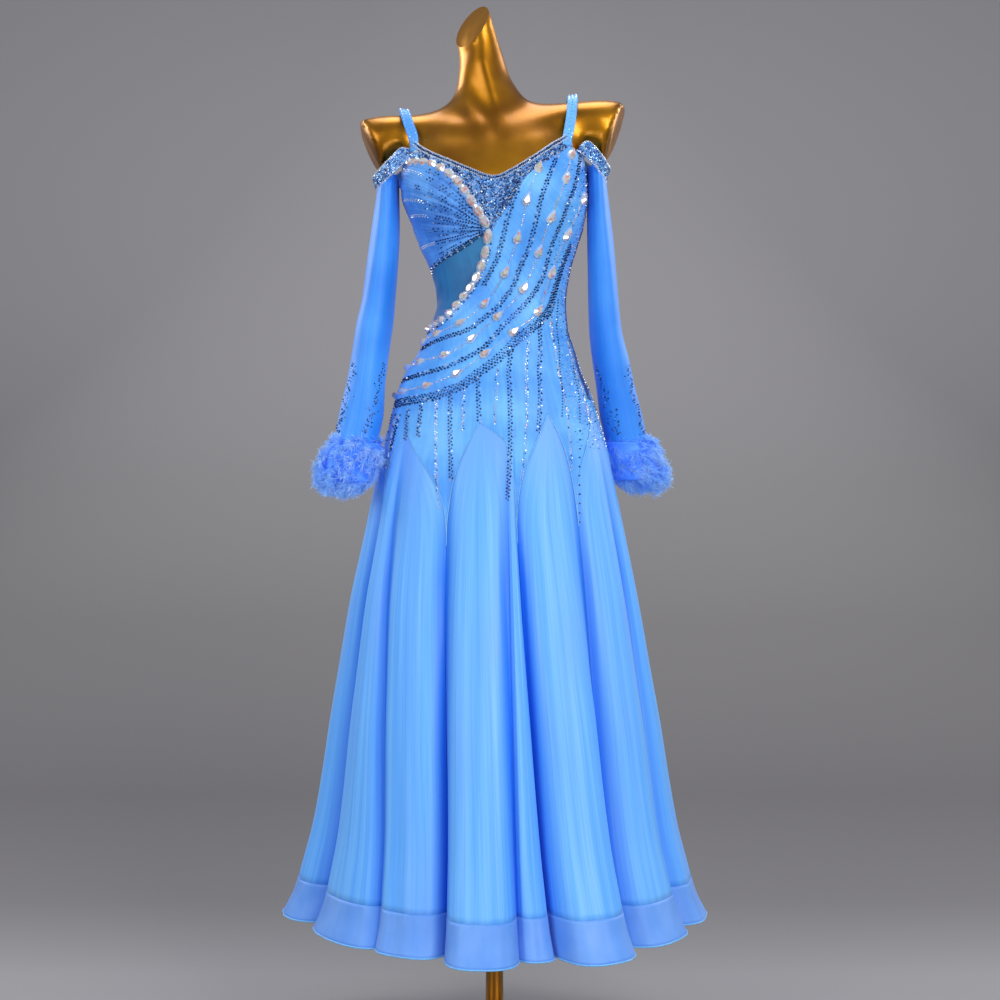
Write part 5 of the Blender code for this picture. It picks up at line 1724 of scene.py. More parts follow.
@dataclass
class Skirt:
    """The organza godets, each with its stiffened hem band and rolled edge, and the piping of their seams."""

    finishes: Finishes
    hem_band: float = 0.055
    lobe_columns: int = 26
    upper_rows: int = 34
    lower_rows: int = 50
    band_rows: int = 13
    # Rows start a small step below the apex and close up towards it by a power.
    first_step: float = 0.006
    step_power: float = 1.15
    wall: float = 0.0007
    band_wall: float = 0.0006
    piping_radius: float = 0.0008
    piping_lift: float = 0.0003
    piping_steps: int = 60
    tuck: float = 0.0005
    edge_radius: float = 0.0013
    band_lap: float = 0.0016
    band_lift: float = 0.0004
    # Painted shade in the folds: how far below the flutes' start it reaches full strength, and how much a
    # ripple's height changes it.
    fold_reach: float = 0.24
    ripple_shade: float = 60.0
    # Fine ripples: waves in a lobe, height in metres, drift down the skirt, phase.
    ripples: Table = ((5.0, 0.0016, 1.1, 0.3), (9.0, 0.0011, -1.7, 1.9), (14.0, 0.0006, 2.3, 4.0))

    def ripple(self, place: Array, height: Array) -> Array:
        """Ripples between the flutes: cosines of the place that swell and fade down the skirt.

        Args:
            place: places counted in lobes.
            height: metres above the floor.

        Returns:
            Metres moved outwards.
        """
        growth = GOWN.growth(height) ** 0.6 * (1 - GOWN.valley(place))
        total = np.zeros(np.shape(place))
        for waves, rise, drift, phase in self.ripples:
            fading = 0.55 + 0.45 * np.sin(2 * math.pi * (height * drift + place * 0.37) + phase)
            sway = 0.3 * np.sin(3 * height + phase)
            total += rise * fading * np.cos(2 * math.pi * (waves * place + sway) + phase)
        return total * growth

    def fold(self, place: Array, height: Array) -> Array:
        """Painted shade in the folds: the valleys' share, spread out low down, darker where the ripples sink in
        and lighter where they stand out.
        """
        opening = np.clip((GOWN.flutes_start - height) / self.fold_reach, 0, 1) ** 0.8
        return np.clip(GOWN.valley(place) * opening - self.ripple(place, height) * self.ripple_shade, 0, 1)

    def grid(self, index: int) -> tuple[Array, Array, Array, Array]:
        """A godet's grid, which fans out from its apex to its hip points and goes down to the hem band.

        Args:
            index: the godet's number.

        Returns:
            Places, heights, relief, and how far the fan has opened, each of them rows by columns.
        """
        godet, after = GODETS[index], GODETS[(index + 1) % len(GODETS)]
        columns = np.linspace(godet.lobe, godet.lobe + godet.count, godet.count * self.lobe_columns + 1)
        share = (columns - godet.lobe) / godet.count
        tip = godet.tip + (after.tip - godet.tip) * share
        even = np.linspace(0, 1, self.upper_rows)[:, None]
        step = self.first_step + (1 - self.first_step) * even**self.step_power
        places = godet.apex + (columns - godet.apex)[None] * HipLine().spread(step)
        heights = godet.apex_height - step * (godet.apex_height - tip)[None]
        down = np.linspace(0, 1, self.lower_rows + 1)[1:, None]
        low_heights = tip * (1 - down) + (GOWN.hem_height + self.hem_band) * down
        places = np.concatenate([places, np.broadcast_to(columns, low_heights.shape)])
        heights = np.concatenate([heights, low_heights])
        near_edge = np.zeros(len(columns))
        near_edge[[0, -1]] = 1
        near_edge[[1, -2]] = 0.6
        above = np.concatenate([1 - ease(step, 0.93, 1.0), np.zeros((self.lower_rows, 1))])
        fan = np.concatenate([ease(step, 0.1, 0.9), np.ones((self.lower_rows, 1))])
        relief = self.ripple(places, heights) - self.tuck * near_edge * above
        return places, heights, relief, np.broadcast_to(fan, places.shape)

    def build_godet(self, index: int) -> None:
        """One godet with its band and its rolled edge.

        Args:
            index: the godet's number.
        """
        godet = GODETS[index]
        places, heights, relief, fan = self.grid(index)
        points = GOWN.skirt(places, heights, relief)
        # The fold value paints shade down into the organza's folds.
        shades = {"fold": self.fold(places, heights), "fan": fan}
        name = f"godet_{godet.name}_organza"
        cloth = Cloth(name, points, self.finishes.organza, self.wall, shades=shades)
        obj = cloth.build()
        stands_for(obj, "organza", f"godet_{godet.name}")
        band_top = GOWN.hem_height + self.hem_band + self.band_lap
        levels = np.linspace(band_top, GOWN.hem_height, self.band_rows)
        low_places, low_heights = np.meshgrid(places[-1], levels)
        band_relief = self.ripple(low_places, low_heights) + self.band_lift
        band_points = GOWN.skirt(low_places, low_heights, band_relief)
        # The band's folds take the same painted shade.
        band_shades = {"fold": self.fold(low_places, low_heights)}
        name = f"hem_band_{godet.name}_crin"
        band_cloth = Cloth(name, band_points, self.finishes.crin, self.band_wall, shades=band_shades)
        band = band_cloth.build()
        stands_for(band, "hem_crin", f"hem_band_{godet.name}")
        rolled = self.finishes.rolled_edge
        edge = add_tubes(f"rolled_edge_{godet.name}", [band_points[-1]], self.edge_radius, rolled)
        stands_for(edge, "hem_crin")
        band_cloth.declare(band)
        cloth.declare(obj)

    def piping(self) -> None:
        """Thin piping along the godets' upper edges."""
        line = HipLine(steps=self.piping_steps)
        sides = [side[1:] for index in range(len(GODETS)) for side in line.godet_edges(index)]
        paths = [GOWN.skirt(side[:, 0], side[:, 1], self.piping_lift) for side in sides]
        obj = add_tubes("godet_seam_piping", paths, self.piping_radius, self.finishes.piping)
        stands_for(obj, "stretch_satin")

    def build(self) -> None:
        """Makes all godets and their piping."""
        for index in range(len(GODETS)):
            self.build_godet(index)
        self.piping()


# ---- straps, arm bands and sleeves -----------------------------------------------------------------------


@dataclass(frozen=True)
class Ribbon:
    """A flat band over a shoulder or round an arm, sewn to the bodice at both ends."""

    name: str
    node: str
    path: Table
    start: tuple[Table, ...]
    stop: tuple[Table, ...]
    across: Row
    width: float
    wall: float
    flare: float = 0.0
    gap: float = 0.0003

    def patch(self) -> Patch:
        """The band's outside: the rows sewn on at its start, the arch between, and the rows at its end."""
        path = along(self.path, np.linspace(0, 1, 13))
        tangent = unit(np.gradient(path, axis=0))
        across = np.array(self.across) - (path - (path[0] + path[-1]) / 2) * self.flare
        across = square_to(across, tangent)
        face = np.cross(tangent, across)
        face *= np.sign((face * (path - path.mean(axis=0))).sum())
        steps = np.array([-0.5, 0.0, 0.5])[None, :, None] * self.width
        arch = path[:, None] + steps * across[:, None] + face[:, None] * self.wall
        first, last = (np.array(end, float) for end in (self.start, self.stop))
        sewn = [GOWN.body(rows[..., 0], rows[..., 1], self.gap + self.wall) for rows in (first, last)]
        rows = np.concatenate([sewn[0], arch, sewn[1]])
        return Patch(np.stack([along(rows[:, k], np.linspace(0, 1, 30)) for k in range(3)], axis=1))

    def build(self, material: Material, slot: str, rests_on: Sequence[str]) -> None:
        """Makes the band's cloth, which replaces its node.

        Args:
            material: the finish.
            slot: the record's material slot; not used.
            rests_on: the panels it is sewn to; not used.
        """
        core = np.array(self.path, float).mean(axis=0)[:2]
        cloth = Cloth(self.name, self.patch().fine(110, 9), material, self.wall, core=core)
        obj = cloth.build()
        stands_for(obj, slot, self.node)
        cloth.declare(obj)


def strap_rows(middles: Table, half_angle: float) -> tuple[Table, ...]:
    """Rows of three (angle, height) across a strap, from its right edge to its left."""
    steps = (-half_angle, 0.0, half_angle)
    return tuple(tuple((angle + step, height) for step in steps) for angle, height in middles)


STRAP_WIDTH = 0.016
STRAP_WALL = 0.0015
BAND_WIDTH = 0.022
BAND_WALL = 0.002
# Half of a strap's width as degrees round the chest.
STRAP_HALF = math.degrees(STRAP_WIDTH / 2 / 0.12)
STRAPS = (
    Ribbon(
        "strap_right_satin",
        "strap_right",
        (
            (-0.1270, -0.0585, 1.4470), (-0.1350, -0.0555, 1.4700), (-0.1420, -0.0380, 1.4930),
            (-0.1440, 0.0020, 1.5010), (-0.1420, 0.0400, 1.4930), (-0.1320, 0.0640, 1.4700),
            (-0.1060, 0.0785, 1.4400),
        ),
        strap_rows(((-61.0, 1.424), (-62.0, 1.433)), STRAP_HALF * 1.45),
        strap_rows(((227.0, 1.428), (227.0, 1.418)), -STRAP_HALF),
        (1.0, 0.0, -0.12),
        STRAP_WIDTH,
        STRAP_WALL,
    ),
    Ribbon(
        "strap_left_satin",
        "strap_left",
        (
            (0.1155, -0.0600, 1.4535), (0.1200, -0.0585, 1.4800), (0.1230, -0.0400, 1.5125),
            (0.1240, 0.0020, 1.5235), (0.1220, 0.0420, 1.5125), (0.1150, 0.0640, 1.4800),
            (0.1000, 0.0790, 1.4440),
        ),
        strap_rows(((54.0, 1.432), (55.0, 1.440)), STRAP_HALF * 1.4),
        strap_rows(((133.0, 1.432), (133.0, 1.421)), -STRAP_HALF),
        (1.0, 0.0, 0.12),
        STRAP_WIDTH,
        STRAP_WALL,
    ),
)
ARM_BANDS = (
    Ribbon(
        "arm_band_right_ground",
        "arm_band_right",
        (
            (-0.1370, 0.0680, 1.4180), (-0.1580, 0.0620, 1.4030), (-0.1780, 0.0420, 1.3880),
            (-0.1895, 0.0, 1.3840), (-0.1780, -0.0420, 1.3880), (-0.1580, -0.0600, 1.4040),
            (-0.1390, -0.0635, 1.4210),
        ),
        (((236.0, 1.4268), (240.0, 1.4298), (244.0, 1.4332)),),
        (((-63.4, 1.4138), (-64.9, 1.4210), (-66.2, 1.4282)),),
        (-0.35, 0.0, 1.0),
        BAND_WIDTH,
        BAND_WALL,
        flare=0.5,
    ),
    Ribbon(
        "arm_band_left_ground",
        "arm_band_left",
        (
            (0.1380, 0.0670, 1.4300), (0.1560, 0.0600, 1.4160), (0.1700, 0.0420, 1.4030),
            (0.1795, 0.0, 1.3990), (0.1700, -0.0420, 1.4030), (0.1560, -0.0570, 1.4180),
            (0.1390, -0.0570, 1.4330),
        ),
        (((124.0, 1.4330), (120.0, 1.4360), (116.0, 1.4390)),),
        (((62.0, 1.4260), (66.0, 1.4290), (70.0, 1.4335)),),
        (0.35, 0.0, 1.0),
        BAND_WIDTH,
        BAND_WALL,
        flare=0.5,
    ),
)


@dataclass(frozen=True)
class Sleeve:
    """An open satin tube below the arm band, gathered at its top, that ends inside the feather cuff."""

    side: str
    # Height, centre x and y, half-width and half-depth of a section.
    sections: Table
    rise: float = 0.010
    rise_start: float = 1.30
    rows: int = 74
    columns: int = 56
    gathers: int = 15
    gather_height: float = 0.0011
    gather_reach: float = 0.040
    # Long soft folds: how many round, height in metres, drift over the sleeve, phase.
    folds: Table = ((2.0, 0.0010, 0.9, 0.6), (3.0, 0.0009, -1.3, 2.1), (5.0, 0.0004, 1.8, 4.4))
    top_rows: int = 9
    tucked: float = 0.0030
    # Where the top follows the arm band: shares along it, how many points, the share across it.
    band_ends: Row = (0.10, 0.90)
    band_points: int = 40
    band_across: float = 0.24
    # Beyond the band's ends the top fades, over these radians, to a ring this much higher.
    follow_fade: float = 0.5
    under_rise: float = 0.006
    inset: float = 0.0004
    wall: float = 0.0009

    @property
    def away(self) -> float:
        """Direction along x away from the body."""
        return math.copysign(1.0, self.sections[0][1])

    def point(self, height: Array, turn: Array, out: Array | float = 0.0) -> Array:
        """Points round the sleeve; turn 0 is its outer side, and its top rises towards the body.

        Args:
            height: metres above the floor.
            turn: radians round the section.
            out: metres moved outwards.

        Returns:
            Points, one more axis than the height.
        """
        table = np.array(self.sections)
        x, y, wide, deep = (smooth_curve(table[:, 0], table[:, k], height) for k in range(1, 5))
        near_top = np.clip((height - self.rise_start) / (table[-1, 0] - self.rise_start), 0, 1) ** 2
        x = x + self.away * (wide + out) * np.cos(turn)
        z = height + self.rise * near_top * (1 - np.cos(turn))
        return np.stack([x, y + (deep + out) * np.sin(turn), z], axis=-1)

    def relief(self, height: Array, turn: Array) -> Array:
        """Gathers that fade below the band, and long folds that fade towards the cuff, both of them cosines.

        Args:
            height: metres above the floor.
            turn: radians round the section.

        Returns:
            Metres moved outwards.
        """
        bottom, top = self.sections[0][0], self.sections[-1][0]
        gather = np.cos(self.gathers * turn + 2.2 * np.sin(2 * turn + 1))
        gather = gather * np.exp((height - top) / self.gather_reach)
        share = (height - bottom) / (top - bottom)
        total = self.gather_height * gather
        for count, rise, drift, phase in self.folds:
            wave = np.cos(count * turn + 2 * math.pi * drift * share + phase)
            total = total + rise * wave * np.sin(math.pi * np.clip(share * 0.8 + 0.15, 0, 1))
        return total - self.inset

    def gathered_top(self, last: Array, turn: Array, band: Ribbon) -> Array:
        """Rows from the tube's last ring up inside the arm band, which they follow from front to back.

        Args:
            last: the tube's uppermost ring.
            turn: radians round the section.
            band: the arm band above it.

        Returns:
            The rows that follow the ring.
        """
        share = np.linspace(*self.band_ends, self.band_points)
        line = band.patch().at(share, np.full(self.band_points, self.band_across))
        middle = last.mean(axis=0)
        line[:, :2] += unit(middle[:2] - line[:, :2]) * self.tucked
        facing = np.arctan2(line[:, 1] - middle[1], self.away * (line[:, 0] - middle[0]))
        order = np.argsort(facing)
        facing, line = facing[order], line[order]
        wrapped = (turn + math.pi) % (2 * math.pi) - math.pi
        target = np.stack([np.interp(wrapped, facing, line[:, k]) for k in range(3)], axis=-1)
        beyond = np.maximum(facing[0] - wrapped, wrapped - facing[-1])
        follow = (1 - ease(beyond, 0.0, self.follow_fade))[:, None]
        target = follow * target + (1 - follow) * (last + (0.0, 0.0, self.under_rise))
        step = np.linspace(0, 1, self.top_rows + 1)[1:, None, None]
        return last[None] * (1 - step) + target[None] * step

    def build(self, material: Material, band: Ribbon) -> None:
        """Makes the sleeve's cloth, which replaces its node and runs up inside its arm band.

        Args:
            material: the finish.
            band: the arm band.
        """
        heights = np.linspace(self.sections[0][0], self.sections[-1][0], self.rows)
        turn = np.linspace(0, 2 * math.pi, self.columns, endpoint=False)
        height, turns = np.meshgrid(heights, turn, indexing="ij")
        grid = self.point(height, turns, self.relief(height, turns))
        grid = np.concatenate([grid, self.gathered_top(grid[-1], turn, band)])
        core = grid.mean(axis=1)[:, :2]
        cloth = Cloth(f"sleeve_{self.side}_satin", grid, material, self.wall, around=True, core=core)
        obj = cloth.build()
        stands_for(obj, "sleeve_satin", f"sleeve_{self.side}")
        cloth.declare(obj)


SLEEVES = (
    Sleeve(
        "right",
        (
            (0.930, -0.2290, -0.0480, 0.0330, 0.0350), (0.970, -0.2185, -0.0430, 0.0345, 0.0380),
            (1.008, -0.2100, -0.0370, 0.0356, 0.0410), (1.072, -0.2016, -0.0270, 0.0312, 0.0440),
            (1.104, -0.1980, -0.0220, 0.0307, 0.0460), (1.152, -0.1924, -0.0160, 0.0308, 0.0490),
            (1.200, -0.1852, -0.0100, 0.0276, 0.0510), (1.250, -0.1795, -0.0060, 0.0258, 0.0530),
            (1.312, -0.1736, -0.0020, 0.0224, 0.0545), (1.3699, -0.1700, 0.0000, 0.0170, 0.0520),
        ),
    ),
    Sleeve(
        "left",
        (
            (0.930, 0.2300, 0.0470, 0.0330, 0.0350), (0.970, 0.2160, 0.0420, 0.0345, 0.0380),
            (1.008, 0.2060, 0.0360, 0.0348, 0.0410), (1.072, 0.1930, 0.0260, 0.0315, 0.0440),
            (1.104, 0.1876, 0.0210, 0.0308, 0.0460), (1.152, 0.1796, 0.0150, 0.0276, 0.0490),
            (1.232, 0.1736, 0.0070, 0.0240, 0.0520), (1.312, 0.1680, 0.0020, 0.0200, 0.0545),
            (1.3845, 0.1630, 0.0000, 0.0150, 0.0510),
        ),
    ),
)


# ---- the feather cuffs -----------------------------------------------------------------------------------


@dataclass(frozen=True)
class FeatherCuff:
    """A ring of down round a sleeve's end: a soft core on the cloth, and plumes that stand out all round."""

    sleeve: Sleeve
    middle: Row
    reach: float
    # How far the cuff's axis moves in x and y for each metre up, along the sleeve.
    lean: Row
    half: float = 0.054
    clearance: float = 0.0018
    wall: float = 0.0010
    belly: float = 0.0032
    top: float = 0.56
    bottom: float = -0.58
    plumes: int = 290
    barbs: int = 26
    plume_points: int = 5
    barb_length: float = 0.021
    barb_radius: float = 0.00044
    # The core's place on the down's colour ramp: the deep root colour, painted shade under the plumes.
    core_painted_shade: float = 0.12
    core_columns: int = 72
    bore_rows: int = 8
    outer_rows: int = 22
    # Tufts of the core: how many round, their share of its thickness, their turn over its height.
    tufts: Table = ((7, 0.10, 9.0), (13, 0.08, -5.0))
    # Plumes: lowest and highest direction, least reach, share of the core's thickness at their roots.
    lowest: float = -0.97
    highest: float = 0.95
    least_reach: float = 0.82
    root_margin: float = 0.04
    root_share: float = 0.7
    # Roots that face down further than this move in under the sleeve's end, this fast.
    under_from: float = 0.62
    under_share: float = 2.2
    # Drift and droop of a plume's end, and the power by which both grow.
    drift: float = 0.008
    droop: float = -0.006
    bend_power: float = 1.6
    # Barbs: the parts of their direction ahead, sideways and random, then of their curl, the last one down.
    way: Row = (0.95, 0.60, 0.42)
    curl: Row = (0.25, 0.28, -0.22)
    barb_range: Row = (0.5, 1.15)
    barb_points: int = 4
    barb_taper: Row = (1.0, 0.9, 0.65)
    shade_spread: float = 0.10
    # The rounded barrel's power; how far past it plumes and single barbs reach; where they are held back.
    barrel_power: float = 2.8
    plume_limits: Row = (0.88, 1.12)
    barb_limits: Row = (0.90, 1.10)
    hold_from: float = 0.85
    hold_room: float = 0.15
    seed: int = 5

    def skin(self, turn: Array, share: Array, out: Array | float) -> Array:
        """Points off the sleeve's outside, at a share of the half-height and a distance from the cloth."""
        height = self.middle[2] + self.half * np.asarray(share, float)
        point = self.sleeve.point(np.maximum(height, self.sleeve.sections[0][0]), turn, self.clearance + out)
        point[..., 2] = height
        return point

    def thickness(self, turn: Array, share: Array) -> Array:
        """The core's thickness: thin at both ends, tufted in the middle."""
        middle, half = (self.top + self.bottom) / 2, (self.top - self.bottom) / 2
        bulge = np.sqrt(np.clip(1 - ((share - middle) / half) ** 2, 0, 1))
        tuft = 1 + sum(part * np.cos(count * turn + share * twist) for count, part, twist in self.tufts)
        return self.wall + self.belly * bulge * tuft

    def core_grid(self) -> Array:
        """Rings up the bore and down the tufted outside."""
        turn = np.linspace(0, 2 * math.pi, self.core_columns, endpoint=False)
        up = np.linspace(self.bottom, self.top, self.bore_rows)
        down = np.linspace(self.top - 0.01, self.bottom + 0.01, self.outer_rows)
        bore, outer = (np.repeat(shares[:, None], self.core_columns, axis=1) for shares in (up, down))
        outside = self.skin(turn, outer, self.thickness(turn, outer))
        return np.concatenate([self.skin(turn, bore, 0.0), outside])

    def plume_lines(self, rng: np.random.Generator) -> tuple[Array, Array]:
        """Middle lines of the plumes: from the core out to the barrel, bent aside and down by a power.

        Args:
            rng: the random numbers.

        Returns:
            The lines' points, and a direction across each plume.
        """
        count = self.plumes
        turn = rng.uniform(0, 2 * math.pi, count)
        rise = np.clip(rng.uniform(-1.0, 1.0, count) * -self.lowest, self.lowest, self.highest)
        level = np.sqrt(1 - rise**2)
        away = self.sleeve.away
        facing = np.stack([away * np.cos(turn) * level, np.sin(turn) * level, rise], axis=-1)
        share = np.clip(rise, self.bottom + self.root_margin, self.top - self.root_margin)
        root = self.skin(turn, share, self.thickness(turn, share) * self.root_share)
        low = np.clip(-rise - self.under_from, 0, 1)[:, None] * self.under_share
        root[:, :2] += (np.array(self.middle[:2]) - root[:, :2]) * low
        size = np.array([self.reach, self.reach, self.half]) * rng.uniform(self.least_reach, 1.0, (count, 1))
        end = np.array(self.middle) + facing / self.far_out(facing) * size
        end[:, :2] += (end[:, 2:] - self.middle[2]) * np.array(self.lean)
        drift = unit(np.cross(facing, rng.normal(size=(count, 3))))
        step = np.linspace(0, 1, self.plume_points)[None, :, None]
        bend = step**self.bend_power
        hang = np.array([0.0, 0.0, self.droop]) * bend
        lines = root[:, None] * (1 - step) + end[:, None] * step + drift[:, None] * bend * self.drift + hang
        return lines, unit(np.cross(facing, drift))

    def barb_lines(self, rng: np.random.Generator) -> tuple[Array, Array]:
        """Curved lines of every barb, which are shorter towards the plume's end.

        Args:
            rng: the random numbers.

        Returns:
            The barbs' points, and how far out along its plume and its barb each point is.
        """
        lines, across = self.plume_lines(rng)
        last = self.plume_points - 1
        where = rng.uniform(0, last, (self.plumes, self.barbs))
        index = np.clip(where.astype(int), 0, last - 1)
        part = (where - index)[..., None]
        plume = np.arange(self.plumes)[:, None]
        root = lines[plume, index] * (1 - part) + lines[plume, index + 1] * part
        ahead = unit(lines[:, -1] - lines[:, 0])[:, None]
        side = across[:, None] * rng.choice([-1.0, 1.0], (self.plumes, self.barbs))[..., None]
        along_plume, sideways, loose = self.way
        way = unit(ahead * along_plume + side * sideways + rng.normal(size=root.shape) * loose)
        length = self.barb_length * (1.05 - 0.45 * where / last) * rng.uniform(*self.barb_range, where.shape)
        share = np.linspace(0, 1, self.barb_points)[None, None, :, None]
        onwards, loose, down = self.curl
        curl = (ahead * onwards + rng.normal(size=root.shape) * loose)[:, :, None] + (0.0, 0.0, down)
        path = root[:, :, None] + length[..., None, None] * (way[:, :, None] * share + curl * share**2)
        uneven = rng.normal(size=(self.plumes, 1, 1)) * self.shade_spread
        out = 0.5 * where[..., None] / last + 0.5 * share[..., 0] + uneven
        limit = np.repeat(rng.uniform(*self.plume_limits, self.plumes), self.barbs)[:, None, None]
        limit = limit * rng.uniform(*self.barb_limits, (self.plumes * self.barbs, 1, 1))
        path = path.reshape(-1, self.barb_points, 3)
        return self.kept_inside(path, limit), out.reshape(-1, self.barb_points)

    def far_out(self, off: Array) -> Array:
        """How far out points lie in the cuff's rounded barrel, whose surface is at 1."""
        level, power = np.linalg.norm(off[..., :2], axis=-1, keepdims=True), self.barrel_power
        return (level**power + np.abs(off[..., 2:]) ** power) ** (1 / power) + 1e-9

    def kept_inside(self, path: Array, limit: Array) -> Array:
        """Draws points that would pass the cuff's barrel back towards its middle, by a hyperbolic tangent.

        Args:
            path: points of the barbs.
            limit: each barb's own share of the barrel's size.

        Returns:
            The points, moved.
        """
        middle = np.broadcast_to(np.array(self.middle), path.shape).copy()
        middle[..., :2] += (path[..., 2:] - self.middle[2]) * np.array(self.lean)
        size = np.array([self.reach, self.reach, self.half]) * limit
        off = (path - middle) / size
        far, start, room = self.far_out(off), self.hold_from, self.hold_room
        held = start + room * np.tanh((far - start) / room)
        return middle + off * size * np.where(far > start, held / far, 1.0)

    def build(self, material: Material) -> None:
        """Makes the core, which replaces the cuff's node, and its barbs as one mesh.

        A barb is three rings of three points, narrower each time, and a tip.

        Args:
            material: the finish.
        """
        grid = self.core_grid()
        rows, columns = grid.shape[:2]
        faces = [grid_quads(rows, columns, around=True), closing_quads(rows, columns)]
        # The core takes the deep root colour of the painted shade.
        shades = {"out": np.full(rows * columns, self.core_painted_shade)}
        name = f"feather_cuff_{self.sleeve.side}"
        core = add_mesh(f"{name}_core", grid, faces, material, shades=shades)
        turn_faces_out(core.data)
        stands_for(core, "marabou", name)
        path, out = self.barb_lines(np.random.default_rng(self.seed))
        tangent = unit(np.gradient(path, axis=1))
        side = unit(np.cross(tangent, (0.31, 0.52, 0.79)))
        up = np.cross(side, tangent)
        turn = np.radians([90, 210, 330])[None, None, :, None]
        thin = np.array(self.barb_taper)[None, :, None, None] * self.barb_radius
        rings = path[:, :3, None] + thin * (np.cos(turn) * side[:, :3, None] + np.sin(turn) * up[:, :3, None])
        points = np.concatenate([rings.reshape(len(path), -1, 3), path[:, 3:]], axis=1)
        base = np.arange(len(path))[:, None, None] * points.shape[1]
        tube = grid_quads(3, 3, around=True)[None] + base
        tip = np.array([[6, 7, 9], [7, 8, 9], [8, 6, 9], [2, 1, 0]])[None] + base
        shades = {"out": np.clip(np.repeat(out, (3, 3, 3, 1), axis=1), 0, 1)}
        faces = [tube.reshape(-1, 4), tip.reshape(-1, 3)]
        barbs = add_mesh(f"{name}_barbs", points, faces, material, shades=shades)
        stands_for(barbs, "marabou")


CUFFS = (
    FeatherCuff(SLEEVES[0], (-0.2290, -0.0540, 0.9390), 0.0525, (0.26, 0.12), seed=5),
    FeatherCuff(SLEEVES[1], (0.2335, 0.0490, 0.9430), 0.0520, (-0.33, -0.12), seed=11),
)


# ---- stones ----------------------------------------------------------------------------------------------


def even_outline(corners: int) -> Table:
    """Corners of an even outline 1 across, clockwise from its top."""
    turns = np.radians(np.arange(90, -270, -360 // corners))
    return tuple((0.5 * math.cos(turn), 0.5 * math.sin(turn)) for turn in turns)


class Cut(Enum):
    """Outlines of a stone: corners of its girdle at width and length 1, from its pointed or upper end."""

    ROUND = even_outline(6)
    FACETED = even_outline(9)
    PEAR = (
        (0.0, 0.5), (0.20, 0.26), (0.40, -0.02), (0.47, -0.24), (0.33, -0.43), (0.0, -0.5),
        (-0.33, -0.43), (-0.47, -0.24), (-0.40, -0.02), (-0.20, 0.26),
    )
    OVAL = even_outline(10)

    def template(self) -> tuple[Array, list[Array]]:
        """A closed gem of width, length and height 1.

        Returns:
            The points of its table, girdle and foot, and its faces by their number of corners.
        """
        outline = np.array(self.value)
        count = len(outline)
        levels = ((0.52, 1.0), (1.0, 0.38), (1.0, 0.0))
        points = [np.insert(outline * share, 2, level, axis=1) for share, level in levels]
        quads = grid_quads(len(levels), count, around=True)
        return np.concatenate(points), [quads[:, ::-1], np.concatenate(end_caps(len(levels), count))]


@dataclass
class Seats:
    """Places where stones sit: middles, outward directions and directions along their rows."""

    middle: Array
    out: Array
    ahead: Array

    @staticmethod
    def on_gown(spots: Array, lift: Array | float = 0.0, upright: bool = False) -> "Seats":
        """Seats at rows of (angle, height), along their order or upright."""
        middle = GOWN.at(spots, lift)
        out = unit(GOWN.at(spots, 0.002) - GOWN.at(spots, 0.0))
        ahead = np.tile(UPRIGHT, (len(spots), 1)) if upright else np.gradient(middle, axis=0)
        return Seats(middle, out, square_to(ahead, out))

    @staticmethod
    def in_row(line: Sequence[Row], pitch: float, lift: float) -> "Seats":
        """Seats along a line of (angle, height) at about a pitch.

        Args:
            line: the line's points.
            pitch: metres between seats.
            lift: metres above the cloth.

        Returns:
            The seats.
        """
        length = line_length(GOWN.at(along(line, np.linspace(0, 1, 160))))
        return Seats.on_gown(along(line, np.linspace(0, 1, max(2, round(length / pitch) + 1))), lift)

    def moved(self, across: Array | float) -> "Seats":
        """The seats moved across their rows."""
        shift = np.broadcast_to(across, len(self.middle))[:, None]
        return Seats(self.middle + np.cross(self.ahead, self.out) * shift, self.out, self.ahead)

    def only(self, keep: Array) -> "Seats":
        """The seats that keep picks out."""
        return Seats(self.middle[keep], self.out[keep], self.ahead[keep])


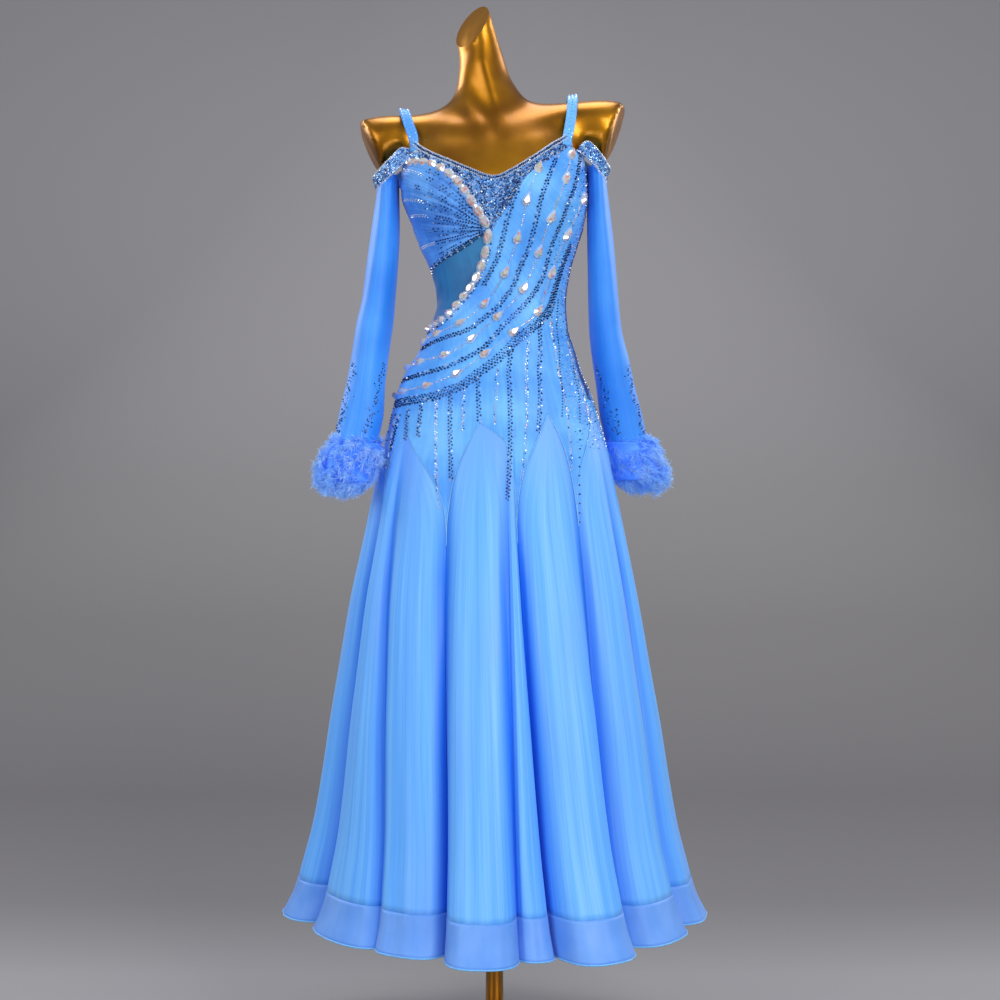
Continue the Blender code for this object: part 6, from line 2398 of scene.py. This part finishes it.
@dataclass
class StoneSet:
    """Stones joined into one mesh, each with its own seat, size and tone."""

    name: str
    seed: int = 3
    tilt: float = 0.10
    foot: float = 0.0008
    points: list[Array] = field(default_factory=list)
    quads: dict[int, list[Array]] = field(default_factory=dict)
    tones: list[Array] = field(default_factory=list)
    count: int = 0

    def __post_init__(self) -> None:
        """Starts the set's own random numbers."""
        self.random = np.random.default_rng(self.seed)

    def add(
        self, seats: Seats, cut: Cut, wide: Array | float, tall: Array | float, rise: Array | float,
        tone: Array | float, rim: float | None = None
    ) -> None:
        """Sets one stone at each seat.

        Args:
            seats: where they sit.
            cut: their outline.
            wide: metres across the row.
            tall: metres along the row.
            rise: metres above the cloth.
            tone: places on the colour ramp.
            rim: another place on it for the slopes round the table.
        """
        number = len(seats.middle)
        if number == 0:
            return
        shape, faces = cut.template()
        out = unit(seats.out + self.random.normal(size=(number, 3)) * self.tilt)
        ahead = square_to(seats.ahead, out)
        side = np.cross(ahead, out)
        sizes = [np.broadcast_to(value, number)[:, None, None] for value in (wide, tall, rise)]
        across, along_row, up = (shape[None, :, k, None] for k in range(3))
        lifted = up * (sizes[2] + self.foot) - self.foot
        placed = seats.middle[:, None] + across * sizes[0] * side[:, None]
        placed = placed + along_row * sizes[1] * ahead[:, None] + lifted * out[:, None]
        self.points.append(placed.reshape(-1, 3))
        corners = len(shape)
        base = (self.count + np.arange(number) * corners)[:, None, None]
        for block in faces:
            self.quads.setdefault(block.shape[1], []).append((block[None] + base).reshape(-1, block.shape[1]))
        tones = np.repeat(np.broadcast_to(tone, number)[:, None], corners, axis=1)
        if rim is not None:
            tones = np.where(np.arange(corners)[None] < corners // 3, tones, rim)
        self.tones.append(tones.ravel())
        self.count += number * corners

    def add_round(self, seats: Seats, size: Array | float, rise: float, tone: Array | float) -> None:
        """Sets a small round stone at each seat."""
        self.add(seats, Cut.ROUND, size, size, rise, tone)

    def build(self, material: Material) -> None:
        """Joins the stones into one mesh."""
        faces = [np.concatenate(blocks) for blocks in self.quads.values()]
        shades = {"tone": np.concatenate(self.tones)}
        obj = add_mesh(self.name, np.concatenate(self.points), faces, material, shades=shades, rounded=False)
        stands_for(obj, "stoned_band")


def hex_spots(wide: float, tall: float, pitch: float) -> Array:
    """Offsets of a hexagonal field over a rectangle of metres."""
    rows = np.arange(0, tall, pitch * 0.866)
    columns = np.arange(0, wide, pitch)
    spots = np.stack(np.meshgrid(columns, rows), axis=-1)
    spots[1::2, :, 0] += pitch / 2
    return spots.reshape(-1, 2)


class StoneLines:
    """Where the stone lines lie: large stones, dark clusters, chains and single dots."""

    cup_large: Table = (
        (-69.6, 1.4244), (-65.5, 1.4081), (-51.9, 1.4046), (-42.3, 1.3995), (-34.1, 1.3901), (-25.4, 1.3747),
        (-19.6, 1.3552), (-14.8, 1.3321), (-9.3, 1.3074),
    )
    cup_lower: Table = ((-82.4, 1.243), (-32.5, 1.2668), (-9.3, 1.2913))
    large: tuple[Table, ...] = (
        (
            (-6, 1.2839), (-10.4, 1.2559), (-17.8, 1.2277), (-27.4, 1.204), (-36.8, 1.188), (-44.5, 1.1717),
            (-55.3, 1.1591), (-65.6, 1.1527), (-80, 1.147),
        ),
        (
            (28, 1.3903), (19.2, 1.3408), (13.8, 1.2856), (4.1, 1.2332), (-13.5, 1.1853), (-32.2, 1.1563),
            (-56, 1.1418), (-78, 1.131),
        ),
        (
            (56.3, 1.4196), (48.5, 1.3782), (37.1, 1.3162), (31.3, 1.2652), (19.9, 1.2096), (-0.7, 1.1656),
            (-18.8, 1.1301), (-36.5, 1.1056), (-59.7, 1.0972), (-80, 1.090),
        ),
        (
            (68.9, 1.3529), (56.1, 1.2948), (47.0, 1.236), (34.5, 1.1752), (13, 1.1409), (-6.6, 1.1062),
            (-22, 1.0754), (-41.8, 1.0581), (-64.4, 1.0511), (-82, 1.047),
        ),
    )
    dark: tuple[Table, ...] = (
        (
            (14.6, 1.3755), (13.8, 1.3566), (9.7, 1.3347), (5.9, 1.3101), (3.5, 1.2853), (-1.5, 1.2556),
            (-8.2, 1.2333), (-15.3, 1.2123),
        ),
        (
            (41.9, 1.4113), (33.5, 1.37), (28.9, 1.3434), (26.3, 1.3158), (24.7, 1.291), (22.4, 1.2671),
            (15.8, 1.2382), (9.7, 1.2075), (4, 1.1951), (-3.1, 1.1772), (-14.8, 1.1581), (-25, 1.1431),
            (-48, 1.131), (-74, 1.118),
        ),
        (
            (71.3, 1.4333), (57.5, 1.3673), (51.2, 1.342), (46.8, 1.3111), (42.8, 1.279), (39.7, 1.2423),
            (35.9, 1.2188), (25.8, 1.1931), (11.3, 1.1642), (2.9, 1.1469), (-8.9, 1.1157), (-20.9, 1.0973),
            (-34, 1.0841), (-53.5, 1.075), (-76, 1.068),
        ),
        (
            (67.4, 1.2801), (62.0, 1.246), (56.5, 1.2100), (49, 1.177), (36.9, 1.1552), (17, 1.1269),
            (9, 1.1094), (0.6, 1.0888), (-9.1, 1.0702), (-17.7, 1.0525), (-25.5, 1.0459), (-36.4, 1.0358),
            (-57.4, 1.0314), (-78, 1.027),
        ),
    )
    hip_dark: tuple[Table, ...] = (
        ((-44.2, 1.0286), (-42.8, 0.9787)),
        ((-25.2, 1.0459), (-21.4, 0.9103)),
        ((-9.1, 1.0702), (-8, 0.999)),
        ((10.4, 1.1094), (5.7, 0.880)),
        ((35.9, 1.1551), (22.5, 0.9839)),
        ((-54.8, 1.0202), (-52.6, 0.9731)),
        ((-63.9, 1.0132), (-66.6, 0.9584)),
    )
    hip_dots: tuple[Table, ...] = (
        ((60.9, 1.1946), (38.8, 1.0095)),
        ((74.3, 1.1494), (48.5, 0.9729), (41.4, 0.8419)),
        ((-80.0, 1.0150), (-76.0, 0.9650)),
        ((86.0, 1.1200), (84.0, 1.0100)),
    )
    hip_light: tuple[Table, ...] = (
        ((-33.5, 1.0324), (-26.6, 0.8679)),
        ((-17.1, 1.0517), (-16.3, 0.9868)),
        ((2.9, 1.0826), (-0.3, 0.9958)),
        ((23.3, 1.1273), (12.4, 0.9103)),
        ((49.0, 1.170), (39.8, 0.926)),
        ((-70.0, 1.0150), (-68.5, 0.9300)),
        ((69.0, 1.130), (62.0, 1.000)),
    )
    side_piping: Table = ((90, 1.3117), (89, 1.2), (74.2, 1.0381))
    back_dark: tuple[Table, ...] = (
        ((100, 1.060), (101, 0.990)), ((122, 1.075), (122, 0.940)), ((140, 1.080), (140, 1.000)),
        ((160, 1.085), (160, 0.915)), ((176, 1.085), (177, 1.000)), ((200, 1.080), (200, 0.930)),
        ((216, 1.075), (216, 0.995)), ((238, 1.065), (238, 0.935)), ((256, 1.050), (256, 0.985)),
    )


def in_turn(count: int) -> Array:
    """-1 and 1 in turn."""
    return np.where(np.arange(count) % 2 == 0, -1.0, 1.0)


@dataclass
class Stones:
    """Every stone of the gown, in joined meshes."""

    bodice: Bodice
    material: Material
    seed: int = 21
    # Sizes, pitches, heights and lifts are in metres.
    field_pitch: float = 0.0031
    field_rise: float = 0.0012
    field_sizes: Row = (0.78, 0.92, 1.0)
    # The yoke's field is laid out a little longer than its neckline, because its lower line is longer.
    yoke_stretch: float = 1.12
    row_lift: float = 0.0006
    low_lift: float = 0.0004
    neck_shift: float = 0.0004
    neck_rise: float = 0.0021
    # Rows of the neckline's chain: shift across, size, tone.
    neck_chain: tuple[tuple[float, float, Tone], ...] = (
        (0.0, 0.0026, Tone.SILVER), (0.0029, 0.0024, Tone.NAVY), (0.0058, 0.0025, Tone.SILVER),
    )
    band_pitch: float = 0.0028
    band_sewn: float = 0.012
    band_edge_pitch: float = 0.0029
    band_edge_size: float = 0.0025
    band_edge_rise: float = 0.0018
    # Rows of the straps: share across, size, tone.
    strap_chain: tuple[tuple[float, float, Tone], ...] = (
        (0.16, 0.0022, Tone.SILVER), (0.5, 0.0026, Tone.SKY), (0.84, 0.0022, Tone.SILVER),
    )
    strap_stones: int = 44
    strap_rise: float = 0.0014
    # A pleat's row: stones, bright and dark size, how far to both sides, pleats that have bright ones.
    pleat_stones: int = 64
    bright_size: float = 0.0025
    cluster_size: float = 0.0030
    pleat_spread: float = 0.0014
    bright_pleats: Row = (1, 3, 4, 6)
    # Heights of round stones above the cloth.
    low_rise: float = 0.0014
    even_rise: float = 0.0015
    full_rise: float = 0.0018
    # Lengths of the ovals along the wrap's upper edge, from the V to the right hip.
    edge_ovals: Row = (
        0.0235, 0.0225, 0.0205, 0.0195, 0.0190, 0.0165, 0.0170, 0.0150, 0.0150, 0.0125, 0.0125, 0.0110,
    )
    oval_stretch: float = 1.08
    large_rise: float = 0.0056
    # Fine chains stop this far from the large stones.
    clear_of_large: float = 0.0120
    # Dark double rows: spread, size; the second row along the wrap's lower seam with its shift across.
    dark_rows: Row = (0.0027, 0.0040)
    seam_rows: Row = (0.0022, 0.0031, 0.0075)
    hip_rows: Row = (0.0027, 0.0038)
    # Above this height the hips' dots are small and close, and below it larger and apart.
    dots_change: float = 1.0
    # Strewn stones: angles, heights, tries, least distance, most stones.
    strewn_angles: Row = (46, 89)
    strewn_heights: Row = (0.96, 1.40)
    strewn_tries: int = 2600
    strewn_gap: float = 0.0046
    strewn_most: int = 1300
    # Stones down a sleeve's side: how many, lowest height, reach up.
    sleeve_stones: int = 58
    sleeve_lowest: float = 0.985
    sleeve_reach: float = 0.110

    def __post_init__(self) -> None:
        """Starts the random numbers of the scattered stones."""
        self.random = np.random.default_rng(self.seed)

    def mixed_tones(self, count: int, shares: Row = (0.20, 0.28, 0.36, 0.13, 0.03)) -> Array:
        """Tones in random order, with the share of each from navy to aurora."""
        return self.random.choice([tone.value for tone in Tone], count, p=list(shares))

    def field(self, stones: StoneSet, seats: Seats) -> None:
        """Packs a field of small round stones of mixed tone and size."""
        count = len(seats.middle)
        size = self.field_pitch * self.random.choice(self.field_sizes, count)
        stones.add_round(seats, size, self.field_rise, self.mixed_tones(count))

    def yoke(self) -> None:
        """The stoned V: a packed field, its bright chain along the neckline and a steel row below it."""
        stones = StoneSet("stones_yoke")
        t = np.linspace(0, 1, 260)
        top, lower = Seams.yoke(t)
        places = Patch(between(top, lower, 12))
        high, low = GOWN.at(top), GOWN.at(lower)
        depth = np.linalg.norm(high - low, axis=1)
        length = line_length(high) * self.yoke_stretch
        grid = hex_spots(length, float(depth.max()), self.field_pitch)
        across = grid[:, 0] / length
        down = grid[:, 1] / np.interp(across, t, depth)
        inside = (down > 0.02) & (down < 0.98) & (across > 0.004) & (across < 0.996)
        spots = places.at(down[inside], across[inside])
        self.field(stones, Seats.on_gown(spots, 0.0002, upright=True))
        chain = Seats.in_row(Seams.neckline, self.field_pitch, self.row_lift).moved(across=self.neck_shift)
        for shift, size, tone in self.neck_chain:
            stones.add(chain.moved(across=shift), Cut.FACETED, size, size, self.neck_rise, tone.value)
        stones.build(self.material)

    def bands(self) -> None:
        """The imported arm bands, edged by bright rows, and small stones down the straps."""
        for band in ARM_BANDS:
            stones = StoneSet(f"stones_{band.node}")
            patch = band.patch()
            length = line_length(along(band.path, np.linspace(0, 1, 60))) + self.band_sewn
            grid = hex_spots(length, band.width, self.band_pitch)
            across, down = grid[:, 1] / band.width, grid[:, 0] / length
            inside = (across > 0.06) & (across < 0.94) & (down > 0.01) & (down < 0.99)
            seats = self.on_patch(patch, down[inside], across[inside])
            self.field(stones, seats)
            count, size = round(length / self.band_edge_pitch), self.band_edge_size
            for share in (0.02, 0.98):
                edge = self.on_patch(patch, np.linspace(0.01, 0.99, count), np.full(count, share))
                stones.add(edge, Cut.FACETED, size, size, self.band_edge_rise, Tone.SILVER.value)
            stones.build(self.material)
        stones = StoneSet("stones_straps")
        for strap in STRAPS:
            patch = strap.patch()
            down = np.linspace(0.03, 0.97, self.strap_stones)
            for share, size, tone in self.strap_chain:
                seats = self.on_patch(patch, down, np.full(self.strap_stones, share))
                stones.add_round(seats, size, self.strap_rise, tone.value)
        stones.build(self.material)

    @staticmethod
    def on_patch(patch: Patch, down: Array, across: Array) -> Seats:
        """Seats on a band, at shares along it and across it.

        Args:
            patch: the band's surface.
            down: shares along it.
            across: shares across it.

        Returns:
            The seats, which face away from the band's middle.
        """
        middle = patch.at(down, across)
        ahead = patch.at(np.clip(down + 0.01, 0, 1), across) - patch.at(np.clip(down - 0.01, 0, 1), across)
        side = patch.at(down, np.clip(across + 0.05, 0, 1)) - patch.at(down, np.clip(across - 0.05, 0, 1))
        out = unit(np.cross(ahead, side))
        core = patch.grid.reshape(-1, 3).mean(axis=0)
        out = out * np.sign((out * (middle - core)).sum(axis=-1, keepdims=True))
        return Seats(middle, out, square_to(ahead, out))

    def cup_seats(self, down: Array, share: Array) -> Seats:
        """Seats on the pleated cup, at shares down it and from its side to the V."""
        spots = Patch(self.bodice.cup_places(25, 40)).at(down, share)
        return Seats.on_gown(spots, self.bodice.cup_relief(down, share) + 0.0001)

    def cup(self) -> None:
        """Rows over the pleats: bright doubles by the side, dark clusters that thicken by the V."""
        stones = StoneSet("stones_cup", foot=0.0012)
        pleats, count = self.bodice.pleats, self.pleat_stones
        silver, navy = Tone.SILVER.value, Tone.NAVY.value
        share = np.linspace(0.05, 0.97, count)
        for pleat in range(pleats):
            middle = (pleat + 0.5) / pleats
            down = middle - 0.012 * np.sin(5.1 * middle + 2 * share)
            bright = share < 0.40 + 0.04 * math.sin(pleat * 2.3)
            side = in_turn(count) * self.pleat_spread * np.where(bright, 1.0, 1.5)
            seats = self.cup_seats(down, share).moved(across=side)
            thick = self.random.random(count) < 0.20 + 0.75 * share
            keep = np.where(bright, (share > 0.14) & (pleat in self.bright_pleats), thick)
            dark = self.random.choice([navy, navy, navy, Tone.STEEL.value], count)
            size = np.where(bright, self.bright_size, self.cluster_size)
            stones.add_round(seats.only(keep), size[keep], 0.0016, np.where(bright, silver, dark)[keep])
            between_rows = self.cup_seats(np.clip(down + 0.5 / pleats, 0.01, 0.98), share)
            some = (share > 0.40) & (self.random.random(count) < 0.40)
            tone = self.mixed_tones(int(some.sum()), (0.45, 0.30, 0.10, 0.12, 0.03))
            stones.add_round(between_rows.only(some), 0.0024, self.low_rise, tone)
        lower = Seats.in_row(StoneLines.cup_lower, 0.0033, self.row_lift)
        tone = np.where(np.arange(len(lower.middle)) % 4 == 0, silver, navy)
        for shift in (-0.0020, 0.0020):
            stones.add_round(lower.moved(across=shift), 0.0029, self.full_rise, tone)
        stones.build(self.material)

    def large_stones(self) -> None:
        """Ovals along the edges of the cup and the wrap, pears along the fan lines, and chains between."""
        stones = StoneSet("stones_large", tilt=0.06, foot=0.0030)
        edge = along(StoneLines.cup_large, np.linspace(0.04, 1, 12))
        seats = Seats.on_gown(edge, 0.0014)
        grow = np.linspace(0, 1, len(edge))
        silver, aurora = Tone.SILVER.value, Tone.AURORA.value
        stones.add(seats, Cut.OVAL, 0.0134 + 0.002 * grow, 0.0160 + 0.008 * grow, 0.0050, aurora, silver)
        edge_line, *fan_lines = StoneLines.large
        near = np.linspace(0, 1, len(self.edge_ovals)) ** 0.9
        seats = Seats.on_gown(along(edge_line, near), 0.0026).moved(across=0.0035)
        tall = np.array(self.edge_ovals) * self.oval_stretch
        stones.add(seats, Cut.OVAL, 0.0142 - 0.003 * near, tall, self.large_rise, aurora, silver)
        for line in fan_lines:
            seats = Seats.on_gown(np.array(line), 0.0016)
            flipped = Seats(seats.middle, seats.out, -seats.ahead)
            fall = np.linspace(0, 1, len(line))
            wide, tall = 0.0150 - 0.002 * fall, 0.0250 - 0.004 * fall
            stones.add(flipped, Cut.PEAR, wide, tall, self.large_rise, aurora, silver)
        stones.build(self.material)
        chains = StoneSet("stones_chains", foot=0.0012)
        beside = Seats.in_row(edge_line, 0.0046, 0.0010).moved(across=-0.0035)
        tones = self.mixed_tones(len(beside.middle), (0.3, 0.2, 0, 0.3, 0.2))
        chains.add_round(beside, 0.0030, self.full_rise, tones)
        for line in fan_lines:
            seats = Seats.in_row(line, 0.0029, self.row_lift)
            knots = GOWN.at(np.array(line), self.row_lift)
            gap = np.linalg.norm(seats.middle[:, None] - knots[None], axis=-1).min(axis=1)
            fine = seats.only(gap > self.clear_of_large)
            size = 0.0020 + 0.0007 * self.random.random(len(fine.middle))
            tones = np.where(self.random.random(len(fine.middle)) < 0.5, aurora, silver)
            chains.add_round(fine, size, self.even_rise, tones)
        chains.build(self.material)

    def zigzag(self, stones: StoneSet, seats: Seats, spread: float, size: float, every: int = 5) -> None:
        """Dark stones to both sides of a line in turn, larger in groups, with a few pale ones.

        Args:
            stones: the set that they join.
            seats: their seats along the line.
            spread: metres to each side, less between groups by a cosine.
            size: metres, less between groups by a cosine.
            every: stones in a group.
        """
        count = len(seats.middle)
        order = 2 * math.pi * np.arange(count) / every
        side = in_turn(count) * spread * (0.75 + 0.25 * np.cos(order))
        uneven = self.random.uniform(0.9, 1.05, count)
        sizes = size * (0.86 + 0.14 * np.cos(order + math.pi / every)) * uneven
        tones = self.mixed_tones(count, (0.78, 0.16, 0.0, 0.06, 0.0))
        stones.add_round(seats.moved(across=side), sizes, 0.0019, tones)

    def dark_lines(self) -> None:
        """Dense dark double rows between the fan lines, doubled again along the wrap's lower seam."""
        stones = StoneSet("stones_dark_clusters", foot=0.0012)
        for line in StoneLines.dark:
            seats = Seats.in_row(line, 0.0025, self.row_lift)
            self.zigzag(stones, seats, *self.dark_rows)
        *rows, shift = self.seam_rows
        self.zigzag(stones, seats.moved(across=shift), *rows)
        stones.build(self.material)

    def hips(self) -> None:
        """Verticals on the hips: dense dark ones, single dots by the sides, and uneven pale rows."""
        stones = StoneSet("stones_hips", foot=0.0010)
        for line in StoneLines.hip_dark + StoneLines.back_dark:
            self.zigzag(stones, Seats.in_row(line, 0.0026, self.low_lift), *self.hip_rows, 4)
        for line in StoneLines.hip_dots:
            seats = Seats.in_row(line, 0.0048, self.low_lift)
            high = seats.middle[:, 2] > self.dots_change
            keep = high | (np.arange(len(high)) % 3 == 0)
            size = np.where(high, 0.0024, 0.0032)
            stones.add_round(seats.only(keep), size[keep], self.even_rise, Tone.NAVY.value)
        for line in StoneLines.hip_light:
            seats = Seats.in_row(line, 0.0021, self.low_lift)
            count = len(seats.middle)
            side = in_turn(count) * 0.0013 + self.random.normal(size=count) * 0.0004
            size = self.random.uniform(0.0016, 0.0030, count)
            tones = self.mixed_tones(count, (0.05, 0.10, 0.0, 0.45, 0.40))
            stones.add_round(seats.moved(across=side), size, self.even_rise, tones)
        stones.build(self.material)

    def scatter(self) -> None:
        """Pale stones strewn over the left side of the wrap and the hips, apart from each other."""
        stones = StoneSet("stones_scattered", foot=0.0010)
        angles = self.random.uniform(*self.strewn_angles, self.strewn_tries)
        heights = self.random.uniform(*self.strewn_heights, self.strewn_tries)
        spots = np.stack([angles, heights], axis=-1)
        middle = GOWN.at(spots)
        kept: list[int] = []
        for index in range(len(spots)):
            near = np.linalg.norm(middle[kept] - middle[index], axis=1).min(initial=1.0) if kept else 1.0
            if near > self.strewn_gap:
                kept.append(index)
        seats = Seats.on_gown(spots[kept[: self.strewn_most]], self.low_lift, upright=True)
        size = self.random.choice([0.0014, 0.0017, 0.0022], len(seats.middle))
        tone = self.mixed_tones(len(seats.middle), (0.08, 0.26, 0.26, 0.30, 0.10))
        stones.add_round(seats, size, 0.0013, tone)
        stones.build(self.material)

    def sleeves(self) -> None:
        """Dark stones strewn down both sides of each sleeve's front, closer together at the cuff."""
        stones = StoneSet("stones_sleeves", foot=0.0010)
        count = self.sleeve_stones
        share = np.linspace(0, 1, count) ** 1.2
        height = self.sleeve_lowest + self.sleeve_reach * share
        for sleeve in SLEEVES:
            for turns in (-0.62 - 0.15 * share, -1.95 - 0.65 * share):
                turns = turns + self.random.normal(size=count) * 0.13
                relief = sleeve.relief(height, turns)
                middle = sleeve.point(height, turns, relief)
                out = unit(sleeve.point(height, turns, relief + 0.002) - middle)
                seats = Seats(middle, out, square_to(np.tile(UPRIGHT, (count, 1)), out))
                size = self.random.uniform(0.0016, 0.0036, count)
                tone = self.random.choice([Tone.NAVY.value, Tone.NAVY.value, Tone.STEEL.value], count)
                stones.add_round(seats, size, 0.0017, tone)
        stones.build(self.material)

    def side_piping(self, material: Material) -> None:
        """Thin dark lines down the left side seam."""
        seats = Seats.in_row(StoneLines.side_piping, 0.004, 0.0008)
        paths = [seats.moved(across=shift).middle for shift in (0.0, 0.0065, 0.0120)]
        stands_for(add_tubes("side_seam_piping", paths, 0.0007, material), "stretch_satin")

    def build(self) -> None:
        """Sets every stone."""
        self.yoke()
        self.bands()
        self.cup()
        self.large_stones()
        self.dark_lines()
        self.hips()
        self.scatter()
        self.sleeves()


# ---- floor, light and camera -----------------------------------------------------------------------------


@dataclass(frozen=True)
class AreaLight:
    """A soft square light that faces a point."""

    name: str
    place: Row
    size: float
    power: float
    colour: Colour = (1.0, 1.0, 1.0)
    target: Row = (0.0, 0.0, 0.95)

    def build(self) -> None:
        """Makes the light."""
        data = bpy.data.lights.new(self.name, "AREA")
        data.size = self.size
        data.energy = self.power
        data.color = self.colour
        lamp = put_in_scene(bpy.data.objects.new(self.name, data))
        lamp.location = self.place
        away = Vector(self.place) - Vector(self.target)
        lamp.rotation_euler = away.to_track_quat("Z", "Y").to_euler()


@dataclass
class Studio:
    """A pale sweep with painted light and shade down its depth, soft lights and the camera."""

    distance: float = 2.51
    camera_height: float = 0.88
    frame_width: float = 1.6
    shift_x: float = 0.0055
    sensor: float = 36.0
    air_colour: Row = (0.85, 0.90, 1.0, 1.0)
    air_strength: float = 0.42
    # The sweep: half its width, where its curve starts behind the form, the curve's radius, its height.
    half_width: float = 7.0
    curve_start: float = 0.6
    curve_radius: float = 2.6
    wall_height: float = 7.0
    below_floor: float = 0.0002
    paint_depth: float = 4.0
    # The sweep's painted light and shade by depth behind the form, in shares of paint_depth: darkest at the
    # foot of the curve, lighter on the floor and up the wall.
    painted_light_greys: tuple[tuple[float, Colour], ...] = (
        (0.10, screen_colour(146, 144, 146)), (0.22, screen_colour(120, 118, 120)),
        (0.36, screen_colour(108, 106, 108)), (0.54, screen_colour(122, 120, 121)),
        (0.65, screen_colour(139, 137, 138)), (0.75, screen_colour(160, 157, 159)),
        (0.80, screen_colour(168, 165, 167)),
    )
    lights: tuple[AreaLight, ...] = (
        AreaLight("key", (1.9, -2.5, 1.9), 1.8, 57.0, (1.0, 0.98, 0.95)),
        AreaLight("fill", (-2.1, -2.3, 1.8), 1.8, 38.0),
        AreaLight("high_catch", (0.85, -1.95, 2.35), 0.6, 5.5, target=(0.0, 0.0, 1.50)),
        AreaLight("low_catch", (0.20, -1.80, 0.45), 0.45, 3.2, target=(0.0, 0.0, 1.50)),
        AreaLight("rim_left", (-2.0, 1.2, 2.1), 1.2, 26.0),
        AreaLight("rim_right", (2.0, 1.2, 2.1), 1.2, 26.0),
        AreaLight("top", (0.0, 0.5, 3.4), 1.4, 26.0),
    )

    def sweep(self) -> None:
        """Floor that curves up into the backdrop, as one surface, its grey painted darker and lighter to stand
        for the fall of light.
        """
        start, radius = self.curve_start, self.curve_radius
        floor = [(y, 0.0) for y in np.linspace(-self.half_width, start, 12)]
        turn = np.linspace(0, math.pi / 2, 24)[1:]
        curve = [(start + radius * math.sin(a), radius * (1 - math.cos(a))) for a in turn]
        profile = np.array([*floor, *curve, (start + radius, self.wall_height)])
        x, y = np.meshgrid(np.linspace(-self.half_width, self.half_width, 5), profile[:, 0])
        z = np.broadcast_to(profile[:, 1:] - self.below_floor, x.shape)
        grid = np.stack([x, y, z], axis=-1)
        graph = Graph("backdrop_grey")
        depth = graph.number("ShaderNodeSeparateXYZ", {}, {"Vector": graph.place()}, "Y")
        # The painted light and shade, read along the sweep's depth.
        ramp = graph.add("ShaderNodeValToRGB", {"stops": self.painted_light_greys}, {"Fac": depth / self.paint_depth})
        colour = ramp.outputs[0]
        behind = graph.number("ShaderNodeNewGeometry", {}, {}, "Backfacing")
        material = graph.finish(Base_Color=colour, Roughness=0.9, Specular_IOR_Level=0.1, Alpha=1.0 - behind)
        mesh = bpy.data.meshes.new("backdrop")
        mesh.from_pydata(grid.reshape(-1, 3).tolist(), [], grid_quads(*x.shape).tolist())
        mesh.shade_smooth()
        mesh.materials.append(material)
        put_in_scene(bpy.data.objects.new("backdrop", mesh))

    def build(self) -> None:
        """Makes the sweep, the lights, the world's light and the camera."""
        self.sweep()
        for light in self.lights:
            light.build()
        world = bpy.data.worlds.new("studio_air")
        world.use_nodes = True
        sockets = world.node_tree.nodes["Background"].inputs
        sockets["Color"].default_value = self.air_colour
        sockets["Strength"].default_value = self.air_strength
        bpy.context.scene.world = world
        data = bpy.data.cameras.new("camera")
        data.sensor_width = self.sensor
        data.lens = self.sensor * self.distance / self.frame_width
        data.shift_x = self.shift_x
        camera = put_in_scene(bpy.data.objects.new("camera", data))
        camera.location = (0.0, -self.distance, self.camera_height)
        camera.rotation_euler = (math.pi / 2, 0.0, 0.0)
        bpy.context.scene.camera = camera
        bpy.context.scene.view_settings.view_transform = "Standard"


# ---- the whole scene -------------------------------------------------------------------------------------


def main() -> None:
    """Builds the looks of every piece in order, then the studio; the cloth pieces log their cut sizes."""
    logging.basicConfig(level=logging.INFO, format="%(message)s")
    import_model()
    finishes = Finishes()
    DressForm(finishes.gold).build()
    Stand(finishes.brass).build()
    bodice = Bodice(finishes)
    bodice.build()
    Skirt(finishes).build()
    for strap in STRAPS:
        side = strap.node.rsplit("_", 1)[1]
        strap.build(finishes.wrap, "stretch_satin", ["neckline_yoke_ground", f"back_{side}_satin"])
    for band in ARM_BANDS:
        side = band.node.rsplit("_", 1)[1]
        band.build(finishes.yoke, "stoned_band", ["neckline_yoke_ground", f"back_{side}_satin"])
    for sleeve, band in zip(SLEEVES, ARM_BANDS):
        sleeve.build(finishes.sleeve, band)
    for cuff in CUFFS:
        cuff.build(finishes.down)
    stones = Stones(bodice, finishes.stones)
    stones.build()
    stones.side_piping(finishes.dark_piping)
    Studio().build()


if __name__ == "__main__":
    main()
